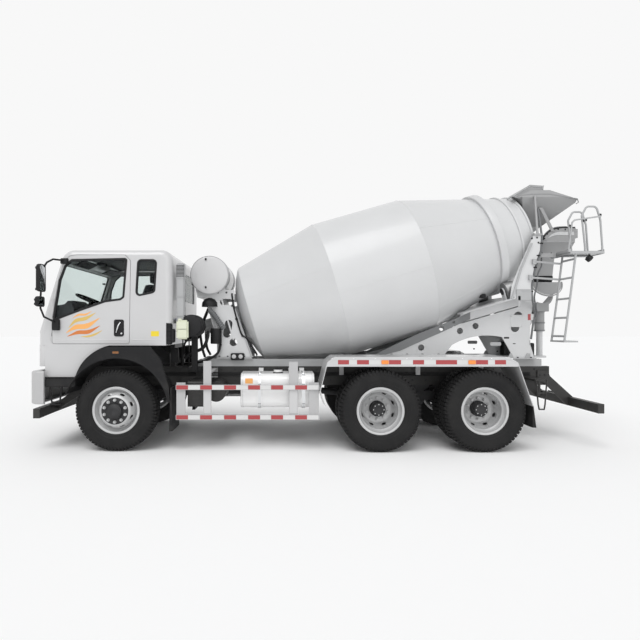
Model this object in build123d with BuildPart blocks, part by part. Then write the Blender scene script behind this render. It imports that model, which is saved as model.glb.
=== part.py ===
"""Concrete mixer truck: three axles, cab over the engine, tilted drum behind the cab.

Front of the truck towards -X, left side towards -Y, ground at Z = 0, millimetres.
"""
import os
from math import cos, pi, radians, sin

from build123d import *

# The drawing's datum lies this far behind the middle of the truck's length
DATUM_X = 19.0

# Wheels and axles
TYRE_R = 535.0
TYRE_W = 290.0
RIM_R = 286.0
RIM_HALF = 103.0
RIM_LIP_R = 305.0
RIM_WALL = 12.0
FRONT_AXLE_X = -2690.0
WHEELBASE = 3440.0
BOGIE_SPACING = 1350.0
FRONT_TYRE_Y = 1025.0
DUAL_OUTER_Y = 1090.0
DUAL_SPACING = 320.0
KINGPIN_Y = 850.0
HUB_R = 105.0
REAR_AXLE_XS = [FRONT_AXLE_X + WHEELBASE, FRONT_AXLE_X + WHEELBASE + BOGIE_SPACING]

# Chassis
RAIL_Y = 425.0
RAIL_H = 270.0
RAIL_TOP = 1060.0
RAIL_FLANGE = 80.0
RAIL_T = 10.0
RAIL_FRONT_X = -3695.0
RAIL_REAR_X = 3330.0
SUB_Z = 1164.0
SUB_FRONT_X = -1820.0
SUB_REAR_X = 3220.0
SUB_W = 90.0
SEAT = 0.3
RUN = 0.1

# Cab
CAB_Y = 1050.0
CAB_WALL = 45.0
CAB_ROOF = 2650.0
CAB_FRONT = -3745.0
CAB_REAR = -1977.0
CAB_FLOOR = 1380.0
CAB_SILL = 964.0
CAB_BACK_SILL = 1677.0
CAB_EDGE_R = 90.0
CAB_HINGE_X = -3712.0
CAB_HINGE_Z = 1105.0
DOOR_GAP = 6.0

# Drum, along its own axis from DRUM_CENTRE
DRUM_TILT = 16.39
DRUM_CENTRE = (450.0, 0.0, 2254.0)
DRUM_WALL = 8.0
DRUM_HEAD_S = -1489.0
DRUM_HEAD_R = 711.0
DRUM_BELLY_FRONT_S = -257.0
DRUM_BELLY_FRONT_R = 1023.0
DRUM_BELLY_REAR_S = 1041.0
DRUM_BELLY_REAR_R = 1013.0
RING_S = 2134.0
RING_R = 774.0
RING_W = 110.0
MOUTH_S = 2677.0
MOUTH_R = 577.0
DRUM_DISH = 190.0
DRUM_CLEAR = 30.0
RING_FOOT_R = 715.0
ROLLER_R = 120.0
ROLLER_W = 130.0
ROLLER_ANGLE = 35.0

# Drum supports
PEDESTAL_Y = 450.0
PLATE = 14.0
WATER_TANK_X = -1550.0
WATER_TANK_Z = 2362.0
WATER_TANK_R = 269.0
WATER_TANK_HALF = 550.0
REDUCER_S = -1800.0

os.makedirs("parts", exist_ok=True)
finished = {}


def keep(name, builder):
    """Centre a finished piece, label it and write it as its own file."""
    piece = builder.part.moved(Location((DATUM_X, 0, 0)))
    piece.label = name
    export_step(piece, "parts/" + name + ".step")
    finished[name] = piece


def side_plate(points, y_far, y_near, mode=Mode.ADD):
    """Polygon in X and Z, as thick as from y_far down to y_near."""
    with BuildSketch(Plane.XZ.offset(-y_far)) as sketch:
        with BuildLine():
            Polyline(*points, close=True)
        make_face()
    extrude(sketch.sketch, amount=y_far - y_near, mode=mode)


def block(x0, x1, y0, y1, z0, z1, mode=Mode.ADD):
    """Rectangular block between six planes."""
    with Locations(((x0 + x1) / 2, (y0 + y1) / 2, (z0 + z1) / 2)):
        Box(abs(x1 - x0), abs(y1 - y0), abs(z1 - z0), mode=mode)


def rod_y(x, z, y0, y1, radius, mode=Mode.ADD):
    """Round bar along Y."""
    with BuildSketch(Plane.XZ.offset(-max(y0, y1))) as sketch:
        with Locations((x, z)):
            Circle(radius)
    extrude(sketch.sketch, amount=abs(y1 - y0), mode=mode)


def bar_between(a, b, radius, mode=Mode.ADD):
    """Round bar from point a to point b."""
    start = Vector(*a)
    along = Vector(*b) - start
    with BuildSketch(Plane(origin=start, z_dir=along)) as sketch:
        Circle(radius)
    extrude(sketch.sketch, amount=along.length, mode=mode)


def bent_tube(points, radii, radius):
    """Round tube along straight runs joined by arcs."""
    with BuildLine() as path:
        FilletPolyline(*points, radius=radii)
    with BuildSketch(Plane(origin=path.line @ 0, z_dir=path.line % 0)) as section:
        Circle(radius)
    sweep(section.sketch, path=path.line)


# Drum frame: X along the axis towards the mouth, Y upwards
AXIS = Vector(cos(radians(DRUM_TILT)), 0, sin(radians(DRUM_TILT)))
DRUM_UP = Vector(-AXIS.Z, 0, AXIS.X)
drum_plane = Plane(origin=DRUM_CENTRE, x_dir=AXIS, z_dir=(0, -1, 0))
drum_axis = Axis(origin=DRUM_CENTRE, direction=AXIS)


def on_axis(s):
    """Point on the drum's axis."""
    return Vector(*DRUM_CENTRE) + AXIS * s


def drum_cross(s):
    """Plane square to the drum's axis, with X level and Y upwards."""
    return Plane(origin=on_axis(s), x_dir=(0, 1, 0), z_dir=AXIS)


# Frame rails: two channels that open inwards
with BuildPart() as frame_rails:
    with BuildSketch(Plane.YZ.offset(RAIL_FRONT_X)):
        with Locations((-RAIL_Y + RAIL_FLANGE / 2, RAIL_TOP - RAIL_H / 2)):
            Rectangle(RAIL_FLANGE, RAIL_H)
        with Locations((-RAIL_Y + RAIL_T + RAIL_FLANGE / 2, RAIL_TOP - RAIL_H / 2)):
            Rectangle(RAIL_FLANGE, RAIL_H - 2 * RAIL_T, mode=Mode.SUBTRACT)
    extrude(amount=RAIL_REAR_X - RAIL_FRONT_X)
    mirror(about=Plane.XZ)
keep("frame_rails", frame_rails)

# Cross members between the rails' webs, as tubes with end flanges
CROSS_XS = [RAIL_FRONT_X + 95.0, -1150.0, -520.0, 150.0, 1425.0, 2760.0, RAIL_REAR_X - 90.0]
CROSS_R = 55.0
CROSS_FLANGE_R = 90.0
with BuildPart() as cross_members:
    web_y = RAIL_Y - RAIL_T - SEAT
    for cross_x in CROSS_XS:
        cross_z = RAIL_TOP - RAIL_H / 2
        rod_y(cross_x, cross_z, -web_y, web_y, CROSS_R)
        rod_y(cross_x, cross_z, -web_y, -web_y + RAIL_T, CROSS_FLANGE_R)
        rod_y(cross_x, cross_z, web_y - RAIL_T, web_y, CROSS_FLANGE_R)
keep("cross_members", cross_members)

# Subframe under the drum's supports
with BuildPart() as subframe_rails:
    side_plate(
        [
            (SUB_FRONT_X, RAIL_TOP),
            (SUB_REAR_X, RAIL_TOP),
            (SUB_REAR_X, SUB_Z),
            (SUB_FRONT_X + 120, SUB_Z),
            (SUB_FRONT_X, RAIL_TOP + 40),
        ],
        -RAIL_Y + SUB_W,
        -RAIL_Y,
    )
    mirror(about=Plane.XZ)
keep("subframe_rails", subframe_rails)

# Engine: one plain block with a sump and four feet in the rails, and the radiator before it
ENGINE_FRONT = -3330.0
ENGINE_REAR = -2160.0
ENGINE_TOP = 1355.0
with BuildPart() as engine_block:
    side_plate(
        [
            (ENGINE_FRONT, 800),
            (ENGINE_FRONT + 150, 660),
            (ENGINE_REAR - 500, 660),
            (ENGINE_REAR - 380, 760),
            (ENGINE_REAR, 800),
            (ENGINE_REAR, ENGINE_TOP - 120),
            (ENGINE_REAR - 150, ENGINE_TOP),
            (ENGINE_FRONT, ENGINE_TOP),
        ],
        325,
        -325,
    )
    for foot_x in (ENGINE_FRONT + 180, ENGINE_REAR - 180):
        foot_y = RAIL_Y - RAIL_T - SEAT
        block(foot_x - 60, foot_x + 60, -foot_y, foot_y, 860, 950)
    block(-3520, -3420, -385, 385, RAIL_TOP + SEAT, 1345)
    block(-3520, -3420, -330, 330, 700, RAIL_TOP + SEAT)
keep("engine_and_radiator", engine_block)

# Gearbox behind the engine, tapering to its output flange
DRIVE_Z = 790.0
GEARBOX_REAR = -1240.0
with BuildPart() as gearbox:
    with BuildSketch(Plane.XZ.offset(0)):
        with BuildLine():
            Polyline(
                (ENGINE_REAR, DRIVE_Z),
                (ENGINE_REAR, DRIVE_Z + 230),
                (ENGINE_REAR + 180, DRIVE_Z + 215),
                (ENGINE_REAR + 260, DRIVE_Z + 165),
                (GEARBOX_REAR - 120, DRIVE_Z + 140),
                (GEARBOX_REAR - 90, DRIVE_Z + 80),
                (GEARBOX_REAR, DRIVE_Z + 80),
                (GEARBOX_REAR, DRIVE_Z),
                close=True,
            )
        make_face()
    revolve(axis=Axis((0, 0, DRIVE_Z), (1, 0, 0)))

# Rear axles: beam, banjo housing and pinion nose
AXLE_BEAM_R = 75.0
AXLE_BEAM_END = 560.0
DIFF_R = 215.0
PINION_X = -330.0
PINION_R = 110.0
NOSE_DIR = Vector(-1, 0, 0.25).normalized()
with BuildPart() as rear_axles:
    for axle_x in REAR_AXLE_XS:
        rod_y(axle_x, TYRE_R, -AXLE_BEAM_END, AXLE_BEAM_END, AXLE_BEAM_R)
        with Locations((axle_x, 0, TYRE_R)):
            Sphere(DIFF_R)
        with BuildSketch(Plane(origin=(axle_x, 0, TYRE_R), z_dir=NOSE_DIR)) as nose:
            Circle(PINION_R)
        extrude(nose.sketch, amount=-PINION_X, taper=6)
        for side in (-1, 1):
            rod_y(axle_x, TYRE_R, side * AXLE_BEAM_END, side * 1000, 48)
keep("rear_axles", rear_axles)

# Propeller shafts between universal joints
JOINT_R = 62.0


def shaft_between(a, b, radius):
    """Tube with a universal joint at each end."""
    bar_between(tuple(a), tuple(b), radius)
    with Locations(a, b):
        Sphere(JOINT_R)


with BuildPart() as driveline:
    add(gearbox.part)
    nose_reach = -PINION_X + SEAT + JOINT_R
    first_axle = Vector(REAR_AXLE_XS[0], 0, TYRE_R)
    second_axle = Vector(REAR_AXLE_XS[1], 0, TYRE_R)
    shaft_between(
        Vector(GEARBOX_REAR + SEAT + JOINT_R, 0, DRIVE_Z), first_axle + NOSE_DIR * nose_reach, 48
    )
    through_dir = Vector(1, 0, 0.2).normalized()
    shaft_between(
        first_axle + through_dir * (DIFF_R + SEAT + JOINT_R), second_axle + NOSE_DIR * nose_reach, 45
    )
keep("driveline", driveline)

# Front axle beam with an eye for each kingpin
KINGPIN_R = 24.0
EYE_R = 46.0
EYE_HALF = 62.0
with BuildPart() as front_axle:
    with BuildSketch(Plane.YZ.offset(FRONT_AXLE_X - 45)):
        with BuildLine():
            Polyline(
                (-KINGPIN_Y + 20, TYRE_R + 50),
                (-640, TYRE_R + 40),
                (-560, TYRE_R - 10),
                (560, TYRE_R - 10),
                (640, TYRE_R + 40),
                (KINGPIN_Y - 20, TYRE_R + 50),
                (KINGPIN_Y - 20, TYRE_R - 50),
                (620, TYRE_R - 60),
                (540, TYRE_R - 110),
                (-540, TYRE_R - 110),
                (-620, TYRE_R - 60),
                (-KINGPIN_Y + 20, TYRE_R - 50),
                close=True,
            )
        make_face()
    extrude(amount=90)
    for side in (-1, 1):
        with Locations((FRONT_AXLE_X, side * KINGPIN_Y, TYRE_R)):
            Cylinder(EYE_R, 2 * EYE_HALF)
            Cylinder(KINGPIN_R + RUN, 2 * EYE_HALF + 2, mode=Mode.SUBTRACT)
keep("front_axle", front_axle)

# Leaf springs: stacked leaves, shorter towards the axle
SPRING_Y = 385.0
SPRING_W = 75.0
LEAF_T = 18.0


def leaf_stack(centre_x, seat_z, half, leaves, sag):
    """Leaves on one axle seat, each an arc, the longest on top."""
    for index in range(leaves):
        span = half * (1 - index / (leaves + 1.5))
        lift = sag * (span / half) ** 2
        low = seat_z + (leaves - 1 - index) * LEAF_T
        with BuildSketch(Plane.XZ.offset(SPRING_Y - SPRING_W / 2)) as leaf:
            with BuildLine():
                lower = ThreePointArc(
                    (centre_x - span, low + lift), (centre_x, low), (centre_x + span, low + lift)
                )
                right = Line(lower @ 1, (centre_x + span, low + lift + LEAF_T))
                upper = ThreePointArc(
                    right @ 1, (centre_x, low + LEAF_T), (centre_x - span, low + lift + LEAF_T)
                )
                Line(upper @ 1, lower @ 0)
            make_face()
        extrude(leaf.sketch, amount=SPRING_W)


FRONT_SPRING_HALF = 700.0
with BuildPart() as front_springs:
    leaf_stack(FRONT_AXLE_X, TYRE_R - 10 + SEAT, FRONT_SPRING_HALF, 5, 110)
    for end in (-1, 1):
        hanger_x = FRONT_AXLE_X + end * FRONT_SPRING_HALF
        block(
            hanger_x - 35,
            hanger_x + 35,
            -SPRING_Y - SPRING_W / 2,
            -SPRING_Y + SPRING_W / 2,
            TYRE_R + 175,
            RAIL_TOP - RAIL_H - SEAT,
        )
    mirror(about=Plane.XZ)

REAR_SPRING_HALF = BOGIE_SPACING / 2
TRUNNION_X = (REAR_AXLE_XS[0] + REAR_AXLE_XS[1]) / 2
with BuildPart() as rear_springs:
    with BuildSketch(Plane.XZ.offset(SPRING_Y - SPRING_W / 2)):
        with BuildLine():
            Polyline(
                (TRUNNION_X - REAR_SPRING_HALF, TYRE_R + AXLE_BEAM_R + SEAT),
                (TRUNNION_X - REAR_SPRING_HALF, TYRE_R + AXLE_BEAM_R + 40),
                (TRUNNION_X - 160, TYRE_R + 170),
                (TRUNNION_X + 160, TYRE_R + 170),
                (TRUNNION_X + REAR_SPRING_HALF, TYRE_R + AXLE_BEAM_R + 40),
                (TRUNNION_X + REAR_SPRING_HALF, TYRE_R + AXLE_BEAM_R + SEAT),
                (TRUNNION_X + 160, TYRE_R + 40),
                (TRUNNION_X - 160, TYRE_R + 40),
                close=True,
            )
        make_face()
    extrude(amount=SPRING_W)
    side_plate(
        [
            (TRUNNION_X - 90, TYRE_R + 170),
            (TRUNNION_X + 90, TYRE_R + 170),
            (TRUNNION_X + 190, RAIL_TOP - RAIL_H - SEAT),
            (TRUNNION_X - 190, RAIL_TOP - RAIL_H - SEAT),
        ],
        -SPRING_Y + SPRING_W / 2,
        -SPRING_Y - SPRING_W / 2,
    )
    rod_y(TRUNNION_X, TYRE_R + 60, -SPRING_Y - SPRING_W / 2 - 40, -SPRING_Y + SPRING_W / 2, 95)
    mirror(about=Plane.XZ)
with BuildPart() as leaf_springs:
    add(front_springs.part)
    add(rear_springs.part)
keep("leaf_springs", leaf_springs)


# Steering knuckles: yoke round the beam's eye, kingpin and spindle
def knuckle(side):
    """Left (side -1) or right (side 1) steering knuckle."""
    with BuildPart() as piece:
        with Locations((FRONT_AXLE_X, side * KINGPIN_Y, TYRE_R)):
            Cylinder(KINGPIN_R, 2 * EYE_HALF + 80)
        for ear in (-1, 1):
            with Locations((FRONT_AXLE_X, side * KINGPIN_Y, TYRE_R + ear * (EYE_HALF + 5 + 20))):
                Cylinder(EYE_R, 40)
        web_in = KINGPIN_Y + EYE_R + 12
        block(
            FRONT_AXLE_X - 50,
            FRONT_AXLE_X + 50,
            side * web_in,
            side * (web_in + 26),
            TYRE_R - EYE_HALF - 45,
            TYRE_R + EYE_HALF + 45,
        )
        for ear in (-1, 1):
            low = TYRE_R + ear * (EYE_HALF + 5)
            block(
                FRONT_AXLE_X - 40,
                FRONT_AXLE_X + 40,
                side * (KINGPIN_Y + 10),
                side * (web_in + 10),
                low,
                low + ear * 40,
            )
        rod_y(FRONT_AXLE_X, TYRE_R, side * (web_in + 20), side * (FRONT_TYRE_Y + 90), 40)
    return piece


knuckle_left = knuckle(-1)
knuckle_right = knuckle(1)
keep("knuckle_left", knuckle_left)
keep("knuckle_right", knuckle_right)

# Wheel bodies: profiles are revolved about the axle, with out = +1 towards the near face
TYRE_SHOULDER = 45.0
TYRE_CROWN = 8.0


def tyre_ring(axle_x, centre_y):
    """Closed tyre: tread, shoulders, bulged walls and bead."""
    half = TYRE_W / 2
    bead = RIM_HALF - SEAT
    with BuildSketch(Plane.YZ.offset(axle_x)) as section:
        with BuildLine():
            Polyline(
                (centre_y - half + TYRE_SHOULDER, TYRE_R + TYRE_R - TYRE_CROWN),
                (centre_y - 60, 2 * TYRE_R),
                (centre_y + 60, 2 * TYRE_R),
                (centre_y + half - TYRE_SHOULDER, 2 * TYRE_R - TYRE_CROWN),
                (centre_y + half - 12, 2 * TYRE_R - TYRE_SHOULDER),
                (centre_y + half, TYRE_R + 0.74 * TYRE_R),
                (centre_y + half - 25, TYRE_R + RIM_LIP_R + 22),
                (centre_y + bead, TYRE_R + RIM_LIP_R + 3),
                (centre_y + bead, TYRE_R + RIM_R + SEAT),
                (centre_y - bead, TYRE_R + RIM_R + SEAT),
                (centre_y - bead, TYRE_R + RIM_LIP_R + 3),
                (centre_y - half + 25, TYRE_R + RIM_LIP_R + 22),
                (centre_y - half, TYRE_R + 0.74 * TYRE_R),
                (centre_y - half + 12, 2 * TYRE_R - TYRE_SHOULDER),
                close=True,
            )
        make_face()
    revolve(section.sketch, axis=Axis((axle_x, 0, TYRE_R), (0, 1, 0)))


NAVE_OFFSET = 160.0
NAVE_R = 190.0
DISC_T = 12.0


def rim_profile(axle_x, side, centre_y, outwards):
    """Rim barrel with both lips and a dished disc, outwards 1 or -1 for the way it bulges."""
    half = RIM_HALF
    points = [
        (half + 14, RIM_LIP_R),
        (half, RIM_LIP_R),
        (half, RIM_R),
        (half - 30, RIM_R - 8),
        (half - 55, RIM_R - 30),
        (-half + 55, RIM_R - 30),
        (-half + 30, RIM_R - 8),
        (-half, RIM_R),
        (-half, RIM_LIP_R),
        (-half - 14, RIM_LIP_R),
        (-half - 14, RIM_R - 1 - RIM_WALL),
        (-half + 36, RIM_R - 8 - RIM_WALL),
        (-half + 60, RIM_R - 30 - RIM_WALL),
        (half - 60, RIM_R - 30 - RIM_WALL),
        (half - 36, RIM_R - 8 - RIM_WALL),
        (half + 14, RIM_R - 1 - RIM_WALL),
    ]
    face = [
        (NAVE_OFFSET, HUB_R - 6),
        (NAVE_OFFSET, NAVE_R),
        (NAVE_OFFSET - 22, NAVE_R + 22),
        (NAVE_OFFSET - 95, RIM_R - 48),
        (NAVE_OFFSET - 125, RIM_R - 36),
    ]
    disc = [(outwards * y, r) for y, r in face]
    disc += [(outwards * (y - DISC_T), r) for y, r in reversed(face)]
    with BuildSketch(Plane.YZ.offset(axle_x)) as section:
        with BuildLine():
            Polyline(*[(side * (centre_y + y), TYRE_R + r) for y, r in points], close=True)
        make_face()
        with BuildLine():
            Polyline(
                *[
                    (side * (centre_y + y), TYRE_R + r)
                    for y, r in disc
                ],
                close=True,
            )
        make_face()
    revolve(section.sketch, axis=Axis((axle_x, 0, TYRE_R), (0, 1, 0)))


def hub_profile(axle_x, side, points):
    """Hub turned about the axle, its inner points bored for the spindle."""
    with BuildSketch(Plane.YZ.offset(axle_x)) as section:
        with BuildLine():
            Polyline(*[(side * y, TYRE_R + r) for y, r in points], close=True)
        make_face()
    revolve(section.sketch, axis=Axis((axle_x, 0, TYRE_R), (0, 1, 0)))


for side, word in ((-1, "left"), (1, "right")):
    with BuildPart() as front_tyre:
        tyre_ring(FRONT_AXLE_X, side * FRONT_TYRE_Y)
    keep("front_tyre_" + word, front_tyre)
    with BuildPart() as front_rim:
        rim_profile(FRONT_AXLE_X, side, FRONT_TYRE_Y, 1)
        hub_in = KINGPIN_Y + EYE_R + 12 + 26 + 6
        nave_in = FRONT_TYRE_Y + NAVE_OFFSET - DISC_T
        hub_profile(
            FRONT_AXLE_X,
            side,
            [
                (hub_in, 40 + RUN),
                (hub_in, 200),
                (hub_in + 90, 200),
                (hub_in + 110, HUB_R),
                (nave_in - 14, HUB_R),
                (nave_in - 14, NAVE_R - 8),
                (nave_in, NAVE_R - 8),
                (nave_in, HUB_R),
                (nave_in + 60, HUB_R - 6),
                (nave_in + 75, HUB_R - 24),
                (nave_in + 75, 0),
                (FRONT_TYRE_Y + 96, 0),
                (FRONT_TYRE_Y + 96, 40 + RUN),
            ],
        )
    keep("front_rim_" + word, front_rim)
    for number, axle_x in enumerate(REAR_AXLE_XS, start=1):
        with BuildPart() as rear_tyres:
            tyre_ring(axle_x, side * DUAL_OUTER_Y)
            tyre_ring(axle_x, side * (DUAL_OUTER_Y - DUAL_SPACING))
        keep("rear_tyres_" + word + "_" + str(number), rear_tyres)
        with BuildPart() as rear_rim:
            rim_profile(axle_x, side, DUAL_OUTER_Y, -1)
            rim_profile(axle_x, side, DUAL_OUTER_Y - DUAL_SPACING, 1)
            mate_y = DUAL_OUTER_Y - NAVE_OFFSET
            hub_profile(
                axle_x,
                side,
                [
                    (AXLE_BEAM_END + 10, 80),
                    (AXLE_BEAM_END + 10, 205),
                    (mate_y - 130, 205),
                    (mate_y - 90, HUB_R + 20),
                    (mate_y - 26, HUB_R + 20),
                    (mate_y - 26, NAVE_R - 8),
                    (mate_y - 2, NAVE_R - 8),
                    (mate_y - 2, HUB_R),
                    (mate_y + 150, HUB_R - 10),
                    (mate_y + 170, HUB_R - 30),
                    (mate_y + 170, 0),
                    (1000 + 4, 0),
                    (1000 + 4, 48 + RUN),
                    (AXLE_BEAM_END + 60, 48 + RUN),
                    (AXLE_BEAM_END + 60, 80),
                ],
            )
        keep("rear_rims_" + word + "_" + str(number), rear_rim)

# Cab: the outer body is drawn from the side, its long edges are rounded, and it is hollowed
ARCH_FRONT = (-3240.0, CAB_SILL)
ARCH_MID = (-3052.0, 1262.0)
ARCH_REAR = (-2810.0, CAB_FLOOR)
WINDSCREEN_LOW = (CAB_FRONT, 1600.0)
WINDSCREEN_TOP = (-3462.0, 2510.0)
ROOF_FRONT = (-3310.0, CAB_ROOF)
ROOF_REAR = (-2120.0, CAB_ROOF)
REAR_TOP = (CAB_REAR, 2500.0)


with BuildPart() as cab_outer:
    with BuildSketch(Plane.XZ.offset(-CAB_Y)):
        with BuildLine():
            sill = Line((-3655, CAB_SILL), ARCH_FRONT)
            arch = ThreePointArc(sill @ 1, ARCH_MID, ARCH_REAR)
            under = Polyline(
                arch @ 1, (-2057, CAB_FLOOR), (-2057, CAB_BACK_SILL), (CAB_REAR, CAB_BACK_SILL), REAR_TOP
            )
            rear_curve = TangentArc(under @ 1, ROOF_REAR, tangent=(0, 1))
            roof = Line(rear_curve @ 1, ROOF_FRONT)
            brow = ThreePointArc(roof @ 1, (-3402, 2607), WINDSCREEN_TOP)
            Polyline(brow @ 1, WINDSCREEN_LOW, (CAB_FRONT, 1385), (-3655, 1385), sill @ 0)
        make_face()
    extrude(amount=2 * CAB_Y)
    side_edges = cab_outer.edges().filter_by(lambda e: abs(abs(e.center().Y) - CAB_Y) < 1)
    round_edges = side_edges.filter_by(lambda e: e.center().Z > CAB_BACK_SILL or e.center().X < -3700)
    fillet(round_edges, radius=CAB_EDGE_R)

with BuildPart() as cab_inner:
    inset = CAB_WALL
    with BuildSketch(Plane.XZ.offset(-CAB_Y + inset)):
        with BuildLine():
            Polyline(
                (CAB_FRONT + inset, CAB_FLOOR + 70),
                (CAB_FRONT + inset, WINDSCREEN_LOW[1]),
                (WINDSCREEN_TOP[0] + inset, WINDSCREEN_TOP[1] - 10),
                (ROOF_FRONT[0] + 15, CAB_ROOF - inset),
                (ROOF_REAR[0] - 25, CAB_ROOF - inset),
                (CAB_REAR - inset, REAR_TOP[1] - 20),
                (CAB_REAR - inset, CAB_BACK_SILL + inset),
                (-2057 - inset, CAB_BACK_SILL + inset),
                (-2057 - inset, CAB_FLOOR + 70),
                close=True,
            )
        make_face()
    extrude(amount=2 * (CAB_Y - inset))

# Door outline, from the seam in front of the window to the seam behind it
DOOR_OUTLINE = [
    (-3560.0, 1405.0),
    (-3560.0, 1722.0),
    (-3474.0, 2262.0),
    (-3410.0, 2470.0),
    (-3330.0, 2560.0),
    (-3250.0, 2576.0),
    (-2600.0, 2576.0),
    (-2528.0, 2500.0),
    (-2545.0, 1405.0),
]
DOOR_WINDOW = [
    (-3543.0, 1717.0),
    (-3457.0, 2245.0),
    (-3390.0, 2425.0),
    (-3300.0, 2508.0),
    (-2580.0, 2523.0),
    (-2622.0, 2021.0),
    (-2663.0, 1992.0),
    (-2860.0, 1966.0),
    (-3193.0, 1849.0),
]
SIDE_WINDOW = [(-2423.0, 2508.0), (-2186.0, 2508.0), (-2212.0, 2088.0), (-2450.0, 2036.0)]


def outline_prism(points, y0, y1, grow, corner):
    """Prism of a rounded outline between two planes, grown outwards."""
    with BuildPart(mode=Mode.PRIVATE) as prism:
        with BuildSketch(Plane.XZ.offset(-max(y0, y1))) as shape:
            with BuildLine():
                Polyline(*points, close=True)
            make_face()
            fillet(shape.vertices(), corner)
            if grow:
                offset(amount=grow)
        extrude(shape.sketch, amount=abs(y1 - y0))
    return prism.part


# Door hinge barrels, two on each side in the seam before the door
HINGE_X = -3566.0
HINGE_Y = CAB_Y + 2.0
HINGE_R = 7.0
HINGE_ROOM = 1.5
HINGE_SPANS = [(1440.0, 1500.0), (1640.0, 1700.0)]


def hinge_barrels(side, grow, mode):
    """Upright barrels on the door's hinge line."""
    for low, high in HINGE_SPANS:
        with Locations((HINGE_X, side * HINGE_Y, (low + high) / 2)):
            Cylinder(HINGE_R + grow, high - low + 2 * grow, mode=mode)


door_hole = outline_prism(DOOR_OUTLINE, -CAB_Y - 10, -CAB_Y + CAB_WALL + 30, DOOR_GAP, 30)
door_body = outline_prism(DOOR_OUTLINE, -CAB_Y - 10, -CAB_Y + CAB_WALL, 0, 30)
door_window = outline_prism(DOOR_WINDOW, -CAB_Y - 10, -CAB_Y + CAB_WALL + 30, 0, 16)
door_pane = outline_prism(DOOR_WINDOW, -CAB_Y + 18, -CAB_Y + 24, -SEAT, 16)
side_window = outline_prism(SIDE_WINDOW, -CAB_Y - 10, -CAB_Y + CAB_WALL + 30, 0, 45)
side_pane = outline_prism(SIDE_WINDOW, -CAB_Y + 18, -CAB_Y + 24, -SEAT, 45)

# Windscreen opening, square to the slanted front
screen_foot = Vector(WINDSCREEN_LOW[0], 0, WINDSCREEN_LOW[1])
screen_dir = Vector(WINDSCREEN_TOP[0], 0, WINDSCREEN_TOP[1]) - screen_foot
screen_up = screen_dir.normalized()
SCREEN_LOW_GAP = 70.0
SCREEN_HEIGHT = screen_dir.length - 110
SCREEN_WIDTH = 2 * CAB_Y - 2 * 115
screen_centre = screen_foot + screen_up * (SCREEN_LOW_GAP + SCREEN_HEIGHT / 2)
screen_normal = Vector(-screen_up.Z, 0, screen_up.X)
screen_plane = Plane(origin=screen_centre, x_dir=(0, -1, 0), z_dir=screen_normal)

REAR_WINDOW_Z = 2210.0
REAR_WINDOW_H = 420.0
REAR_WINDOW_W = 1500.0

with BuildPart() as cab_shell:
    add(cab_outer.part)
    add(cab_inner.part, mode=Mode.SUBTRACT)
    under_y = CAB_Y - CAB_WALL
    block(-3800, -2000, -under_y, under_y, CAB_SILL - 20, CAB_FLOOR, mode=Mode.SUBTRACT)
    add(door_hole, mode=Mode.SUBTRACT)
    add(door_hole.mirror(Plane.XZ), mode=Mode.SUBTRACT)
    add(side_window, mode=Mode.SUBTRACT)
    add(side_window.mirror(Plane.XZ), mode=Mode.SUBTRACT)
    with BuildSketch(screen_plane.offset(30)):
        RectangleRounded(SCREEN_WIDTH, SCREEN_HEIGHT, 70)
    extrude(amount=-120, mode=Mode.SUBTRACT)
    with BuildSketch(Plane.YZ.offset(CAB_REAR - 100)):
        with Locations((0, REAR_WINDOW_Z)):
            RectangleRounded(REAR_WINDOW_W, REAR_WINDOW_H, 60)
    extrude(amount=150, mode=Mode.SUBTRACT)
    for side in (-1, 1):
        hinge_barrels(side, HINGE_ROOM, Mode.SUBTRACT)
    for arm_y in (-520, 520):
        side_plate(
            [
                (CAB_HINGE_X - 22, CAB_HINGE_Z - 22),
                (CAB_HINGE_X + 26, CAB_HINGE_Z - 22),
                (CAB_HINGE_X + 60, CAB_FLOOR + 10),
                (CAB_HINGE_X + 16, CAB_FLOOR + 10),
            ],
            arm_y + 30,
            arm_y - 30,
        )
        rod_y(CAB_HINGE_X, CAB_HINGE_Z, arm_y - 31, arm_y + 31, 14 + RUN, mode=Mode.SUBTRACT)
keep("cab_shell", cab_shell)

PANEL_LOW = 1102.0
PANEL_TOP = 1582.0
with BuildPart() as front_panel:
    with BuildSketch(Plane.XY.offset(PANEL_LOW)):
        with BuildLine():
            Polyline(
                (CAB_FRONT - SEAT, -955),
                (CAB_FRONT - 22, -945),
                (CAB_FRONT - 35, -900),
                (CAB_FRONT - 35, 900),
                (CAB_FRONT - 22, 945),
                (CAB_FRONT - SEAT, 955),
                close=True,
            )
        make_face()
    extrude(amount=PANEL_TOP - PANEL_LOW)
    for row in range(5):
        bar_z = 1180 + row * 62
        block(CAB_FRONT - 60, CAB_FRONT + 10, -640, 640, bar_z, bar_z + 34, mode=Mode.SUBTRACT)
keep("front_panel", front_panel)

with BuildPart() as windscreen:
    with BuildSketch(screen_plane.offset(-16)):
        RectangleRounded(SCREEN_WIDTH - 2 * SEAT, SCREEN_HEIGHT - 2 * SEAT, 70)
    extrude(amount=-7)

with BuildPart() as cab_glass:
    add(windscreen.part)
    add(side_pane)
    add(side_pane.mirror(Plane.XZ))
    with BuildSketch(Plane.YZ.offset(CAB_REAR - 22)):
        with Locations((0, REAR_WINDOW_Z)):
            RectangleRounded(REAR_WINDOW_W - 2 * SEAT, REAR_WINDOW_H - 2 * SEAT, 60)
    extrude(amount=6)
keep("cab_glass", cab_glass)

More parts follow.
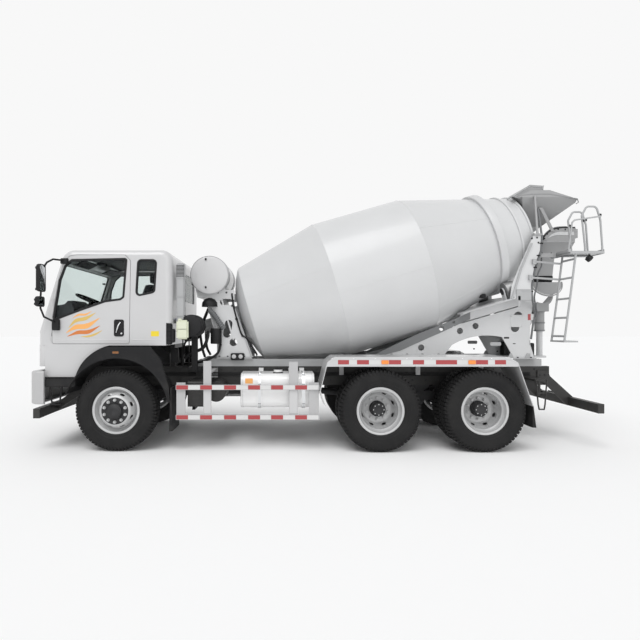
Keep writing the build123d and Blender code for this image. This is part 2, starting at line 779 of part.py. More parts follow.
for side, word in ((-1, "left"), (1, "right")):
    with BuildPart() as door:
        add(cab_outer.part)
        add(cab_inner.part, mode=Mode.SUBTRACT)
        add(door_body, mode=Mode.INTERSECT)
        add(door_window, mode=Mode.SUBTRACT)
        if side > 0:
            mirrored_door = door.part.mirror(Plane.XZ)
            add(mirrored_door, mode=Mode.REPLACE)
        hinge_barrels(side, 0, Mode.ADD)
    keep("door_" + word, door)
    with BuildPart() as door_glass:
        add(door_pane if side < 0 else door_pane.mirror(Plane.XZ))
    keep("door_glass_" + word, door_glass)
    with BuildPart() as mirror_arm:
        outer_y = side * 1260
        skin_y = side * (CAB_Y + SEAT)
        bent_tube(
            [
                (-3395, side * (CAB_Y + 20), 2500),
                (-3440, outer_y, 2492),
                (-3560, outer_y, 2505),
                (-3645, outer_y, 2380),
                (-3668, outer_y, 1980),
                (-3668, outer_y, 1850),
                (-3590, outer_y, 1720),
                (-3500, side * (CAB_Y + 20), 1680),
            ],
            [40, 60, 80, 60, 60, 40],
            12,
        )
        block(-3440, -3340, skin_y, side * (CAB_Y + 40), 2455, 2530)
        block(-3552, -3452, skin_y, side * (CAB_Y + 40), 1580, 1725)
        for low, high, x_face in ((2070, 2425, -3640), (1880, 2015, -3655)):
            block(x_face, x_face + 75, side * 1220, side * 1400, low, high)
    keep("mirror_" + word, mirror_arm)

STEERING_TILT = 24.0
STEERING_R = 225.0
STEERING_HUB = (-3225.0, -520.0, 1997.0)
COLUMN_R = 32.0
steering_dir = Vector(sin(radians(STEERING_TILT)), 0, cos(radians(STEERING_TILT)))
COLUMN_TOP = tuple(Vector(*STEERING_HUB) - steering_dir * 20)
COLUMN_FOOT = tuple(Vector(*STEERING_HUB) - steering_dir * 330)
with BuildPart() as dashboard:
    side_plate(
        [
            (CAB_FRONT + CAB_WALL + SEAT, 1540),
            (CAB_FRONT + CAB_WALL + SEAT, 1595),
            (-3628, 1800),
            (-3570, 1905),
            (-3330, 1940),
            (-3290, 1880),
            (-3330, 1700),
            (-3420, 1640),
            (-3560, 1540),
        ],
        CAB_Y - CAB_WALL - 6,
        -CAB_Y + CAB_WALL + 6,
    )
    bar_between(COLUMN_TOP, COLUMN_FOOT, COLUMN_R + SEAT, mode=Mode.SUBTRACT)
keep("dashboard", dashboard)

with BuildPart() as steering_wheel:
    wheel_plane = Plane(origin=STEERING_HUB, x_dir=(0, 1, 0), z_dir=steering_dir)
    with BuildSketch(Plane(origin=STEERING_HUB, x_dir=steering_dir, z_dir=(0, -1, 0))):
        with Locations((0, STEERING_R)):
            Circle(14)
    revolve(axis=Axis(STEERING_HUB, steering_dir))
    with BuildSketch(wheel_plane.offset(-25)):
        Circle(70)
    extrude(amount=35)
    with BuildSketch(wheel_plane.offset(-10)):
        Rectangle(2 * STEERING_R - 14, 40)
    extrude(amount=14)
    bar_between(COLUMN_TOP, COLUMN_FOOT, COLUMN_R)
keep("steering_wheel", steering_wheel)

SEAT_FRONT = -2960.0
SEAT_FLOOR = CAB_FLOOR + 70.0 + SEAT
with BuildPart() as seats:
    for seat_y in (-520, 480):
        side_plate(
            [
                (SEAT_FRONT + 90, SEAT_FLOOR),
                (SEAT_FRONT + 490, SEAT_FLOOR),
                (SEAT_FRONT + 510, 1790),
                (SEAT_FRONT + 610, 2330),
                (SEAT_FRONT + 510, 2340),
                (SEAT_FRONT + 370, 1860),
                (SEAT_FRONT + 10, 1870),
                (SEAT_FRONT, 1760),
                (SEAT_FRONT + 90, 1740),
            ],
            seat_y + 240,
            seat_y - 240,
        )
keep("seats", seats)

# Cab hinge on the frame's front end, and the rear cab rest
with BuildPart() as cab_mounts:
    for side in (-1, 1):
        side_plate(
            [
                (RAIL_FRONT_X - 8, RAIL_TOP + SEAT),
                (RAIL_FRONT_X + 200, RAIL_TOP + SEAT),
                (RAIL_FRONT_X + 60, CAB_HINGE_Z + 20),
                (RAIL_FRONT_X - 8, CAB_HINGE_Z + 24),
            ],
            side * RAIL_Y + 30,
            side * RAIL_Y - 30,
        )
        rod_y(CAB_HINGE_X, CAB_HINGE_Z, side * (RAIL_Y - 30), side * 560, 14)
        rod_y(CAB_HINGE_X, CAB_HINGE_Z, side * (RAIL_Y - 30), side * (RAIL_Y + 30), 22)
    for side in (-1, 1):
        block(-2130, -2070, side * 340, side * 400, RAIL_TOP + SEAT, CAB_FLOOR - 40)
    block(-2130, -2070, -400, 400, CAB_FLOOR - 60, CAB_FLOOR - SEAT)
keep("cab_mounts", cab_mounts)

# Bumper: bent shell with rounded corners and side wings, open behind
BUMPER_FRONT = RAIL_FRONT_X - 136.0
BUMPER_REAR = RAIL_FRONT_X - 10.0
BUMPER_WING_X = RAIL_FRONT_X + 65.0
BUMPER_Y = 1150.0
BUMPER_WING_T = 45.0
BUMPER_WALL = 24.0
BUMPER_FLANGE = 15.0
BUMPER_CORNER = 125.0
BUMPER_EDGE = 26.0
BUMPER_LOW = 613.0
BUMPER_TOP = 1048.0
LAMP_Y = (700.0, 1000.0)
LAMP_Z = (800.0, 940.0)
with BuildPart() as front_bumper:
    with BuildSketch(Plane.XY.offset(BUMPER_LOW)):
        with BuildLine():
            FilletPolyline(
                (BUMPER_WING_X, -BUMPER_Y),
                (BUMPER_FRONT, -BUMPER_Y),
                (BUMPER_FRONT, BUMPER_Y),
                (BUMPER_WING_X, BUMPER_Y),
                radius=BUMPER_CORNER,
            )
            Polyline(
                (BUMPER_WING_X, BUMPER_Y),
                (BUMPER_WING_X, BUMPER_Y - BUMPER_WING_T),
                (BUMPER_REAR, BUMPER_Y - BUMPER_WING_T),
                (BUMPER_REAR, -BUMPER_Y + BUMPER_WING_T),
                (BUMPER_WING_X, -BUMPER_Y + BUMPER_WING_T),
                (BUMPER_WING_X, -BUMPER_Y),
            )
        make_face()
    extrude(amount=BUMPER_TOP - BUMPER_LOW)
    level_edges = front_bumper.edges().filter_by(
        lambda e: min(e.center().Z - BUMPER_LOW, BUMPER_TOP - e.center().Z) < 1
    )
    outer_edges = level_edges.filter_by(lambda e: e.center().X < BUMPER_REAR - 20)
    long_edges = outer_edges.filter_by(lambda e: e.length > 150 or e.geom_type == GeomType.CIRCLE)
    fillet(long_edges, radius=BUMPER_EDGE)
    with BuildSketch(Plane.XY.offset(BUMPER_LOW + BUMPER_FLANGE)):
        with BuildLine():
            inner_y = BUMPER_Y - BUMPER_WALL
            inner_bend = FilletPolyline(
                (BUMPER_WING_X - 30, -inner_y),
                (BUMPER_FRONT + BUMPER_WALL, -inner_y),
                (BUMPER_FRONT + BUMPER_WALL, inner_y),
                (BUMPER_WING_X - 30, inner_y),
                radius=BUMPER_CORNER - BUMPER_WALL,
            )
            Line(inner_bend @ 1, inner_bend @ 0)
        make_face()
    extrude(amount=BUMPER_TOP - BUMPER_LOW - 2 * BUMPER_FLANGE, mode=Mode.SUBTRACT)
    for side in (-1, 1):
        near, far = [side * y for y in LAMP_Y]
        block(BUMPER_FRONT - 5, BUMPER_FRONT + 40, near, far, *LAMP_Z, mode=Mode.SUBTRACT)
        block(BUMPER_FRONT + 18, RAIL_FRONT_X - SEAT, side * 360, side * 420, 820, 1000)
keep("front_bumper", front_bumper)

with BuildPart() as headlamps:
    for side in (-1, 1):
        block(
            BUMPER_FRONT + 4,
            BUMPER_FRONT + 60,
            side * (LAMP_Y[0] + SEAT),
            side * (LAMP_Y[1] - SEAT),
            LAMP_Z[0] + SEAT,
            LAMP_Z[1] - SEAT,
        )

# Front underrun bar on two arms below the bumper
UNDERRUN_Y = 1100.0
UNDERRUN_FRONT = RAIL_FRONT_X - 95.0
UNDERRUN_BACK = RAIL_FRONT_X - 10.0
UNDERRUN_LOW = 425.0
UNDERRUN_H = 125.0
with BuildPart() as front_underrun_bar:
    with BuildSketch(Plane.XY.offset(UNDERRUN_LOW)):
        with BuildLine():
            outer_bow = ThreePointArc(
                (UNDERRUN_FRONT, -UNDERRUN_Y), (UNDERRUN_FRONT - 25, 0), (UNDERRUN_FRONT, UNDERRUN_Y)
            )
            Line(outer_bow @ 1, (UNDERRUN_BACK, UNDERRUN_Y))
            inner_bow = ThreePointArc(
                (UNDERRUN_BACK, UNDERRUN_Y), (UNDERRUN_BACK - 30, 0), (UNDERRUN_BACK, -UNDERRUN_Y)
            )
            Line(inner_bow @ 1, outer_bow @ 0)
        make_face()
    extrude(amount=UNDERRUN_H)
    for side in (-1, 1):
        side_plate(
            [
                (UNDERRUN_BACK - 35, UNDERRUN_LOW + 15),
                (UNDERRUN_BACK - 35, UNDERRUN_LOW + UNDERRUN_H),
                (RAIL_FRONT_X + 365, RAIL_TOP - RAIL_H + 60),
                (RAIL_FRONT_X + 445, RAIL_TOP - RAIL_H + 60),
                (RAIL_FRONT_X + 445, RAIL_TOP - RAIL_H - 30),
            ],
            max(side * (RAIL_Y + SEAT), side * (RAIL_Y + 30)),
            min(side * (RAIL_Y + SEAT), side * (RAIL_Y + 30)),
        )

# Front fenders: arched shells with a broad side lip
FENDER_IN_R = 680.0
FENDER_OUT_Y = 1150.0
with BuildPart() as front_fender_left:
    with BuildSketch(Plane.XZ.offset(FENDER_OUT_Y - 60)) as lip:
        with BuildLine():
            lip_front = Line((-3225, 830), (-3222, 955))
            lip_arc = ThreePointArc(lip_front @ 1, (-3040, 1250), (-2805, CAB_FLOOR - 14))
            Polyline(
                lip_arc @ 1, (-2250, CAB_FLOOR - 14), (-2110, 1200), (-2000, 830), (-1985, 640), lip_front @ 0
            )
        make_face()
        with BuildLine():
            Polyline((-3400, 400), (-3400, 640), (-1980, 640), (-1980, 400), close=True)
        make_face(mode=Mode.SUBTRACT)
        with Locations((FRONT_AXLE_X, TYRE_R)):
            Circle(FENDER_IN_R, mode=Mode.SUBTRACT)
    extrude(lip.sketch, amount=60)
    with BuildSketch(Plane.XZ.offset(640)) as liner:
        with Locations((FRONT_AXLE_X, TYRE_R)):
            Circle(FENDER_IN_R + 14)
            Circle(FENDER_IN_R, mode=Mode.SUBTRACT)
        with Locations((FRONT_AXLE_X, 0)):
            Rectangle(2000, 2 * 750, mode=Mode.SUBTRACT)
    extrude(liner.sketch, amount=FENDER_OUT_Y - 640)

# Fuel tank on the left, with straps and brackets to the rail
TANK_FRONT = -1064.0
TANK_REAR = -102.0
TANK_LOW = 556.0
TANK_TOP = 1005.0
TANK_OUT_Y = 1080.0
TANK_IN_Y = 480.0
TANK_CORNER = 110.0


def side_tank(x0, x1, z0, z1, y_in, y_out, corner, strap_xs):
    """Tank with rounded long edges and straps, on the left."""
    with BuildSketch(Plane.YZ.offset(x0)) as tank_section:
        with Locations((-(y_in + y_out) / 2, (z0 + z1) / 2)):
            RectangleRounded(y_out - y_in, z1 - z0, corner)
    extrude(tank_section.sketch, amount=x1 - x0)
    for strap_x in strap_xs:
        with BuildSketch(Plane.YZ.offset(strap_x - 33)) as strap:
            with Locations((-(y_in + y_out) / 2, (z0 + z1) / 2)):
                RectangleRounded(y_out - y_in + 12, z1 - z0 + 12, corner + 6)
                RectangleRounded(y_out - y_in - 4, z1 - z0 - 4, corner - 2, mode=Mode.SUBTRACT)
        extrude(strap.sketch, amount=66)
        block(strap_x - 33, strap_x + 33, -y_in + 10, -RAIL_Y - SEAT, z0 + 60, RAIL_TOP - 20)
        block(strap_x - 33, strap_x + 33, -y_in - 60, -RAIL_Y - SEAT, z0 - 30, z0 + 60)


with BuildPart() as fuel_tank:
    side_tank(TANK_FRONT, TANK_REAR, TANK_LOW, TANK_TOP, TANK_IN_Y, TANK_OUT_Y, TANK_CORNER, [-820, -240])
    with Locations((-576, -900, TANK_TOP + 22)):
        Cylinder(58, 48)
keep("fuel_tank", fuel_tank)

# Air tanks and battery box between the front wheel and the fuel tank
with BuildPart() as air_tanks:
    for tank_y in (-640, -900):
        rod_y(-1400, 760, tank_y + 110, tank_y - 110, 130)
    rod_y(-1400, 760, -420 - SEAT - 5, -1010, 40)
    block(-1500, -1300, -RAIL_Y - 10, -RAIL_Y - SEAT, 700, 900)

with BuildPart() as battery_box:
    with BuildSketch(Plane.YZ.offset(-1780)):
        with Locations((-(540 + 1000) / 2, 730)):
            RectangleRounded(460, 340, 25)
    extrude(amount=230)
    block(-1760, -1570, -560, -RAIL_Y - SEAT, 600, 660)
    block(-1760, -1570, -RAIL_Y - 20, -RAIL_Y - SEAT, 600, 1000)
with BuildPart() as air_tanks_and_battery:
    add(air_tanks.part)
    add(battery_box.part)
keep("air_tanks_and_battery", air_tanks_and_battery)

# Exhaust silencer on the right
with BuildPart() as silencer:
    with BuildSketch(Plane.YZ.offset(-1600)):
        with Locations((760, 740)):
            RectangleRounded(520, 420, 120)
    extrude(amount=900)
    bar_between((-1590, 700, 740), (-1850, 520, 760), 50)
    for strap_x in (-1380, -900):
        block(strap_x - 25, strap_x + 25, RAIL_Y + SEAT, 560, 640, 980)
keep("silencer", silencer)

# Side guards: two rails on four posts
GUARD_Y = 1180.0
GUARD_T = 28.0
GUARD_LOW = 420.0
GUARD_HIGH = 808.0
GUARD_RAIL_H = 65.0
GUARD_FRONT = -1898.0
GUARD_REAR = -44.0
GUARD_POSTS = [
    (-1898.0, -1782.0, 900.0),
    (-1548.0, -1445.0, 1180.0),
    (-433.0, -317.0, 1170.0),
    (-174.0, -44.0, 900.0),
]


def side_guard():
    """Left side guard."""
    with BuildPart() as piece:
        for low in (GUARD_LOW, GUARD_HIGH):
            block(GUARD_FRONT, GUARD_REAR, -GUARD_Y, -GUARD_Y + GUARD_T, low, low + GUARD_RAIL_H)
        for x0, x1, top in GUARD_POSTS:
            block(x0, x1, -GUARD_Y + GUARD_T, -GUARD_Y + GUARD_T + 16, GUARD_LOW, top)
        for x0, x1, top in GUARD_POSTS[1:3]:
            block(x0, x1, -GUARD_Y + GUARD_T, -RAIL_Y - SEAT, RAIL_TOP - 40, RAIL_TOP - 24)
            block(x0, x1, -RAIL_Y - 14, -RAIL_Y - SEAT, RAIL_TOP - 160, RAIL_TOP - 24)
    return piece


guard = side_guard()
with BuildPart() as side_guards:
    add(guard.part)
    mirror(about=Plane.XZ)
keep("side_guards", side_guards)

# Rear fenders: long arch over both axles, skirt, legs and flap carriers
FENDER_TOP = 1238.0
FENDER_SKIRT = 1116.0
FENDER_OUT = 1225.0
FENDER_IN = 620.0
FENDER_T = 8.0
FENDER_SHAPE = [
    (60.0, 520.0),
    (-34.0, 800.0),
    (60.0, 1170.0),
    (150.0, FENDER_TOP),
    (2400.0, FENDER_TOP),
    (2520.0, 1165.0),
    (2745.0, 520.0),
]
FENDER_LEG_END = 600.0


def rear_fender():
    """Left rear fender, a bent sheet with a turned-down outer edge and stays to the frame."""
    with BuildPart() as piece:
        with BuildSketch(Plane.XZ.offset(FENDER_IN)) as sheet:
            with BuildLine():
                Polyline(*FENDER_SHAPE, close=True)
            make_face()
            offset(amount=-FENDER_T, mode=Mode.SUBTRACT)
            with Locations((1300, FENDER_LEG_END / 2)):
                Rectangle(4000, FENDER_LEG_END, mode=Mode.SUBTRACT)
        extrude(sheet.sketch, amount=FENDER_OUT - FENDER_IN)
        side_plate(
            [
                (50, FENDER_SKIRT),
                (62, 1160),
                (152, FENDER_TOP - 2),
                (2398, FENDER_TOP - 2),
                (2512, 1165),
                (2525, FENDER_SKIRT),
            ],
            -FENDER_OUT + 12,
            -FENDER_OUT,
        )
        for stay_x in (330, TRUNNION_X, 2330):
            front = stay_x - 30
            back = stay_x + 30
            block(front, back, -FENDER_OUT + 60, -PEDESTAL_Y - 5, FENDER_TOP - 34, FENDER_TOP - 2)
            block(front, back, -PEDESTAL_Y - 35, -PEDESTAL_Y - 5, RAIL_TOP - 120, FENDER_TOP - 2)
            block(front, back, -PEDESTAL_Y - 35, -RAIL_Y - SEAT, RAIL_TOP - 120, RAIL_TOP - 20)
    return piece


fender = rear_fender()
with BuildPart() as rear_fenders:
    add(fender.part)
    mirror(about=Plane.XZ)
keep("rear_fenders", rear_fenders)


def fender_leg_x(z):
    """Outer face of the fender's rear leg at a height, plus the seat gap."""
    (top_x, top_z), (low_x, low_z) = FENDER_SHAPE[5:7]
    return top_x + (top_z - z) * (low_x - top_x) / (top_z - low_z) + SEAT


# Rubber flaps hung on the fender's rear legs and behind the front wheels
with BuildPart() as mudguards_and_flaps:
    add(front_fender_left.part)
    mirror(about=Plane.XZ)
    for side in (-1, 1):
        side_plate(
            [
                (fender_leg_x(665), 665),
                (fender_leg_x(665) + 12, 665),
                (fender_leg_x(600) + 12, 600),
                (2764, 322),
                (2716, 322),
                (fender_leg_x(600), 600),
            ],
            max(side * 640, side * 1200),
            min(side * 640, side * 1200),
        )
        side_plate(
            [(-1982, 700), (-1966, 700), (-1955, 262), (-2000, 262)],
            max(side * 660, side * 1140),
            min(side * 660, side * 1140),
        )
        block(-2010, -1966, side * (RAIL_Y + SEAT), side * 700, 800, 830)
        block(-1982, -1966, side * 660, side * 1140, 700, 830)
keep("mudguards_and_flaps", mudguards_and_flaps)

# Drum: steel shell turned about its axis, open at the mouth
with BuildPart() as drum:
    with BuildSketch(drum_plane):
        with BuildLine():
            dish = ThreePointArc(
                (DRUM_HEAD_S - DRUM_DISH, 0),
                (DRUM_HEAD_S - DRUM_DISH * 0.72, DRUM_HEAD_R * 0.55),
                (DRUM_HEAD_S, DRUM_HEAD_R),
            )
            belly = Polyline(
                dish @ 1,
                (DRUM_BELLY_FRONT_S, DRUM_BELLY_FRONT_R),
                (DRUM_BELLY_REAR_S, DRUM_BELLY_REAR_R),
                (MOUTH_S, MOUTH_R),
                (MOUTH_S, MOUTH_R - DRUM_WALL),
                (DRUM_BELLY_REAR_S, DRUM_BELLY_REAR_R - DRUM_WALL),
                (DRUM_BELLY_FRONT_S, DRUM_BELLY_FRONT_R - DRUM_WALL),
                (DRUM_HEAD_S + 4, DRUM_HEAD_R - DRUM_WALL),
            )
            inner_dish = ThreePointArc(
                belly @ 1,
                (DRUM_HEAD_S - DRUM_DISH * 0.72 + DRUM_WALL, DRUM_HEAD_R * 0.55 - 3),
                (DRUM_HEAD_S - DRUM_DISH + DRUM_WALL, 0),
            )
            Line(inner_dish @ 1, dish @ 0)
        make_face()
        for rib_s in (MOUTH_S - 30, MOUTH_S - 210):
            cone_rise = (DRUM_BELLY_REAR_R - MOUTH_R) / (MOUTH_S - DRUM_BELLY_REAR_S)
            rib_r = MOUTH_R + (MOUTH_S - rib_s) * cone_rise
            with Locations((rib_s, rib_r + 8)):
                Rectangle(26, 24)
        with Locations((RING_S, (RING_R + RING_FOOT_R) / 2)):
            Rectangle(RING_W, RING_R - RING_FOOT_R)
    revolve(axis=drum_axis)
    with BuildSketch(drum_cross(REDUCER_S + 40)) as drive_flange:
        Circle(210)
    extrude(drive_flange.sketch, amount=DRUM_HEAD_S - DRUM_DISH - REDUCER_S - 40 + 20)
    with BuildSketch(drum_cross(REDUCER_S - 60)) as stub:
        Circle(60)
    extrude(stub.sketch, amount=110)
keep("drum", drum)


def roller_centre(side):
    """Roller axis point beside the ring, half a millimetre off it."""
    reach = RING_R + ROLLER_R + 0.5
    return (
        on_axis(RING_S)
        - DRUM_UP * reach * cos(radians(ROLLER_ANGLE))
        + Vector(0, side, 0) * reach * sin(radians(ROLLER_ANGLE))
    )


ROLLER_PIN_R = 30.0
ROLLER_YOKE = 95.0
for side, word in ((-1, "left"), (1, "right")):
    with BuildPart() as roller:
        hub_start = roller_centre(side) - AXIS * (ROLLER_W / 2)
        with BuildSketch(Plane(origin=hub_start, x_dir=(0, 1, 0), z_dir=AXIS)):
            Circle(ROLLER_R)
            Circle(ROLLER_PIN_R + RUN, mode=Mode.SUBTRACT)
        extrude(amount=ROLLER_W)
    keep("roller_" + word, roller)

# Front pedestal: two side plates, the sloping drive plate, a base and a saddle for the tank
PED_BASE_REAR = -952.0
PED_BASE_FRONT = -1455.0
PED_TOP_FRONT = -1600.0
PED_TOP_REAR = -1204.0
PED_TOP = 2157.0
with BuildPart() as front_pedestal:
    for side in (-1, 1):
        inner = side * (PEDESTAL_Y - PLATE)
        outer = side * PEDESTAL_Y
        side_plate(
            [
                (PED_BASE_FRONT, SUB_Z + SEAT),
                (PED_BASE_REAR, SUB_Z + SEAT),
                (PED_TOP_REAR, PED_TOP - 260),
                (PED_TOP_REAR, PED_TOP),
                (PED_TOP_FRONT, PED_TOP),
                (PED_TOP_FRONT, PED_TOP - 200),
                (PED_BASE_FRONT, 1420),
            ],
            max(inner, outer),
            min(inner, outer),
        )
    with BuildSketch(Plane.XZ.offset(-PEDESTAL_Y - 1)):
        with Locations((-1322, 1985)):
            SlotOverall(180, 90)
        with Locations((-1300, 1600)):
            SlotOverall(260, 110, rotation=80)
        with Locations((-1220, 1405)):
            Circle(55)
    extrude(amount=2 * PEDESTAL_Y + 2, mode=Mode.SUBTRACT)
    block(PED_BASE_FRONT, PED_BASE_REAR, -PEDESTAL_Y + 1, PEDESTAL_Y - 1, SUB_Z + SEAT, SUB_Z + SEAT + PLATE)
    with BuildSketch(drum_cross(REDUCER_S - 20)) as drive_plate:
        Rectangle(2 * PEDESTAL_Y - 4, 620)
        Circle(190, mode=Mode.SUBTRACT)
    extrude(drive_plate.sketch, amount=-PLATE - 6)
    with BuildSketch(Plane.XZ.offset(-PEDESTAL_Y + PLATE / 2)) as saddle:
        with BuildLine():
            Polyline(
                (WATER_TANK_X - 190, WATER_TANK_Z - WATER_TANK_R - 40),
                (WATER_TANK_X + 190, WATER_TANK_Z - WATER_TANK_R - 40),
                (WATER_TANK_X + 215, PED_TOP + 40),
                (WATER_TANK_X - 215, PED_TOP + 40),
                close=True,
            )
        make_face()
    extrude(saddle.sketch, amount=2 * PEDESTAL_Y - PLATE)
    rod_y(
        WATER_TANK_X, WATER_TANK_Z, -PEDESTAL_Y - 5, PEDESTAL_Y + 5, WATER_TANK_R + SEAT, mode=Mode.SUBTRACT
    )
keep("front_pedestal", front_pedestal)

with BuildPart() as drum_gearbox:
    with BuildSketch(drum_cross(REDUCER_S + 20)) as output_flange:
        Circle(180)
        Circle(60 + RUN, mode=Mode.SUBTRACT)
    extrude(output_flange.sketch, amount=-20 - 20 - 6 - PLATE - 30)
    with BuildSketch(drum_cross(REDUCER_S - 20 - PLATE - 6 - SEAT)) as bolt_flange:
        Circle(250)
        Circle(60 + RUN, mode=Mode.SUBTRACT)
    extrude(bolt_flange.sketch, amount=-30)
    with BuildSketch(drum_cross(REDUCER_S - 62)) as case:
        Circle(205)
    extrude(case.sketch, amount=-190)
    with BuildSketch(drum_cross(REDUCER_S - 250)) as motor:
        Circle(110)
    extrude(motor.sketch, amount=-190)
keep("drum_gearbox", drum_gearbox)

with BuildPart() as water_tank:
    rod_y(WATER_TANK_X, WATER_TANK_Z, -WATER_TANK_HALF, WATER_TANK_HALF, WATER_TANK_R)
    rod_y(WATER_TANK_X, WATER_TANK_Z, -WATER_TANK_HALF - 14, WATER_TANK_HALF + 14, WATER_TANK_R - 25)
keep("water_tank", water_tank)

# Rear pedestal: braced side plates, the sloping roller shelf, uprights and roller yokes
REAR_PED_FRONT = 829.0
REAR_PED_REAR = 3110.0
UPRIGHT_Y = 665.0
UPRIGHT_TOP = 2900.0
UPRIGHT_EDGE = [
    (2945.0, 2050.0),
    (2945.0, 2210.0),
    (2987.0, 2447.0),
    (3071.0, 2697.0),
    (3085.0, UPRIGHT_TOP),
]
SHELF_T = 20.0
SHELF_FRONT = (2000.0, 1822.0)
SHELF_LENGTH = 900.0
POST_X = 3400.0
POST_R = 45.0
POST_TOP = 1850.0
shelf_plane = Plane(origin=(SHELF_FRONT[0], 0, SHELF_FRONT[1]), x_dir=AXIS, z_dir=(0, -1, 0))
shelf_foot = shelf_plane.from_local_coords(Vector(SHELF_LENGTH, -SHELF_T, 0))
with BuildPart() as rear_pedestal:
    for side in (-1, 1):
        inner = side * (PEDESTAL_Y - PLATE)
        outer = side * PEDESTAL_Y
        side_plate(
            [
                (REAR_PED_FRONT, SUB_Z + SEAT),
                (REAR_PED_REAR, SUB_Z + SEAT),
                (3025, 1439),
                (3090, shelf_foot.Z),
                (shelf_foot.X - 20, shelf_foot.Z + 2),
                (SHELF_FRONT[0] + 60, SHELF_FRONT[1] + 4),
                (1960, 1628),
                (1749, 1554),
                (1605, 1489),
                (1174, 1295),
                (REAR_PED_FRONT, 1209),
            ],
            max(inner, outer),
            min(inner, outer),
        )
    with BuildSketch(Plane.XZ.offset(-PEDESTAL_Y - 1)):
        with BuildLine():
            low = Line((1792, SUB_Z + PLATE + 20), (2800, SUB_Z + PLATE + 20))
            rise = Line(low @ 1, (2640, 1480))
            crown = ThreePointArc(rise @ 1, (2200, 1478), (1921, 1367))
            Line(crown @ 1, low @ 0)
        make_face()
        with Locations((2036, 1568), (2260, 1640), (1480, 1330)):
            Circle(45)
        with Locations((2850, 1700)):
            SlotOverall(300, 120, rotation=75)
    extrude(amount=2 * PEDESTAL_Y + 2, mode=Mode.SUBTRACT)
    block(REAR_PED_FRONT, REAR_PED_REAR, -PEDESTAL_Y + 1, PEDESTAL_Y - 1, SUB_Z + SEAT, SUB_Z + SEAT + PLATE)
    block(3030, 3030 + PLATE, -PEDESTAL_Y + 2, PEDESTAL_Y - 2, 1440, shelf_foot.Z - 5)
    with BuildSketch(shelf_plane.offset(-UPRIGHT_Y - PLATE)) as shelf_edge:
        with Locations((SHELF_LENGTH / 2, -SHELF_T / 2)):
            Rectangle(SHELF_LENGTH, SHELF_T)
    extrude(shelf_edge.sketch, amount=2 * (UPRIGHT_Y + PLATE))
    tail_z = shelf_foot.Z - 2
    block(shelf_foot.X - 30, 2945, -UPRIGHT_Y - PLATE, UPRIGHT_Y + PLATE, tail_z, tail_z + SHELF_T)
    block(shelf_foot.X - 30, 3090, -PEDESTAL_Y, PEDESTAL_Y, tail_z, tail_z + SHELF_T)
    with BuildSketch(drum_plane):
        with BuildLine():
            Polyline(
                (DRUM_BELLY_FRONT_S, 0),
                (DRUM_BELLY_FRONT_S, DRUM_BELLY_FRONT_R + DRUM_CLEAR),
                (DRUM_BELLY_REAR_S, DRUM_BELLY_REAR_R + DRUM_CLEAR),
                (MOUTH_S, MOUTH_R + DRUM_CLEAR),
                (MOUTH_S, 0),
                close=True,
            )
        make_face()
    revolve(axis=drum_axis, mode=Mode.SUBTRACT)
    for side in (-1, 1):
        inner = side * UPRIGHT_Y
        outer = side * (UPRIGHT_Y + PLATE)
        side_plate(
            [
                (2655, 1998),
                (2865, 2055),
                *UPRIGHT_EDGE,
                (UPRIGHT_EDGE[-1][0] - 100, UPRIGHT_TOP),
                (2932, 2795),
                (2778, 2447),
                (2681, 2210),
            ],
            max(inner, outer),
            min(inner, outer),
        )
        pin_centre = roller_centre(side)
        pocket_start = pin_centre - AXIS * (ROLLER_W / 2 + 10)
        with BuildSketch(Plane(origin=pocket_start, x_dir=(0, 1, 0), z_dir=AXIS)) as pocket:
            Circle(ROLLER_R + 12)
        extrude(pocket.sketch, amount=ROLLER_W + 20, mode=Mode.SUBTRACT)
        for cheek_s in (-1, 1):
            cheek_at = pin_centre + AXIS * (cheek_s * (ROLLER_YOKE - 10) - 9)
            drop = shelf_plane.to_local_coords(pin_centre).Y + SHELF_T / 2
            with BuildSketch(Plane(origin=cheek_at, x_dir=(0, 1, 0), z_dir=AXIS)) as cheek:
                Circle(ROLLER_PIN_R + 22)
                with Locations((0, -drop / 2)):
                    Rectangle(2 * ROLLER_PIN_R + 44, drop)
            extrude(cheek.sketch, amount=18)
        pin_start = pin_centre - AXIS * ROLLER_YOKE
        with BuildSketch(Plane(origin=pin_start, x_dir=(0, 1, 0), z_dir=AXIS)) as pin_face:
            Circle(ROLLER_PIN_R)
        extrude(pin_face.sketch, amount=2 * ROLLER_YOKE)
    block(3040, POST_X + 60, -90, 90, SUB_Z + SEAT, SUB_Z + SEAT + 30)
    with Locations((POST_X, 0, (SUB_Z + POST_TOP) / 2)):
        Cylinder(POST_R, POST_TOP - SUB_Z)
keep("rear_pedestal", rear_pedestal)

# Charging hopper: side view crossed with front view, open above and towards the drum
HOPPER_Y = 500.0
HOPPER_T = 8.0
HOPPER_BEND_Z = 3480.0
HOPPER_THROAT_Y = 230.0
HOPPER_SKIN = [
    (2859.0, 3640.0),
    (3000.0, 3204.0),
    (2900.0, 3204.0),
    (2900.0, 2792.0),
    (3361.0, 3152.0),
    (3690.0, 3409.0),
    (3760.0, 3640.0),
]
HOPPER_RIM = [
    (2847.0, 3495.0),
    (3032.0, 3580.0),
    (3300.0, 3580.0),
    (3703.0, 3452.0),
    (3720.0, 3390.0),
    (3380.0, 3130.0),
    (3010.0, 2840.0),
    (2990.0, 2840.0),
    (2990.0, 3215.0),
    (2960.0, 3215.0),
]
HOOD_Y = 450.0
HOOD_EDGE = [(2790.0, 3500.0), (3040.0, 3670.0), (3240.0, 3655.0)]
STRUT_Y = 430.0
MOUTH_ROOM_R = 645.0
MOUTH_ROOM_S = (2300.0, 2695.0)


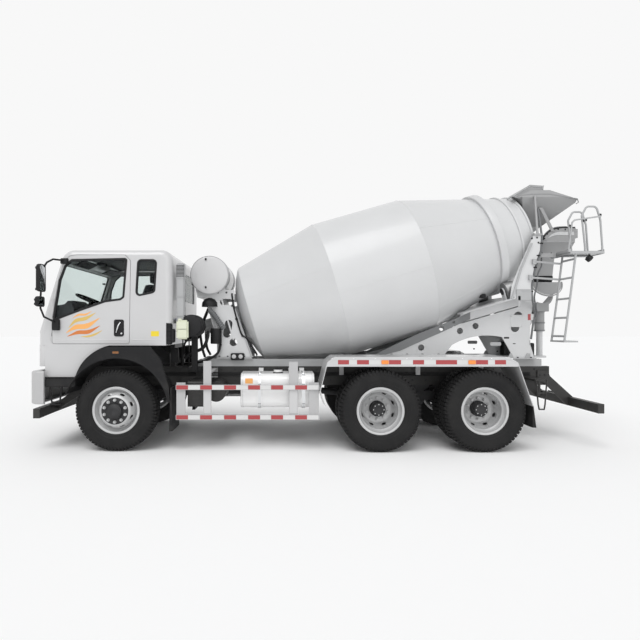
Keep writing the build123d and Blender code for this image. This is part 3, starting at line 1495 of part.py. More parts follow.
def crossed_views(side_view, front_view, inset):
    """Solid that fills both views, its walls drawn in by an inset."""
    reach = max(abs(y) for y, z in front_view) + 10
    with BuildPart(mode=Mode.PRIVATE) as solid:
        with BuildSketch(Plane.XZ.offset(-reach)) as from_side:
            with BuildLine():
                Polyline(*side_view, close=True)
            make_face()
            if inset:
                offset(amount=-inset, kind=Kind.INTERSECTION)
        extrude(from_side.sketch, amount=2 * reach)
        with BuildSketch(Plane.YZ.offset(2600)) as from_front:
            with BuildLine():
                Polyline(*front_view, close=True)
            make_face()
            if inset:
                offset(amount=-inset, kind=Kind.INTERSECTION)
        extrude(from_front.sketch, amount=1400, mode=Mode.INTERSECT)
    return solid.part


def both_sides(half_view):
    """Front view as right half and mirrored left half, each as (y, z) from the foot up."""
    return half_view + [(-y, z) for y, z in reversed(half_view)]


hopper_front = both_sides(
    [(HOPPER_THROAT_Y, 2700.0), (HOPPER_THROAT_Y, 3110.0), (HOPPER_Y, HOPPER_BEND_Z), (HOPPER_Y, 3700.0)]
)
with BuildPart() as charging_hopper:
    add(crossed_views(HOPPER_SKIN, hopper_front, 0))
    add(crossed_views(HOPPER_SKIN, hopper_front, HOPPER_T), mode=Mode.SUBTRACT)
    side_plate(HOPPER_RIM, HOPPER_Y + 20, -HOPPER_Y - 20, mode=Mode.INTERSECT)
    hood_low = [(x + 6, z - 7) for x, z in reversed(HOOD_EDGE)]
    side_plate(HOOD_EDGE + hood_low, HOOD_Y, -HOOD_Y)
    for side in (-1, 1):
        side_plate(
            [(2930, 3482), (2862, 3482), (2847, 3495), (2960, 3547), (2960, 3482)],
            max(side * (HOPPER_Y - HOPPER_T), side * HOPPER_Y),
            min(side * (HOPPER_Y - HOPPER_T), side * HOPPER_Y),
        )
        side_plate(
            HOOD_EDGE + [(3231, 3574), (3032, 3574), (2925, 3500), (2925, 3478), (2890, 3470)],
            max(side * HOOD_Y, side * (HOOD_Y - HOPPER_T)),
            min(side * HOOD_Y, side * (HOOD_Y - HOPPER_T)),
        )
        block(3185, 3231, side * (HOOD_Y - HOPPER_T), side * (HOPPER_Y - 2), 3560, 3576)
        bar_between((3040, side * (UPRIGHT_Y + 7), UPRIGHT_TOP + 18), (3085, side * (HOPPER_Y + 4), 3492), 16)
        foot_low = UPRIGHT_TOP + SEAT
        block(2985, 3085, side * (UPRIGHT_Y - 20), side * (UPRIGHT_Y + 34), foot_low, UPRIGHT_TOP + 24)
        block(3180, 3230, side * 396, side * (STRUT_Y + 10), 3325, 3345)
        side_plate(
            [(3180, 3345), (3230, 3345), (3402, 3000), (3352, 3000)],
            max(side * STRUT_Y, side * (STRUT_Y + 10)),
            min(side * STRUT_Y, side * (STRUT_Y + 10)),
        )
    with BuildSketch(drum_cross(MOUTH_ROOM_S[0])) as mouth_room:
        Circle(MOUTH_ROOM_R)
        Circle(MOUTH_R - 60, mode=Mode.SUBTRACT)
    extrude(mouth_room.sketch, amount=MOUTH_ROOM_S[1] - MOUTH_ROOM_S[0], mode=Mode.SUBTRACT)
keep("charging_hopper", charging_hopper)

# Discharge collector: open above and towards the mouth, with a flange along its arched edge
COLLECTOR_Y = 420.0
COLLECTOR_LOW = 2347.0
COLLECTOR_TOP = 3054.0
COLLECTOR_T = 8.0
COLLECTOR_SKIN = [
    (3212.0, 2250.0),
    (3212.0, 2452.0),
    (3080.0, 2560.0),
    (3080.0, 3200.0),
    (3725.0, 3200.0),
    (3706.0, 2880.0),
    (3691.0, 2736.0),
    (3518.0, 2640.0),
    (3518.0, 2250.0),
]
ARCH_BAND = 52.0
collector_front = both_sides(
    [(150.0, 2250.0), (150.0, 2360.0), (210.0, 2645.0), (COLLECTOR_Y, 2850.0), (COLLECTOR_Y, 3200.0)]
)
with BuildPart() as discharge_collector:
    add(crossed_views(COLLECTOR_SKIN, collector_front, 0))
    add(crossed_views(COLLECTOR_SKIN, collector_front, COLLECTOR_T), mode=Mode.SUBTRACT)
    with BuildSketch(Plane.XZ.offset(-COLLECTOR_Y - 20)):
        with BuildLine():
            lower_edge = Polyline((3790, COLLECTOR_LOW), (3190, COLLECTOR_LOW), (3215, 2650), (3244, 2880))
            arch_edge = ThreePointArc(lower_edge @ 1, (3345, 3010), (3520, COLLECTOR_TOP))
            Polyline(arch_edge @ 1, (3790, COLLECTOR_TOP), (3790, COLLECTOR_LOW))
        make_face()
    extrude(amount=2 * COLLECTOR_Y + 40, mode=Mode.INTERSECT)
    with BuildSketch(Plane.XZ.offset(STRUT_Y - SEAT - 18)) as arch_band:
        with BuildLine():
            outer_arch = ThreePointArc((3244, 2880), (3345, 3010), (3520, COLLECTOR_TOP))
            Line(outer_arch @ 1, (3700, COLLECTOR_TOP))
            Line((3700, COLLECTOR_TOP), (3700, COLLECTOR_TOP - ARCH_BAND))
            Line((3700, COLLECTOR_TOP - ARCH_BAND), (3540, COLLECTOR_TOP - ARCH_BAND))
            inner_arch = ThreePointArc((3540, COLLECTOR_TOP - ARCH_BAND), (3385, 2974), (3297, 2880))
            Line(inner_arch @ 1, (3244, 2880))
        make_face()
    extrude(arch_band.sketch, amount=18)
    with BuildSketch(Plane.XZ.offset(-STRUT_Y + SEAT)) as far_band:
        add(arch_band.sketch_local)
    extrude(far_band.sketch, amount=18)
    block(3700, 3786, -350, 350, 2924, 2932)
    for side in (-1, 1):
        block(3700, 3786, side * 342, side * 350, 2924, COLLECTOR_TOP)
        block(2995, 3275, side * (UPRIGHT_Y - 40), side * (UPRIGHT_Y - 12), 2600, 2656)
        block(2995, 3038, side * (UPRIGHT_Y - 14), side * (UPRIGHT_Y - SEAT), 2600, 2656)
        block(3235, 3275, side * 204, side * (UPRIGHT_Y - 15), 2640, 2656)
    block(3778, 3786, -350, 350, 2924, COLLECTOR_TOP)
keep("discharge_collector", discharge_collector)

# Swing chute on the post at the frame's tail, stowed to the right
CHUTE_PIVOT_R = 70.0
CHUTE_R = 235.0
CHUTE_T = 8.0
CHUTE_SLOPE = 28.0
CHUTE_LENGTH = 1150.0
CHUTE_HEAD_Y = -200.0
CHUTE_HEAD_Z = 2300.0
with BuildPart() as swing_chute:
    chute_dir = Vector(0, cos(radians(CHUTE_SLOPE)), -sin(radians(CHUTE_SLOPE)))
    chute_plane = Plane(origin=(POST_X, CHUTE_HEAD_Y, CHUTE_HEAD_Z), x_dir=(-1, 0, 0), z_dir=chute_dir)
    with BuildSketch(Plane.XY.offset(1560)):
        with Locations((POST_X, 0)):
            Circle(CHUTE_PIVOT_R)
    extrude(amount=POST_TOP + 20 - 1560)
    block(POST_X - 90, POST_X + 90, -110, 110, POST_TOP + 10, POST_TOP + 220)
    with BuildSketch(chute_plane) as trough_body:
        Circle(CHUTE_R)
        with Locations((0, CHUTE_R / 2)):
            Rectangle(2 * CHUTE_R, CHUTE_R, mode=Mode.SUBTRACT)
    extrude(trough_body.sketch, amount=CHUTE_LENGTH)
    with BuildSketch(chute_plane.offset(-150)) as trough_hollow:
        Circle(CHUTE_R - CHUTE_T)
    extrude(trough_hollow.sketch, amount=CHUTE_LENGTH + 300, mode=Mode.SUBTRACT)
    with BuildSketch(Plane.XY.offset(1560)):
        with Locations((POST_X, 0)):
            Circle(POST_R + RUN)
    extrude(amount=POST_TOP + 1 - 1560, mode=Mode.SUBTRACT)
keep("swing_chute", swing_chute)

# Ladder with its platform, loops and stays at the left rear
LADDER_NEAR = -950.0
LADDER_FAR = -620.0
PLATFORM_Z = 2637.0
PLATFORM_X = (3330.0, 3793.0)
PLATFORM_T = 20.0
POST_FOOT = 60.0
LOOP_REAR = PLATFORM_X[1] - 22.0
LADDER_LOW = 1430.0
LADDER_LEAN = 0.133
STAYS = [(2290.0, 2928.0), (2510.0, 2978.0)]
with BuildPart() as ladder:
    for rail_y in (LADDER_NEAR, LADDER_FAR):
        bent_tube([(3262, rail_y, 1430), (3340, rail_y, 2010), (3418.5, rail_y, PLATFORM_Z - 9)], [900], 14)
    for rung_z in (1500, 1750, 2010, 2290, 2540):
        rung_x = 3262 + (rung_z - LADDER_LOW) * LADDER_LEAN
        bar_between((rung_x, LADDER_NEAR, rung_z), (rung_x, LADDER_FAR, rung_z), 12)
    block(3250, 3440, LADDER_NEAR - 12, LADDER_FAR + 12, 1418, 1440)
    block(*PLATFORM_X, LADDER_NEAR - 12, LADDER_FAR + 12, PLATFORM_Z - PLATFORM_T, PLATFORM_Z)
    for rail_y in (LADDER_NEAR, LADDER_FAR):
        bent_tube(
            [
                (3540, rail_y, PLATFORM_Z - 5),
                (3540, rail_y, PLATFORM_Z + POST_FOOT),
                (3495, rail_y, 3120),
                (3560, rail_y, 3240),
                (3690, rail_y, 3240),
                (3745, rail_y, 3060),
                (LOOP_REAR, rail_y, PLATFORM_Z + POST_FOOT),
                (LOOP_REAR, rail_y, PLATFORM_Z - 5),
            ],
            [200, 50, 50, 60, 120, 200],
            13,
        )
    for stay_z, plate_x in STAYS:
        stay_x = 3262 + (stay_z - LADDER_LOW) * LADDER_LEAN
        plate_y = -UPRIGHT_Y - PLATE
        bar_between((stay_x, LADDER_FAR, stay_z), (plate_x, plate_y - 38, stay_z + 20), 14)
        block(plate_x - 23, plate_x + 23, plate_y - 46, plate_y - SEAT, stay_z - 15, stay_z + 55)
keep("ladder", ladder)

# Rear underrun guard below the frame's tail
BAR_X = (3589.0, 3669.0)
BAR_Z = (500.0, 620.0)
TAIL_LAMP_Y = (760.0, 1120.0)
TAIL_LAMP_Z = (515.0, 605.0)
TAIL_LAMP_DEPTH = 18.0
with BuildPart() as rear_underrun_guard:
    for side in (-1, 1):
        side_plate(
            [
                (3150, 1000),
                (3300, 1000),
                (3330, 920),
                (BAR_X[1] - 10, BAR_Z[1]),
                (BAR_X[1] - 10, BAR_Z[0]),
                (BAR_X[0] - 20, BAR_Z[0] + 5),
                (3240, 830),
                (3150, 850),
            ],
            max(side * (RAIL_Y + SEAT), side * (RAIL_Y + 24)),
            min(side * (RAIL_Y + SEAT), side * (RAIL_Y + 24)),
        )
    block(*BAR_X, -1150, 1150, *BAR_Z)
    for side in (-1, 1):
        near, far = [side * y for y in TAIL_LAMP_Y]
        block(BAR_X[1] - TAIL_LAMP_DEPTH, BAR_X[1] + 1, near, far, *TAIL_LAMP_Z, mode=Mode.SUBTRACT)
with BuildPart() as underrun_guards:
    add(front_underrun_bar.part)
    add(rear_underrun_guard.part)
keep("underrun_guards", underrun_guards)

with BuildPart() as tail_lamps:
    for side in (-1, 1):
        block(
            BAR_X[1] - TAIL_LAMP_DEPTH + SEAT,
            BAR_X[1] + 7,
            side * (TAIL_LAMP_Y[0] + SEAT),
            side * (TAIL_LAMP_Y[1] - SEAT),
            TAIL_LAMP_Z[0] + SEAT,
            TAIL_LAMP_Z[1] - SEAT,
        )
with BuildPart() as lamps:
    add(headlamps.part)
    add(tail_lamps.part)
keep("lamps", lamps)

# Intake: snorkel behind the cab, air cleaner and hose
with BuildPart() as air_intake:
    block(-1940, -1830, -960, -860, 1520, 2480)
    rod_y(-1750, 1640, -960, -560, 150)
    block(-1890, -1750, -940, -880, 1540, 1640)
    block(-1850, -1650, -620, -RAIL_Y - SEAT, 1000, 1060 - SEAT)
    block(-1790, -1710, -640, -560, 1000, 1640)
keep("air_intake", air_intake)

with BuildPart() as coolant_reservoir:
    block(-1960, -1840, -520, -380, 1440, 1720)
    block(-1950, -1850, -480, -RAIL_Y + 5, RAIL_TOP + SEAT, 1440)
keep("coolant_reservoir", coolant_reservoir)

# Cables clipped behind the left upright, along the collector's arch and under the platform
CABLE_Y = -UPRIGHT_Y - PLATE / 2
BESIDE_Y = CABLE_Y + 26.0
ARCH_CABLE_Y = -COLLECTOR_Y + 6.0
PLATE_Y = -PEDESTAL_Y + PLATE / 2
PLATFORM_LOW = PLATFORM_Z - PLATFORM_T
CABLES = [
    (
        "hopper hose",
        14.0,
        [
            (3104, -559, 3300),
            (3101, CABLE_Y, 2890),
            (3093, CABLE_Y, 2690),
            (3008, CABLE_Y, 2445),
            (2961, CABLE_Y, 2205),
            (2961, CABLE_Y, 2040),
            (3114, PLATE_Y, 1850),
            (3060, PLATE_Y, 1450),
        ],
        [300, 300, 500, 500, 150, 100],
    ),
    (
        "collector lead",
        11.0,
        [
            (3585, ARCH_CABLE_Y, 3070.3),
            (3251.8, ARCH_CABLE_Y, 3058.7),
            (3209.8, ARCH_CABLE_Y, 2760),
            (3182, -500, 2660),
            (3110, BESIDE_Y, 2480),
            (3052, BESIDE_Y, 2360),
            (3050, BESIDE_Y, 2215),
            (3003, BESIDE_Y, 2045),
            (3144, PLATE_Y, 1850),
            (3130, PLATE_Y, 1760),
        ],
        [276.3, 80, 80, 80, 200, 200, 100, 60],
    ),
    (
        "lamp lead",
        8.0,
        [
            (3690, -760, PLATFORM_LOW - 8 - SEAT),
            (3380, -760, PLATFORM_LOW - 8 - SEAT),
            (3300, -650, 2591),
            (3240, -645, 2591),
        ],
        [80, 60],
    ),
]
with BuildPart() as rear_cables:
    for cable_name, cable_r, route, bends in CABLES:
        with BuildLine(mode=Mode.PRIVATE) as cable_path:
            FilletPolyline(*route, radius=bends)
        before = rear_cables.part.volume if rear_cables.part else 0
        bent_tube(route, bends, cable_r)
        swept = rear_cables.part.volume - before
        length = sum(edge.length for edge in cable_path.edges())
        share = swept / (pi * cable_r**2 * length)
        print(cable_name, "length", round(length), "bend radii", bends, "volume share", round(share, 4))
keep("rear_cables", rear_cables)

box = Compound(children=list(finished.values())).bounding_box()
print("box", box.min, box.max, "nodes", len(finished))
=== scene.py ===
"""Dressed concrete mixer truck: camera, studio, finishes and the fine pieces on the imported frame."""
import math

import bmesh
import bpy
from mathutils import Matrix, Vector
from mathutils.geometry import tessellate_polygon


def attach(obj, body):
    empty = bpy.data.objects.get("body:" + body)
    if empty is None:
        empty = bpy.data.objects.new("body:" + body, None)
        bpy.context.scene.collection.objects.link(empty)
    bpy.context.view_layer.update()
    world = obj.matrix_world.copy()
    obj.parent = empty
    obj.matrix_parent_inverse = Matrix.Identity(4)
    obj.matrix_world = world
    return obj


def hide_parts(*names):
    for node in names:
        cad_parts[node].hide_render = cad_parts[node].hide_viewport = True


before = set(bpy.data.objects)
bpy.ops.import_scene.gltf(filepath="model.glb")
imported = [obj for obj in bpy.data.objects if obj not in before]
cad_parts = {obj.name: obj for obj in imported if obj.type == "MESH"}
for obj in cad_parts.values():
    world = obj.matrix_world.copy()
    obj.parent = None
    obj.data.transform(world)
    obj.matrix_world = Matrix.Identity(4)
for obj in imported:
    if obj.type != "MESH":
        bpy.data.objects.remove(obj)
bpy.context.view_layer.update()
UNIT = 0.001
# The drawing's datum lies this far behind the middle of the truck's length
DATUM = Vector((19.0, 0.0, 0.0))

# Camera at the photograph's place, square to the truck's side
PRINCIPAL = (280.0, 328.0)
FRAME_PX = 640.0
SENSOR = 36.0
FOCAL_PX = 520.6
CAMERA_PLACE = (-0.531, -7.93, 1.611)
camera_data = bpy.data.cameras.new("side_camera")
camera_data.sensor_width = SENSOR
camera_data.lens = FOCAL_PX / FRAME_PX * SENSOR
camera_data.shift_x = (FRAME_PX / 2 - PRINCIPAL[0]) / FRAME_PX
camera_data.shift_y = (PRINCIPAL[1] - FRAME_PX / 2) / FRAME_PX
camera = bpy.data.objects.new("side_camera", camera_data)
camera.location = CAMERA_PLACE
camera.rotation_euler = (math.pi / 2, 0, 0)
bpy.context.scene.collection.objects.link(camera)
bpy.context.scene.camera = camera
bpy.context.scene.view_settings.view_transform = "Standard"


class Nodes:
    """A node tree, with a short way to add a node to it."""

    def __init__(self, tree):
        self.tree = tree

    def node(self, kind, settings=None, sockets=None):
        """New node: its settings first, then the values or links of its sockets."""
        made = self.tree.nodes.new(kind)
        for key, value in (settings or {}).items():
            setattr(made, key, value)
        for key, value in (sockets or {}).items():
            self.feed(made, key, value)
        return made

    def feed(self, made, key, value):
        """Set or link one socket."""
        if isinstance(value, Field):
            value = value.socket
        if isinstance(value, bpy.types.NodeSocket):
            self.tree.links.new(value, made.inputs[key])
        else:
            made.inputs[key].default_value = value


class Field:
    """A value in a material's nodes that takes part in sums."""

    def __init__(self, finish, socket):
        self.finish = finish
        self.socket = socket

    def maths(self, operation, other=0.0, swapped=False):
        first, second = (other, self) if swapped else (self, other)
        return self.finish.field("ShaderNodeMath", {"operation": operation}, {0: first, 1: second})

    def __add__(self, other):
        return self.maths("ADD", other)

    def __sub__(self, other):
        return self.maths("SUBTRACT", other)

    def __rsub__(self, other):
        return self.maths("SUBTRACT", other, True)

    def __mul__(self, other):
        return self.maths("MULTIPLY", other)

    def limited(self, low, high):
        """Runs from 0 at low to 1 at high and stays within them."""
        ends = {1: low, 2: high, 3: 0.0, 4: 1.0}
        return self.finish.field("ShaderNodeMapRange", {"clamp": True}, {0: self, **ends})

    __radd__ = __add__
    __rmul__ = __mul__


class Finish(Nodes):
    """A material under construction, with one surface shader."""

    def __init__(self, name, **surface):
        self.material = bpy.data.materials.new(name)
        self.material.use_nodes = True
        super().__init__(self.material.node_tree)
        self.tree.nodes.clear()
        self.surface = self.node("ShaderNodeBsdfPrincipled", {}, surface)
        output = self.node("ShaderNodeOutputMaterial")
        self.tree.links.new(self.surface.outputs[0], output.inputs[0])
        self.place = self.node("ShaderNodeTexCoord").outputs["Object"]

    def field(self, kind, settings=None, sockets=None, output=0):
        """First output, or another, of a new node."""
        return Field(self, self.node(kind, settings, sockets).outputs[output])

    def axis(self, letter):
        """One object coordinate in metres."""
        return self.field("ShaderNodeSeparateXYZ", {}, {0: self.place}, "XYZ".index(letter))

    def noise(self, scale, detail=3.0, rough=0.5, stretch=(1, 1, 1)):
        """Soft cloud between 0 and 1, in object coordinates."""
        spot = self.node("ShaderNodeMapping", {}, {"Vector": self.place, "Scale": stretch}).outputs[0]
        sockets = {"Vector": spot, "Scale": scale, "Detail": detail, "Roughness": rough}
        return self.field("ShaderNodeTexNoise", {}, sockets, 0)

    def blend(self, amount, first, second):
        """Colour that goes from first to second."""
        made = self.node("ShaderNodeMix", {"data_type": "RGBA"}, {0: amount})
        for key, value in ((6, first), (7, second)):
            self.feed(made, key, value if isinstance(value, Field) else (*value, 1.0))
        return Field(self, made.outputs[2])

    def bump(self, height, strength, distance=0.001):
        """Relief from a height field."""
        sockets = {"Height": height, "Strength": strength, "Distance": distance}
        self.feed(self.surface, "Normal", self.field("ShaderNodeBump", {}, sockets))

    def set(self, **sockets):
        """Feed named sockets of the surface; underscores stand for spaces."""
        for key, value in sockets.items():
            self.feed(self.surface, key.replace("_", " "), value)
        return self


GREY_DUST = (0.36, 0.34, 0.31)


def painted(name, colour, rough=0.28, coat=0.5, dust=0.10, peel=0.05, metal=0.0):
    """Sprayed paint: orange peel, faint clouding, and road dust towards the ground."""
    finish = Finish(name, **{"Metallic": metal, "Coat Weight": coat, "Coat Roughness": 0.12})
    clouds = finish.noise(2.4, 4.0)
    low_down = 1.0 - finish.axis("Z").limited(0.25, 1.9)
    film = finish.noise(9.0, 5.0, 0.6, (0.6, 1, 1.7)) * low_down * dust
    shade = tuple(c * 0.93 for c in colour)
    body = finish.blend(clouds.limited(0.35, 0.75) * 0.5, colour, shade)
    finish.set(Base_Color=finish.blend(film, body, GREY_DUST), Roughness=film * 0.8 + rough)
    finish.bump(finish.noise(420.0, 1.0), peel, 0.0006)
    return finish.material


def worn_steel(name, colour, rough=0.5, metal=0.85, scratch=0.25):
    """Bare or oiled metal with streaks and stains."""
    finish = Finish(name, Metallic=metal)
    stains = finish.noise(7.0, 6.0, 0.65)
    streaks = finish.noise(60.0, 3.0, 0.5, (0.08, 1, 1))
    dark = tuple(c * 0.55 for c in colour)
    finish.set(
        Base_Color=finish.blend(stains.limited(0.3, 0.8), colour, dark),
        Roughness=stains * 0.3 + streaks * scratch + rough - 0.2,
    )
    finish.bump(streaks + stains, 0.18, 0.001)
    return finish.material


def moulded(name, colour, rough=0.55, grain=0.35, dust=0.25):
    """Moulded plastic or rubber with a fine leather grain and a little dust."""
    finish = Finish(name, **{"Roughness": rough, "Specular IOR Level": 0.3})
    grains = finish.field(
        "ShaderNodeTexVoronoi", {"feature": "F1"}, {"Vector": finish.place, "Scale": 520.0}, 0
    )
    clouds = finish.noise(5.0, 5.0, 0.6)
    low_down = 1.0 - finish.axis("Z").limited(0.1, 1.6)
    film = clouds.limited(0.45, 0.85) * low_down * dust
    finish.set(Base_Color=finish.blend(film, colour, GREY_DUST), Roughness=clouds * 0.15 + rough - 0.07)
    finish.bump(grains + clouds * 0.5, grain, 0.0007)
    return finish.material


def tape(name, colour):
    """Retroreflective tape: small cells under a clear film."""
    finish = Finish(name, **{"Roughness": 0.25, "Coat Weight": 0.6, "Coat Roughness": 0.06})
    cells = finish.field(
        "ShaderNodeTexVoronoi", {"feature": "DISTANCE_TO_EDGE"}, {"Vector": finish.place, "Scale": 190.0}, 0
    )
    walls = 1.0 - cells.limited(0.02, 0.09)
    pale = tuple(min(1.0, c * 1.15 + 0.03) for c in colour)
    finish.set(Base_Color=finish.blend(walls * 0.35, colour, pale))
    finish.bump(walls, 0.15, 0.0006)
    return finish.material


def lens(name, colour, glow=0.0):
    """Ribbed lamp lens."""
    finish = Finish(
        name, **{"Roughness": 0.08, "Coat Weight": 0.8, "Coat Roughness": 0.03, "Emission Strength": glow}
    )
    ribs = finish.field(
        "ShaderNodeTexWave", {"bands_direction": "Z"}, {"Vector": finish.place, "Scale": 38.0}, 1
    )
    deep = tuple(c * 0.55 for c in colour)
    finish.set(Base_Color=finish.blend(ribs, deep, colour), Emission_Color=(*colour, 1.0))
    finish.bump(ribs, 0.4, 0.002)
    return finish.material


def clear_glass(name, tint):
    """Flat pane with a slight tint."""
    finish = Finish(
        name, **{"Transmission Weight": 1.0, "IOR": 1.12, "Roughness": 0.0, "Specular IOR Level": 0.6}
    )
    smear = finish.noise(3.0, 2.0)
    finish.set(Base_Color=finish.blend(smear * 0.15, tint, (0.93, 0.95, 0.95)))
    return finish.material


def polished(name, colour, rough=0.12):
    """Bright metal: plating, mirror glass or polished track."""
    finish = Finish(name, Metallic=1.0)
    haze = finish.noise(40.0, 3.0, 0.6, (1, 0.3, 1))
    finish.set(
        Base_Color=finish.blend(haze * 0.2, colour, tuple(c * 0.8 for c in colour)),
        Roughness=haze * 0.12 + rough,
    )
    return finish.material


def tyre_rubber(name):
    """Tyre compound: grey bloom on the walls, cleaner on the tread."""
    finish = Finish(name, **{"Roughness": 0.78, "Specular IOR Level": 0.25})
    bloom = finish.noise(6.0, 6.0, 0.62)
    fine = finish.noise(180.0, 4.0, 0.7)
    low_down = 1.0 - finish.axis("Z").limited(0.0, 1.1)
    film = bloom.limited(0.38, 0.8) * 0.10 + low_down * 0.03
    finish.set(
        Base_Color=finish.blend(film, (0.008, 0.008, 0.0085), (0.11, 0.106, 0.10)),
        Roughness=bloom * 0.2 + 0.62,
    )
    finish.bump(fine + bloom * 0.4, 0.3, 0.0012)
    return finish.material


def seat_cloth(name):
    """Woven seat cover: two crossed threads and a soft sheen."""
    finish = Finish(name, **{"Roughness": 0.9, "Sheen Weight": 0.35})
    threads = []
    for direction in ("X", "Z"):
        sockets = {"Vector": finish.place, "Scale": 160.0}
        threads.append(finish.field("ShaderNodeTexWave", {"bands_direction": direction}, sockets, 1))
    weave = threads[0] * threads[1]
    finish.set(Base_Color=finish.blend(weave, (0.035, 0.036, 0.04), (0.085, 0.087, 0.095)))
    finish.bump(weave, 0.5, 0.0015)
    return finish.material


look = {
    "white": painted("cab_white", (0.56, 0.56, 0.565), dust=0.06),
    "bright_white": painted("tank_white", (0.80, 0.80, 0.80), dust=0.04),
    "low_white": painted("guard_white", (0.46, 0.46, 0.465), rough=0.4, coat=0.2, dust=0.12),
    "drum": painted("drum_white", (0.60, 0.605, 0.61), rough=0.36, coat=0.25, dust=0.12, peel=0.08),
    "grey": painted("frame_grey", (0.40, 0.405, 0.41), rough=0.4, coat=0.15, dust=0.2),
    "pale_grey": painted("pedestal_grey", (0.62, 0.625, 0.63), rough=0.4, coat=0.15, dust=0.1),
    "mid_grey": painted("hopper_grey", (0.34, 0.342, 0.345), rough=0.45, coat=0.1, dust=0.1),
    "low_grey": painted("arch_grey", (0.26, 0.262, 0.265), rough=0.5, coat=0.0, dust=0.1),
    # Dark grey for dark parts, and painted shade on the rear pedestal's upper strip
    "dark_grey_and_shade": painted("shade_grey", (0.20, 0.205, 0.21), rough=0.5, coat=0.0, dust=0.1),
    "ring_paint": painted("ring_grey", (0.58, 0.585, 0.59), rough=0.4, coat=0.15, dust=0.1),
    "black": painted("chassis_black", (0.007, 0.007, 0.0075), rough=0.5, coat=0.05, dust=0.12),
    "steel": worn_steel("dark_steel", (0.045, 0.045, 0.047), 0.55, 0.5),
    "rim": painted("wheel_silver", (0.52, 0.525, 0.53), rough=0.36, coat=0.3, dust=0.2, metal=0.25),
    "track": worn_steel("track_steel", (0.42, 0.42, 0.42), 0.38, 0.9),
    "plastic": moulded("black_plastic", (0.009, 0.009, 0.010), dust=0.08),
    "flap": moulded("flap_rubber", (0.010, 0.010, 0.011), 0.75, 0.4, 0.15),
    "interior": moulded("cab_lining", (0.055, 0.055, 0.06), 0.6, 0.4, 0.0),
    "rubber": moulded("seal_rubber", (0.012, 0.012, 0.013), 0.6, 0.2, 0.1),
    "tyre": tyre_rubber("tyre_rubber"),
    "glass": clear_glass("window_glass", (0.80, 0.85, 0.84)),
    "clear_glass": clear_glass("lamp_cover", (0.95, 0.96, 0.96)),
    "mirror": polished("mirror_glass", (0.85, 0.87, 0.88), 0.02),
    "chrome": polished("bright_plating", (0.78, 0.79, 0.80), 0.08),
    "red_tape": tape("red_tape", (0.36, 0.032, 0.036)),
    "white_tape": tape("white_tape", (0.62, 0.62, 0.615)),
    "orange_lens": lens("orange_lens", (0.95, 0.28, 0.03), 0.15),
    "amber_lens": lens("amber_lens", (0.30, 0.11, 0.02)),
    "red_lens": lens("red_lens", (0.62, 0.02, 0.02), 0.1),
    "clear_lens": lens("clear_lens", (0.75, 0.77, 0.78)),
    "yellow": moulded("label_yellow", (0.80, 0.62, 0.05), 0.5, 0.1, 0.0),
    "flame": moulded("label_flame", (0.62, 0.20, 0.06), 0.5, 0.1, 0.0),
    "gold": moulded("label_gold", (0.66, 0.46, 0.14), 0.5, 0.1, 0.0),
    "orange": moulded("label_orange", (0.85, 0.42, 0.14), 0.5, 0.1, 0.0),
    "blue": moulded("cap_blue", (0.03, 0.12, 0.45), 0.45, 0.1, 0.0),
    "reservoir": moulded("tank_plastic", (0.68, 0.70, 0.56), 0.45, 0.1, 0.0),
    "seat": seat_cloth("seat_cloth"),
    "hose": moulded("hose_grey", (0.16, 0.165, 0.17), 0.5, 0.3, 0.1),
}

# Solids that stay as they are, by finish; tyres and rims are told by their names
SOLID_LOOKS = {
    "black": ["air_tanks_and_battery", "cab_mounts", "cross_members", "frame_rails", "front_axle",
              "underrun_guards"],
    "bright_white": ["fuel_tank"],
    "drum": ["drum"],
    "flap": ["mudguards_and_flaps"],
    "glass": ["cab_glass", "door_glass_left", "door_glass_right"],
    "grey": ["drum_gearbox", "ladder", "subframe_rails"],
    "hose": ["rear_cables"],
    "interior": ["dashboard", "steering_wheel"],
    "low_white": ["front_bumper", "side_guards"],
    "mid_grey": ["air_intake", "charging_hopper", "discharge_collector", "swing_chute"],
    "pale_grey": ["front_pedestal", "rear_pedestal"],
    "plastic": ["coolant_reservoir", "mirror_left", "mirror_right"],
    "red_lens": ["lamps"],
    "seat": ["seats"],
    "steel": [
        "driveline", "engine_and_radiator", "knuckle_left", "knuckle_right", "leaf_springs", "rear_axles",
        "silencer",
    ],
    "track": ["roller_left", "roller_right"],
    "white": ["cab_shell", "door_left", "door_right", "front_panel", "rear_fenders", "water_tank"],
}
look_of = {node: finish for finish, names in SOLID_LOOKS.items() for node in names}
for node_name, node_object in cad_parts.items():
    chosen = look_of.get(node_name, "tyre" if "tyre" in node_name else "rim")
    node_object.data.materials.clear()
    node_object.data.materials.append(look[chosen])


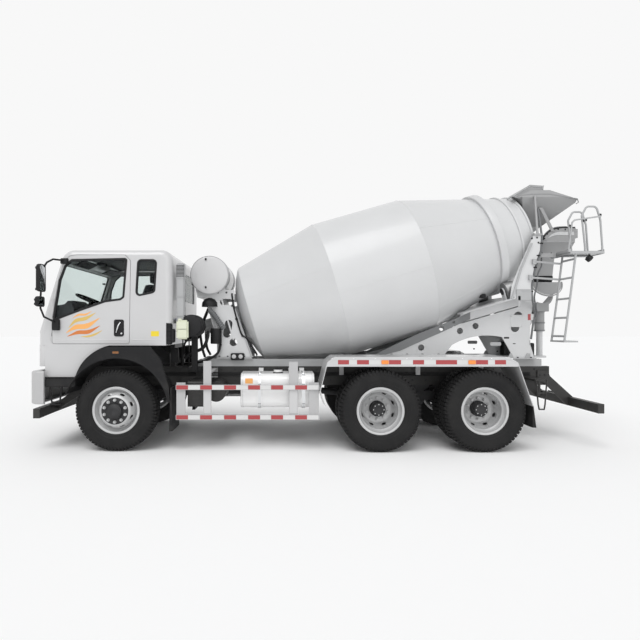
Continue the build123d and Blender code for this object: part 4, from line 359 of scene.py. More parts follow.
class Shape:
    """Mesh under construction, in millimetres, in the truck's own frame."""

    def __init__(self):
        self.mesh = bmesh.new()

    def face(self, corners):
        """One face, left out where its corners coincide."""
        corners = [c for n, c in enumerate(corners) if c is not corners[n - 1]]
        if len(corners) > 2:
            self.mesh.faces.new(corners)

    def skin(self, rows, around=False, along=False):
        """Quads between rows of points; around closes each row, along joins the last row to the first."""
        grid = [[self.mesh.verts.new(p) for p in row] for row in rows]
        last_row = len(grid) if along else len(grid) - 1
        last_column = len(grid[0]) if around else len(grid[0]) - 1
        for r in range(last_row):
            upper, lower = grid[r], grid[(r + 1) % len(grid)]
            for c in range(last_column):
                d = (c + 1) % len(upper)
                self.face([upper[c], upper[d], lower[d], lower[c]])
        return grid

    def capped(self, rows, near=True):
        """Skin of closed rows with a face over its far end and, if asked, its near one."""
        grid = self.skin(rows, around=True)
        if near:
            self.face(grid[0])
        self.face(list(reversed(grid[-1])))
        return self

    def bolt(self, spot, axis, size, tall):
        """Six-sided bolt head with a washer that stands on a spot along an axis."""
        axis = Vector(axis).normalized()
        washer = [(-2, 0), (-2, size * 1.35), (2, size * 1.35), (2.5, size * 0.9), (2.5, 0)]
        head = [(0, 0), (0, size), (tall * 0.8, size), (tall, size * 0.8), (tall, 0)]
        return self.lathed(washer, spot, axis, 14).lathed(head, spot, axis, 6)

    def turned(self, profile, centre, axis, steps=96, closed=True):
        """Profile of (along, radius) turned about an axis through centre."""
        axis = Vector(axis).normalized()
        first = axis.orthogonal().normalized()
        second = axis.cross(first)
        rows = []
        for n in range(steps):
            turn = 2 * math.pi * n / steps
            out = first * math.cos(turn) + second * math.sin(turn)
            rows.append([Vector(centre) + axis * along + out * radius for along, radius in profile])
        self.skin(rows, around=closed, along=True)
        return self

    def lathed(self, profile, centre, axis, steps=96):
        """Open profile of (along, radius), as of a lathe's work, turned about an axis through centre."""
        return self.turned(profile, centre, axis, steps, closed=False)

    def prism(self, outline, near, far, spot=(0, 0, 0), u=(1, 0, 0), v=(0, 0, 1)):
        """Closed outline in u and v, from near to far along u x v."""
        u, v = Vector(u), Vector(v)
        w = u.cross(v)
        rings = []
        for depth in (near, far):
            rings.append([self.mesh.verts.new(Vector(spot) + u * a + v * b + w * depth) for a, b in outline])
        self.mesh.faces.new(rings[0])
        self.mesh.faces.new(list(reversed(rings[1])))
        for n in range(len(outline)):
            m = (n + 1) % len(outline)
            self.mesh.faces.new([rings[0][n], rings[1][n], rings[1][m], rings[0][m]])
        return self

    def frame_ring(self, outer, inner, near, far, spot=(0, 0, 0), u=(1, 0, 0), v=(0, 0, 1), crown=0.0):
        """Band between two outlines with as many points, with its middle raised by a crown."""
        u, v = Vector(u), Vector(v)
        w = u.cross(v)
        rows = []
        for share, depth in ((0.0, near), (0.0, far), (0.5, far + crown), (1.0, far), (1.0, near)):
            row = []
            for (a, b), (c, d) in zip(outer, inner):
                row.append(Vector(spot) + u * (a + (c - a) * share) + v * (b + (d - b) * share) + w * depth)
            rows.append(row)
        self.skin(rows, around=True, along=True)
        return self

    def tube(self, path, radius, sides=12):
        """Round bar along a list of points, its section carried without twist."""
        path = [Vector(p) for p in path]
        heading = (path[1] - path[0]).normalized()
        side = heading.orthogonal().normalized()
        rows = []
        for n, point in enumerate(path):
            ahead = path[min(n + 1, len(path) - 1)] - path[max(n - 1, 0)]
            ahead.normalize()
            side = (side - ahead * side.dot(ahead)).normalized()
            up = ahead.cross(side)
            size = radius[n] if isinstance(radius, (list, tuple)) else radius
            ring = []
            for k in range(sides):
                turn = 2 * math.pi * k / sides
                ring.append(point + (side * math.cos(turn) + up * math.sin(turn)) * size)
            rows.append(ring)
        return self.capped(rows)

    def bar(self, low, high, edge=2.0, turn=None):
        """Box with rounded edges between two corners, turned about its middle if asked."""
        low, high = Vector(low), Vector(high)
        part = bmesh.new()
        bmesh.ops.create_cube(part, size=1.0)
        middle, span = (low + high) / 2, high - low
        for vert in part.verts:
            vert.co = Vector([middle[i] + vert.co[i] * abs(span[i]) for i in range(3)])
        if edge:
            edge = min(edge, min(abs(s) for s in span) * 0.45)
            bmesh.ops.bevel(part, geom=part.edges[:], offset=edge, segments=2, affect="EDGES",
                            clamp_overlap=True)
        if turn is not None:
            for vert in part.verts:
                vert.co = middle + turn @ (vert.co - middle)
        return self.take(part)

    def outboard(self, side, low, high, edge):
        """Box with rounded edges on one side of the truck, from corners given for the right side."""
        near, far = sorted((side * low[1], side * high[1]))
        return self.bar((low[0], near, low[2]), (high[0], far, high[2]), edge)

    def take(self, part):
        """Adds another mesh under construction and frees it."""
        store = bpy.data.meshes.new("store")
        part.to_mesh(store)
        part.free()
        self.mesh.from_mesh(store)
        bpy.data.meshes.remove(store)
        return self

    def plate(self, outline, holes, near, far, spot=(0, 0, 0), u=(1, 0, 0), v=(0, 0, 1)):
        """Flat sheet with holes, from near to far along u x v."""
        u, v = Vector(u), Vector(v)
        w = u.cross(v)
        loops = [[Vector(p) for p in loop] for loop in [outline, *holes]]
        flat = [[Vector((p.x, p.y, 0)) for p in loop] for loop in loops]
        corners = [p for loop in flat for p in loop]
        layers = []
        for depth in (near, far):
            layers.append([self.mesh.verts.new(Vector(spot) + u * p.x + v * p.y + w * depth)
                           for p in corners])
        for triangle in tessellate_polygon(flat):
            self.mesh.faces.new([layers[0][k] for k in triangle])
            self.mesh.faces.new([layers[1][k] for k in reversed(triangle)])
        start = 0
        for loop in flat:
            for n in range(len(loop)):
                a, b = start + n, start + (n + 1) % len(loop)
                self.mesh.faces.new([layers[0][a], layers[0][b], layers[1][b], layers[1][a]])
            start += len(loop)
        return self

    def flipped(self):
        """The same shape on the truck's other side."""
        for vert in self.mesh.verts:
            vert.co.y = -vert.co.y
        bmesh.ops.reverse_faces(self.mesh, faces=self.mesh.faces[:])
        return self

    def mirrored(self):
        """Adds the other side's copy, across the truck's middle."""
        copy = self.mesh.copy()
        for vert in copy.verts:
            vert.co.y = -vert.co.y
        bmesh.ops.reverse_faces(copy, faces=copy.faces[:])
        return self.take(copy)

    def piece(self, name, body, finish, slot_name, sharp=32.0, stands_for=()):
        """Finished piece of a body: welded, faced outwards and shaded."""
        obj = self.loose(name, finish, sharp)
        return fit(obj, body, stands_for)

    def loose(self, name, finish, sharp=32.0):
        """Object at the origin that rides on nothing yet."""
        mesh = self.mesh
        bmesh.ops.remove_doubles(mesh, verts=mesh.verts[:], dist=0.01)
        bmesh.ops.dissolve_degenerate(mesh, edges=mesh.edges[:], dist=0.005)
        bmesh.ops.recalc_face_normals(mesh, faces=mesh.faces[:])
        for face in mesh.faces:
            face.smooth = True
        for edge in mesh.edges:
            edge.smooth = len(edge.link_faces) == 2 and edge.calc_face_angle() < math.radians(sharp)
        for vert in mesh.verts:
            vert.co = (vert.co + DATUM) * UNIT
        data = bpy.data.meshes.new(name)
        mesh.to_mesh(data)
        mesh.free()
        data.materials.append(look[finish])
        obj = bpy.data.objects.new(name, data)
        bpy.context.scene.collection.objects.link(obj)
        return obj


def fit(obj, body, stands_for=()):
    """Puts a piece on its body and in place of its solids."""
    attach(obj, body)
    if stands_for:
        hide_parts(*stands_for)
    return obj


def rounded(points, radius, steps=5):
    """Outline with each corner turned into an arc of as many points."""
    result = []
    for n, point in enumerate(points):
        here = Vector(point)
        before, after = Vector(points[n - 1]) - here, Vector(points[(n + 1) % len(points)]) - here
        half = before.angle(after) / 2
        reach = min(radius / math.tan(half), before.length * 0.49, after.length * 0.49)
        size = reach * math.tan(half)
        middle = here + (before.normalized() + after.normalized()).normalized() * (size / math.sin(half))
        start, end = here + before.normalized() * reach - middle, here + after.normalized() * reach - middle
        sweep = start.angle_signed(end)
        for k in range(steps + 1):
            result.append(middle + Matrix.Rotation(-sweep * k / steps, 2) @ start)
    return result


def oblong(x0, x1, z0, z1):
    """Rectangle as an outline."""
    return [(x0, z0), (x1, z0), (x1, z1), (x0, z1)]


def circle(x, z, radius, steps):
    """Round outline of as many points."""
    turns = [2 * math.pi * k / steps for k in range(steps)]
    return [(x + math.cos(turn) * radius, z + math.sin(turn) * radius) for turn in turns]


def grown(points, distance):
    """Outline moved outwards by a distance, corner by corner."""
    area = sum(points[n - 1][0] * p[1] - p[0] * points[n - 1][1] for n, p in enumerate(points))
    sign = 1 if area > 0 else -1
    result = []
    for n, point in enumerate(points):
        here = Vector(point)
        into = (here - Vector(points[n - 1])).normalized()
        out = (Vector(points[(n + 1) % len(points)]) - here).normalized()
        first, second = Vector((into.y, -into.x)) * sign, Vector((out.y, -out.x)) * sign
        bisector = (first + second).normalized()
        result.append(tuple(here + bisector * (distance / max(0.3, bisector.dot(first)))))
    return result


def swept(points, steps=8):
    """Smooth run of points through the given ones."""
    points = [Vector(p) for p in points]
    ends = [points[0] * 2 - points[1]] + points + [points[-1] * 2 - points[-2]]
    result = []
    for n in range(1, len(ends) - 2):
        a, b, c, d = ends[n - 1 : n + 3]
        for k in range(steps):
            t = k / steps
            square = (a * 2 - b * 5 + c * 4 - d) * t**2
            cube = (b * 3 - a - c * 3 + d) * t**3
            result.append((b * 2 + (c - a) * t + square + cube) / 2)
    return result + [points[-1]]


def bent(points, radius, steps=6):
    """Straight runs joined by arcs, as a bent bar has."""
    points = [Vector(p) for p in points]
    result = [points[0]]
    for n in range(1, len(points) - 1):
        here = points[n]
        before, after = points[n - 1] - here, points[n + 1] - here
        half = before.angle(after) / 2
        reach = min(radius / math.tan(half), before.length * 0.48, after.length * 0.48)
        size = reach * math.tan(half)
        middle = here + (before.normalized() + after.normalized()).normalized() * (size / math.sin(half))
        start, end = here + before.normalized() * reach - middle, here + after.normalized() * reach - middle
        for k in range(steps + 1):
            result.append(middle + start.slerp(end, k / steps) if size > 0.01 else here)
    return result + [points[-1]]


def repeat_tree():
    """Geometry nodes that repeat an object's own mesh round an axis, and their sockets by name."""
    tree = bpy.data.node_groups.new("repeat_round_axis", "GeometryNodeTree")
    made = Nodes(tree)
    ids = {}
    for label, kind in (("Geometry", "Geometry"), ("Count", "Int"), ("Centre", "Vector"), ("Axis", "Vector"),
                        ("Finish", "Material")):
        socket = tree.interface.new_socket(label, in_out="INPUT", socket_type="NodeSocket" + kind)
        ids[label] = socket.identifier
    tree.interface.new_socket("Geometry", in_out="OUTPUT", socket_type="NodeSocketGeometry")

    def first(kind, sockets, **settings):
        return made.node(kind, settings, sockets).outputs[0]

    wanted = made.node("NodeGroupInput").outputs
    back = first("ShaderNodeVectorMath", {0: wanted["Centre"], 3: -1.0}, operation="SCALE")
    moved = first("GeometryNodeTransform", {0: wanted["Geometry"], "Translation": back})
    spots = first("GeometryNodeMeshLine", {"Count": wanted["Count"], "Offset": (0, 0, 0)})
    placed = first("GeometryNodeSetPosition", {0: spots, "Position": wanted["Centre"]})
    number = first("GeometryNodeInputIndex", {})
    step = first("ShaderNodeMath", {0: 2 * math.pi, 1: wanted["Count"]}, operation="DIVIDE")
    turn = first("ShaderNodeMath", {0: number, 1: step}, operation="MULTIPLY")
    heading = first("FunctionNodeAxisAngleToRotation", {"Axis": wanted["Axis"], "Angle": turn})
    copies = first("GeometryNodeInstanceOnPoints", {"Points": placed, "Instance": moved, "Rotation": heading})
    real = first("GeometryNodeRealizeInstances", {0: copies})
    dressed = first("GeometryNodeSetMaterial", {0: real, "Material": wanted["Finish"]})
    made.node("NodeGroupOutput", {}, {0: dressed})
    return tree, ids


REPEAT_TREE, REPEAT_IDS = repeat_tree()


def baked(obj):
    """Keeps the result of an object's modifiers as its mesh."""
    bpy.context.view_layer.update()
    result = bpy.data.meshes.new_from_object(obj.evaluated_get(bpy.context.evaluated_depsgraph_get()))
    obj.modifiers.clear()
    old, obj.data = obj.data, result
    bpy.data.meshes.remove(old)
    obj.data.name = obj.name
    return obj


def repeated(obj, count, centre, axis):
    """Repeats an object's mesh round an axis through a centre of the drawing."""
    centre = tuple((Vector(centre) + DATUM) * UNIT)
    values = {"Count": count, "Centre": centre, "Axis": tuple(axis), "Finish": obj.data.materials[0]}
    modifier = obj.modifiers.new("repeat", "NODES")
    modifier.node_group = REPEAT_TREE
    for label, value in values.items():
        modifier[REPEAT_IDS[label]] = value
    return baked(obj)


def joined(name, parts, body, stands_for=()):
    """One piece from several loose objects with their own finishes."""
    bpy.ops.object.select_all(action="DESELECT")
    for part in parts:
        part.select_set(True)
    bpy.context.view_layer.objects.active = parts[0]
    bpy.ops.object.join()
    obj = parts[0]
    obj.name = name
    obj.data.name = name
    return fit(obj, body, stands_for)


class Group:
    """Shapes with finishes of their own that become one piece."""

    def __init__(self):
        self.members = []

    def shape(self, finish, sharp=32.0, both=False):
        """New shape of the group; both gives it a mirrored copy when the piece is made."""
        made = Shape()
        self.members.append((made, finish, sharp, both))
        return made

    def piece(self, name, body, slot_name, stands_for=()):
        """The piece, with its shapes joined in the order of their making."""
        parts = []
        for shape, finish, sharp, both in self.members:
            parts.append((shape.mirrored() if both else shape).loose("part", finish, sharp))
        return joined(name, parts, body, stands_for)


# Sizes shared with the solids, in millimetres
TYRE_R = 535.0
RIM_LIP_R = 305.0
RIM_HALF = 103.0
FRONT_AXLE_X = -2690.0
REAR_AXLE_XS = (750.0, 2100.0)
FRONT_TYRE_Y = 1025.0
DUAL_OUTER_Y = 1090.0
DUAL_INNER_Y = 770.0
NAVE_OFFSET = 160.0
NUT_CIRCLE_R = 142.0
CAB_Y = 1050.0
SIDES = ((-1, "left"), (1, "right"))
ACROSS = (0.0, 1.0, 0.0)


# Tyre section from the tread's middle to the bead, as (out from the middle, radius)
HALF_WALL = [
    (0, 518), (52, 518), (104, 512), (118, 505), (134, 486), (138, 470), (136.5, 468), (137.5, 464),
    (143, 440), (145, 412), (144, 386), (141, 372), (142.5, 369), (140, 364), (136, 352), (130, 338),
    (131, 334), (127, 328), (119, 318), (112, 309), (104, 306), (103.5, 292),
]
# Half of a rim's section: its outer face from the lip inwards, and its inner face outwards to the lip
RIM_OUTSIDE = [
    (RIM_HALF + 15, RIM_LIP_R - 1), (RIM_HALF + 11, RIM_LIP_R + 5), (RIM_HALF + 3, RIM_LIP_R + 6),
    (RIM_HALF - 1, RIM_LIP_R), (RIM_HALF - 1, 287), (RIM_HALF - 30, 279), (RIM_HALF - 55, 256),
]
RIM_INSIDE = [(RIM_HALF - 60, 246), (RIM_HALF - 34, 270), (RIM_HALF + 11, 280)]


def other_half(points):
    """The same section on the middle's other side, in the order that continues it."""
    return [(-a, r) for a, r in reversed(points)]


# Rows of tread blocks across the tyre, and how many blocks a row has on each kind of tyre
TREAD_HALF = 118
TREAD_ROWS = ((-TREAD_HALF, -74), (-66, -26), (-18, 18), (26, 66), (74, TREAD_HALF))
DRIVE_BLOCKS = 62
STEER_BLOCKS = 70
TREAD_DEPTH = 24


def tyre(axle_x, centre_y, drive):
    """Loose objects of one tyre: carcass, tread blocks and shoulder ribs."""
    profile = other_half(HALF_WALL[1:]) + HALF_WALL
    centre = (axle_x, centre_y, TYRE_R)
    carcass = Shape().lathed(profile, centre, (0, 1, 0), 128).loose("carcass", "tyre", 40)
    blocks = Shape()
    count = DRIVE_BLOCKS if drive else STEER_BLOCKS
    pitch = 2 * math.pi * TYRE_R / count
    for n, (near, far) in enumerate(TREAD_ROWS):
        edge_row = n in (0, 4)
        lead = pitch * (0.25 if n % 2 else 0.0)
        fill = 0.74 if edge_row else 0.84
        skew = 8 if drive else 3
        length = pitch * fill / 2
        outer_drop = 9.0 if edge_row else 1.0
        low, high = TYRE_R - TREAD_DEPTH, TYRE_R - 0.5
        corners = []
        for y in (near, far):
            slant = skew * (y / TREAD_HALF) * (1 if n % 2 else -1)
            drop = outer_drop if abs(y) == TREAD_HALF else 1.0
            for x in (-length, length):
                corners.append((x + lead + slant, y, high - drop, low - drop * 0.6))
        top = [blocks.mesh.verts.new((axle_x + x * 0.96, centre_y + y * 0.985, TYRE_R + z))
               for x, y, z, _ in corners]
        foot = [blocks.mesh.verts.new((axle_x + x, centre_y + y, TYRE_R + z)) for x, y, _, z in corners]
        blocks.face([top[0], top[1], top[3], top[2]])
        for a, b in ((0, 1), (1, 3), (3, 2), (2, 0)):
            blocks.face([top[a], top[b], foot[b], foot[a]])
    tread = blocks.loose("tread", "tyre")
    ribs = Shape()
    for side in (-1, 1):
        corners = [(-11, 112, 524), (11, 112, 524), (9, 131, 500), (-9, 131, 500), (-7, 139, 474),
                   (7, 139, 474)]
        skin = [[(axle_x + x, centre_y + side * (y + out), TYRE_R + r) for x, y, r in corners]
                for out in (0.5, 6)]
        lower = [ribs.mesh.verts.new(p) for p in skin[0]]
        upper = [ribs.mesh.verts.new(p) for p in skin[1][:4]]
        ribs.face(upper)
        ribs.face([upper[3], upper[2], lower[5], lower[4]])
        ribs.face([upper[0], upper[3], lower[4], lower[3], lower[0]])
        ribs.face([upper[2], upper[1], lower[1], lower[2], lower[5]])
        ribs.face([upper[1], upper[0], lower[0], lower[1]])
    shoulder = ribs.loose("shoulder", "tyre")
    return [carcass, repeated(tread, count, centre, ACROSS), repeated(shoulder, count, centre, ACROSS)]


HAND_HOLES = 8


def wheel_disc(axle_x, side, centre_y, outwards):
    """Loose objects of one rim: barrel with both lips and the dished disc with hand holes."""
    spin = (0, side, 0)
    centre = (axle_x, side * centre_y, TYRE_R)
    barrel = RIM_OUTSIDE + other_half(RIM_OUTSIDE) + other_half(RIM_INSIDE) + RIM_INSIDE
    rim = Shape().turned(barrel, centre, spin, 96).loose("barrel", "rim", 40)
    nave = NAVE_OFFSET
    face = [(nave, 96), (nave, 176), (nave - 6, 190), (nave - 20, 206), (nave - 62, 226), (nave - 108, 244),
            (nave - 128, 247)]
    back = [(a - 11, r - 1) for a, r in reversed(face)]
    section = [(outwards * a, r) for a, r in face + back]
    disc = Shape().turned(section, centre, spin, 96).loose("disc", "rim", 40)
    cutter = Shape()
    for n in range(HAND_HOLES):
        turn = 2 * math.pi * (n + 0.5) / HAND_HOLES
        out = Vector((math.cos(turn), 0, math.sin(turn)))
        along = Vector((0, side * outwards, 0))
        tilt = (along * 0.62 + out * 0.78).normalized()
        across = tilt.cross(along).normalized()
        up = across.cross(tilt)
        spot = Vector(centre) + along * (nave - 52) + out * 218
        hole = [(math.cos(a) * 32, math.sin(a) * 24) for a in [2 * math.pi * k / 20 for k in range(20)]]
        cutter.prism(hole, -40, 45, spot, across, up)
    tool = cutter.loose("cutter", "rim")
    cut = disc.modifiers.new("holes", "BOOLEAN")
    cut.object = tool
    cut.solver = "EXACT"
    baked(disc)
    bpy.data.objects.remove(tool)
    return [rim, disc]


def wheel_nut(axle_x, side, y, tall):
    """One wheel nut with its washer and stud end, at the top of its circle."""
    nut = Shape()
    spot = (axle_x, side * y, TYRE_R + NUT_CIRCLE_R)
    for radius, corners, near, far in ((21, 12, 0, 5), (17, 6, 4, tall), (10, 8, tall, tall + 12)):
        nut.prism(circle(0, 0, radius, corners), side * -near, side * -far, spot)
    return nut


def front_wheel(side, word):
    """Rim, nave, hub cap and nuts of a steered wheel."""
    centre = (FRONT_AXLE_X, side * FRONT_TYRE_Y, TYRE_R)
    spin = (0, side, 0)
    parts = wheel_disc(FRONT_AXLE_X, side, FRONT_TYRE_Y, 1)
    cap = [
        (-140, 60), (-140, 190), (-70, 190), (-50, 150), (-20, 128), (NAVE_OFFSET - 14, 118),
        (NAVE_OFFSET + 6, 100), (NAVE_OFFSET + 40, 96), (NAVE_OFFSET + 46, 84), (NAVE_OFFSET + 52, 84),
        (NAVE_OFFSET + 60, 70), (NAVE_OFFSET + 66, 50), (NAVE_OFFSET + 62, 30), (NAVE_OFFSET + 60, 0),
        (-60, 0), (-60, 45), (-140, 45),
    ]
    parts.append(Shape().turned(cap, centre, spin, 64).loose("cap", "steel", 30))
    ring = [(NAVE_OFFSET - 1, 104), (NAVE_OFFSET + 4, 108), (NAVE_OFFSET + 4, 172), (NAVE_OFFSET - 1, 176)]
    parts.append(Shape().turned(ring, centre, spin, 64).loose("nut_ring", "steel", 30))
    y = FRONT_TYRE_Y + NAVE_OFFSET + 3
    parts.append(repeated(wheel_nut(FRONT_AXLE_X, side, y, 26).loose("nuts", "rim"), 10, centre, ACROSS))
    joined("front_wheel_metal_" + word, parts, "front_wheel_" + word, ["front_rim_" + word])
    tyre_parts = tyre(FRONT_AXLE_X, side * FRONT_TYRE_Y, False)
    joined("front_tyre_tread_" + word, tyre_parts, "front_wheel_" + word, ["front_tyre_" + word])


def rear_wheels(side, word, number, axle_x):
    """Twin rims, drum hub, nuts and both tyres of one rear axle end."""
    suffix = word + "_" + str(number)
    body = "rear_wheels_" + suffix
    spin = (0, side, 0)
    parts = wheel_disc(axle_x, side, DUAL_OUTER_Y, -1)
    parts += wheel_disc(axle_x, side, DUAL_INNER_Y, 1)
    mate = DUAL_OUTER_Y - NAVE_OFFSET
    hub = [
        (570, 80), (570, 203), (800, 203), (840, 126), (mate - 26, 125), (mate - 24, 182), (mate - 3, 182),
        (mate - 2, 104), (mate + 60, 104), (mate + 66, 98), (mate + 120, 96), (mate + 128, 88),
        (mate + 150, 80), (mate + 156, 60), (mate + 150, 40), (mate + 152, 0), (1004, 0), (1004, 50),
        (620, 50), (620, 80),
    ]
    parts.append(Shape().turned(hub, (axle_x, 0, TYRE_R), spin, 64).loose("hub", "steel", 30))
    centre = (axle_x, side * mate, TYRE_R)
    parts.append(repeated(wheel_nut(axle_x, side, mate + 13, 30).loose("nuts", "rim"), 10, centre, ACROSS))
    cap_bolt = Shape().prism(circle(0, 0, 8, 6), 0.0, side * -7.0, (axle_x, side * (mate + 148), TYRE_R + 68))
    parts.append(repeated(cap_bolt.loose("cap_bolts", "rim"), 8, centre, ACROSS))
    joined("rear_wheel_metal_" + suffix, parts, body, ["rear_rims_" + suffix])
    tyres = tyre(axle_x, side * DUAL_OUTER_Y, True) + tyre(axle_x, side * DUAL_INNER_Y, True)
    joined("rear_tyre_tread_" + suffix, tyres, body, ["rear_tyres_" + suffix])


for side, word in SIDES:
    front_wheel(side, word)
    for number, axle_x in enumerate(REAR_AXLE_XS, start=1):
        rear_wheels(side, word, number, axle_x)

# Outlines shared with the cab's solids, in X and Z
DOOR_WINDOW = [
    (-3543.0, 1717.0), (-3457.0, 2245.0), (-3390.0, 2425.0), (-3300.0, 2508.0), (-2580.0, 2523.0),
    (-2622.0, 2021.0), (-2663.0, 1992.0), (-2860.0, 1966.0), (-3193.0, 1849.0),
]
SIDE_WINDOW = [(-2423.0, 2508.0), (-2186.0, 2508.0), (-2212.0, 2088.0), (-2450.0, 2036.0)]
CAB_FRONT = -3745.0
SCREEN_FOOT = Vector((CAB_FRONT, 0, 1600))
SCREEN_RISE = Vector((-3462.0, 0, 2510.0)) - SCREEN_FOOT
SCREEN_UP = SCREEN_RISE.normalized()
SEAT_YS = (-520, 480)


def on_side(make, name, bodies, finish, slot_name, stands_for=None, sharp=32.0):
    """The same shape on the left and, mirrored, on the right."""
    for side, word in SIDES:
        shape = make()
        if side > 0:
            shape.flipped()
        gone = [node + "_" + word for node in stands_for or ()]
        body = bodies + "_" + word if bodies in ("door", "knuckle", "front_wheel") else bodies
        shape.piece(name + "_" + word, body, finish, slot_name, sharp, gone)


def window_seal(outline, inwards, outwards, outer_arc, inner_arc):
    """Black rubber round a side window, with the run of its glass."""
    inner, outer = rounded(grown(outline, -inwards), inner_arc), rounded(grown(outline, outwards), outer_arc)
    return Shape().frame_ring(outer, inner, CAB_Y - 24, CAB_Y + 3, crown=4)


HANDLE = (-2744.0, -2612.0, 1499.0, 1723.0)


def handle_bezel():
    """Dark dish of the door's pull handle."""
    x0, x1, z0, z1 = HANDLE
    outline = oblong(x0, x1, z0, z1)
    shape = Shape()
    shape.frame_ring(rounded(outline, 26), rounded(grown(outline, -10), 18), CAB_Y - 2, CAB_Y + 5, crown=2)
    shape.prism(rounded(grown(outline, -8), 20), CAB_Y - 1, CAB_Y + 0.6)
    return shape


def handle_lever():
    """Curved pull lever and its lock barrel."""
    x0, x1, z0, z1 = HANDLE
    shape = Shape()
    run = swept([(x0 + 30, -CAB_Y - 3, z0 + 50), (x0 + 44, -CAB_Y - 14, z0 + 90),
                 (x0 + 60, -CAB_Y - 17, z1 - 80), (x0 + 86, -CAB_Y - 4, z1 - 34)], 6)
    shape.tube(run, [6 + 3 * math.sin(math.pi * n / (len(run) - 1)) for n in range(len(run))], 10)
    barrel = [(0, 13), (3, 13), (5, 11), (5, 4), (3.5, 3), (3.5, 0), (0, 0)]
    shape.lathed(barrel, (x1 - 34, -CAB_Y - 0.5, z0 + 40), (0, -1, 0), 24)
    return shape


def swoosh(points, widths, lift):
    """Tapered sticker along a curve on the door's skin."""
    shape = Shape()
    run = swept([(x, 0, z) for x, z in points], 8)
    rows = []
    for n, point in enumerate(run):
        ahead = (run[min(n + 1, len(run) - 1)] - run[max(n - 1, 0)]).normalized()
        across = Vector((-ahead.z, 0, ahead.x))
        t = n / (len(run) - 1) * (len(widths) - 1)
        k = min(int(t), len(widths) - 2)
        wide = widths[k] + (widths[k + 1] - widths[k]) * (t - k)
        rows.append([point + across * wide + Vector((0, -CAB_Y - d, 0)) for d in (0.0, lift)]
                    + [point - across * wide + Vector((0, -CAB_Y - d, 0)) for d in (lift, 0.0)])
    return shape.capped(rows)


def side_graphic(side, word):
    """Three plain sweeping bands in warm colours on the door."""
    bands = [
        ([(-3375, 1548), (-3250, 1622), (-3100, 1640), (-2935, 1742)], [3, 30, 34, 3], "orange"),
        ([(-3360, 1500), (-3220, 1552), (-3080, 1562), (-2930, 1640)], [3, 24, 26, 3], "flame"),
        ([(-3345, 1612), (-3250, 1706), (-3120, 1738), (-2985, 1812)], [2, 22, 24, 2], "gold"),
        ([(-3290, 1742), (-3210, 1786), (-3120, 1790), (-3040, 1832)], [2, 13, 13, 2], "orange"),
        ([(-3180, 1496), (-3080, 1502), (-2990, 1530), (-2900, 1580)], [2, 13, 13, 2], "gold"),
    ]
    parts = []
    for n, (points, widths, colour) in enumerate(bands):
        shape = swoosh(points, widths, 0.8)
        if side > 0:
            shape.flipped()
        parts.append(shape.loose("band", colour))
    joined("door_graphic_" + word, parts, "door_" + word)


def small_label():
    """Blank yellow square behind the door."""
    x0, x1, z0, z1 = -2255.0, -2150.0, 1500.0, 1570.0
    return Shape().prism(rounded(oblong(x0, x1, z0, z1), 8), CAB_Y - 0.5, CAB_Y + 0.8)


def crease(*places):
    """Pressed crease along the cab's side or across the door, through the places in X."""
    section = ((1, 1459), (-2.5, 1452), (-2.5, 1449), (1, 1442))
    return Shape().capped([[(x, -CAB_Y + out, z) for out, z in section] for x in places])


def door_hinges():
    """Two covered hinges at the door's front edge."""
    shape = Shape()
    for z in (1500.0, 1950.0):
        lean = 0.0 if z < 1722 else (z - 1722) * 0.16
        shape.bar((-3590 + lean, -CAB_Y - 12, z - 45), (-3568 + lean, -CAB_Y + 6, z + 45), 5)
    return shape


MIRROR_Y = 1260.0
MIRROR_TUBE = [
    (-3395, -CAB_Y - 20, 2500), (-3440, -MIRROR_Y, 2492), (-3560, -MIRROR_Y, 2505),
    (-3645, -MIRROR_Y, 2380), (-3668, -MIRROR_Y, 1980), (-3668, -MIRROR_Y, 1850), (-3590, -MIRROR_Y, 1720),
    (-3500, -CAB_Y - 20, 1680),
]
MIRROR_SPAN = (-1398, -1222)
MIRROR_HEADS = ((2070.0, 2425.0, -3640.0), (1880.0, 2015.0, -3655.0))


def mirror_arm():
    """Bent tube, its feet on the door and its clamps."""
    shape = Shape()
    shape.tube(bent(MIRROR_TUBE, 50), 12, 14)
    shape.bar((-3440, -CAB_Y - 40, 2455), (-3340, -CAB_Y - 0.3, 2530), 8)
    shape.bar((-3552, -CAB_Y - 40, 1580), (-3452, -CAB_Y - 0.3, 1725), 8)
    for low, high, x in MIRROR_HEADS:
        for z in (low + 40, high - 40):
            shape.bar((x - 42, -MIRROR_Y - 18, z - 16), (x + 4, -MIRROR_Y + 18, z + 16), 5)
    return shape


def mirror_heads():
    """Rounded housings of the two mirrors."""
    shape = Shape()
    for low, high, x in MIRROR_HEADS:
        corner = 42 if high - low > 200 else 30
        outline = oblong(*MIRROR_SPAN, low + 2, high - 2)
        rows = []
        for depth, shrink in ((12, 40), (17, 18), (26, 6), (42, 0), (72, 0), (75, 3), (75, 9), (70, 11)):
            ring = rounded(grown(outline, -shrink), max(6, corner - shrink * 0.5), 6)
            rows.append([(x + depth, a, b) for a, b in ring])
        shape.capped(rows)
    return shape


def mirror_glasses():
    """Reflecting faces, just inside the housings' rims."""
    shape = Shape()
    for low, high, x in MIRROR_HEADS:
        outline = oblong(*MIRROR_SPAN, low + 2, high - 2)
        ring = rounded(grown(outline, -12), 30, 6)
        rows = [[(x + d, a, b) for a, b in ring] for d in (70.5, 72)]
        shape.capped(rows)
    return shape


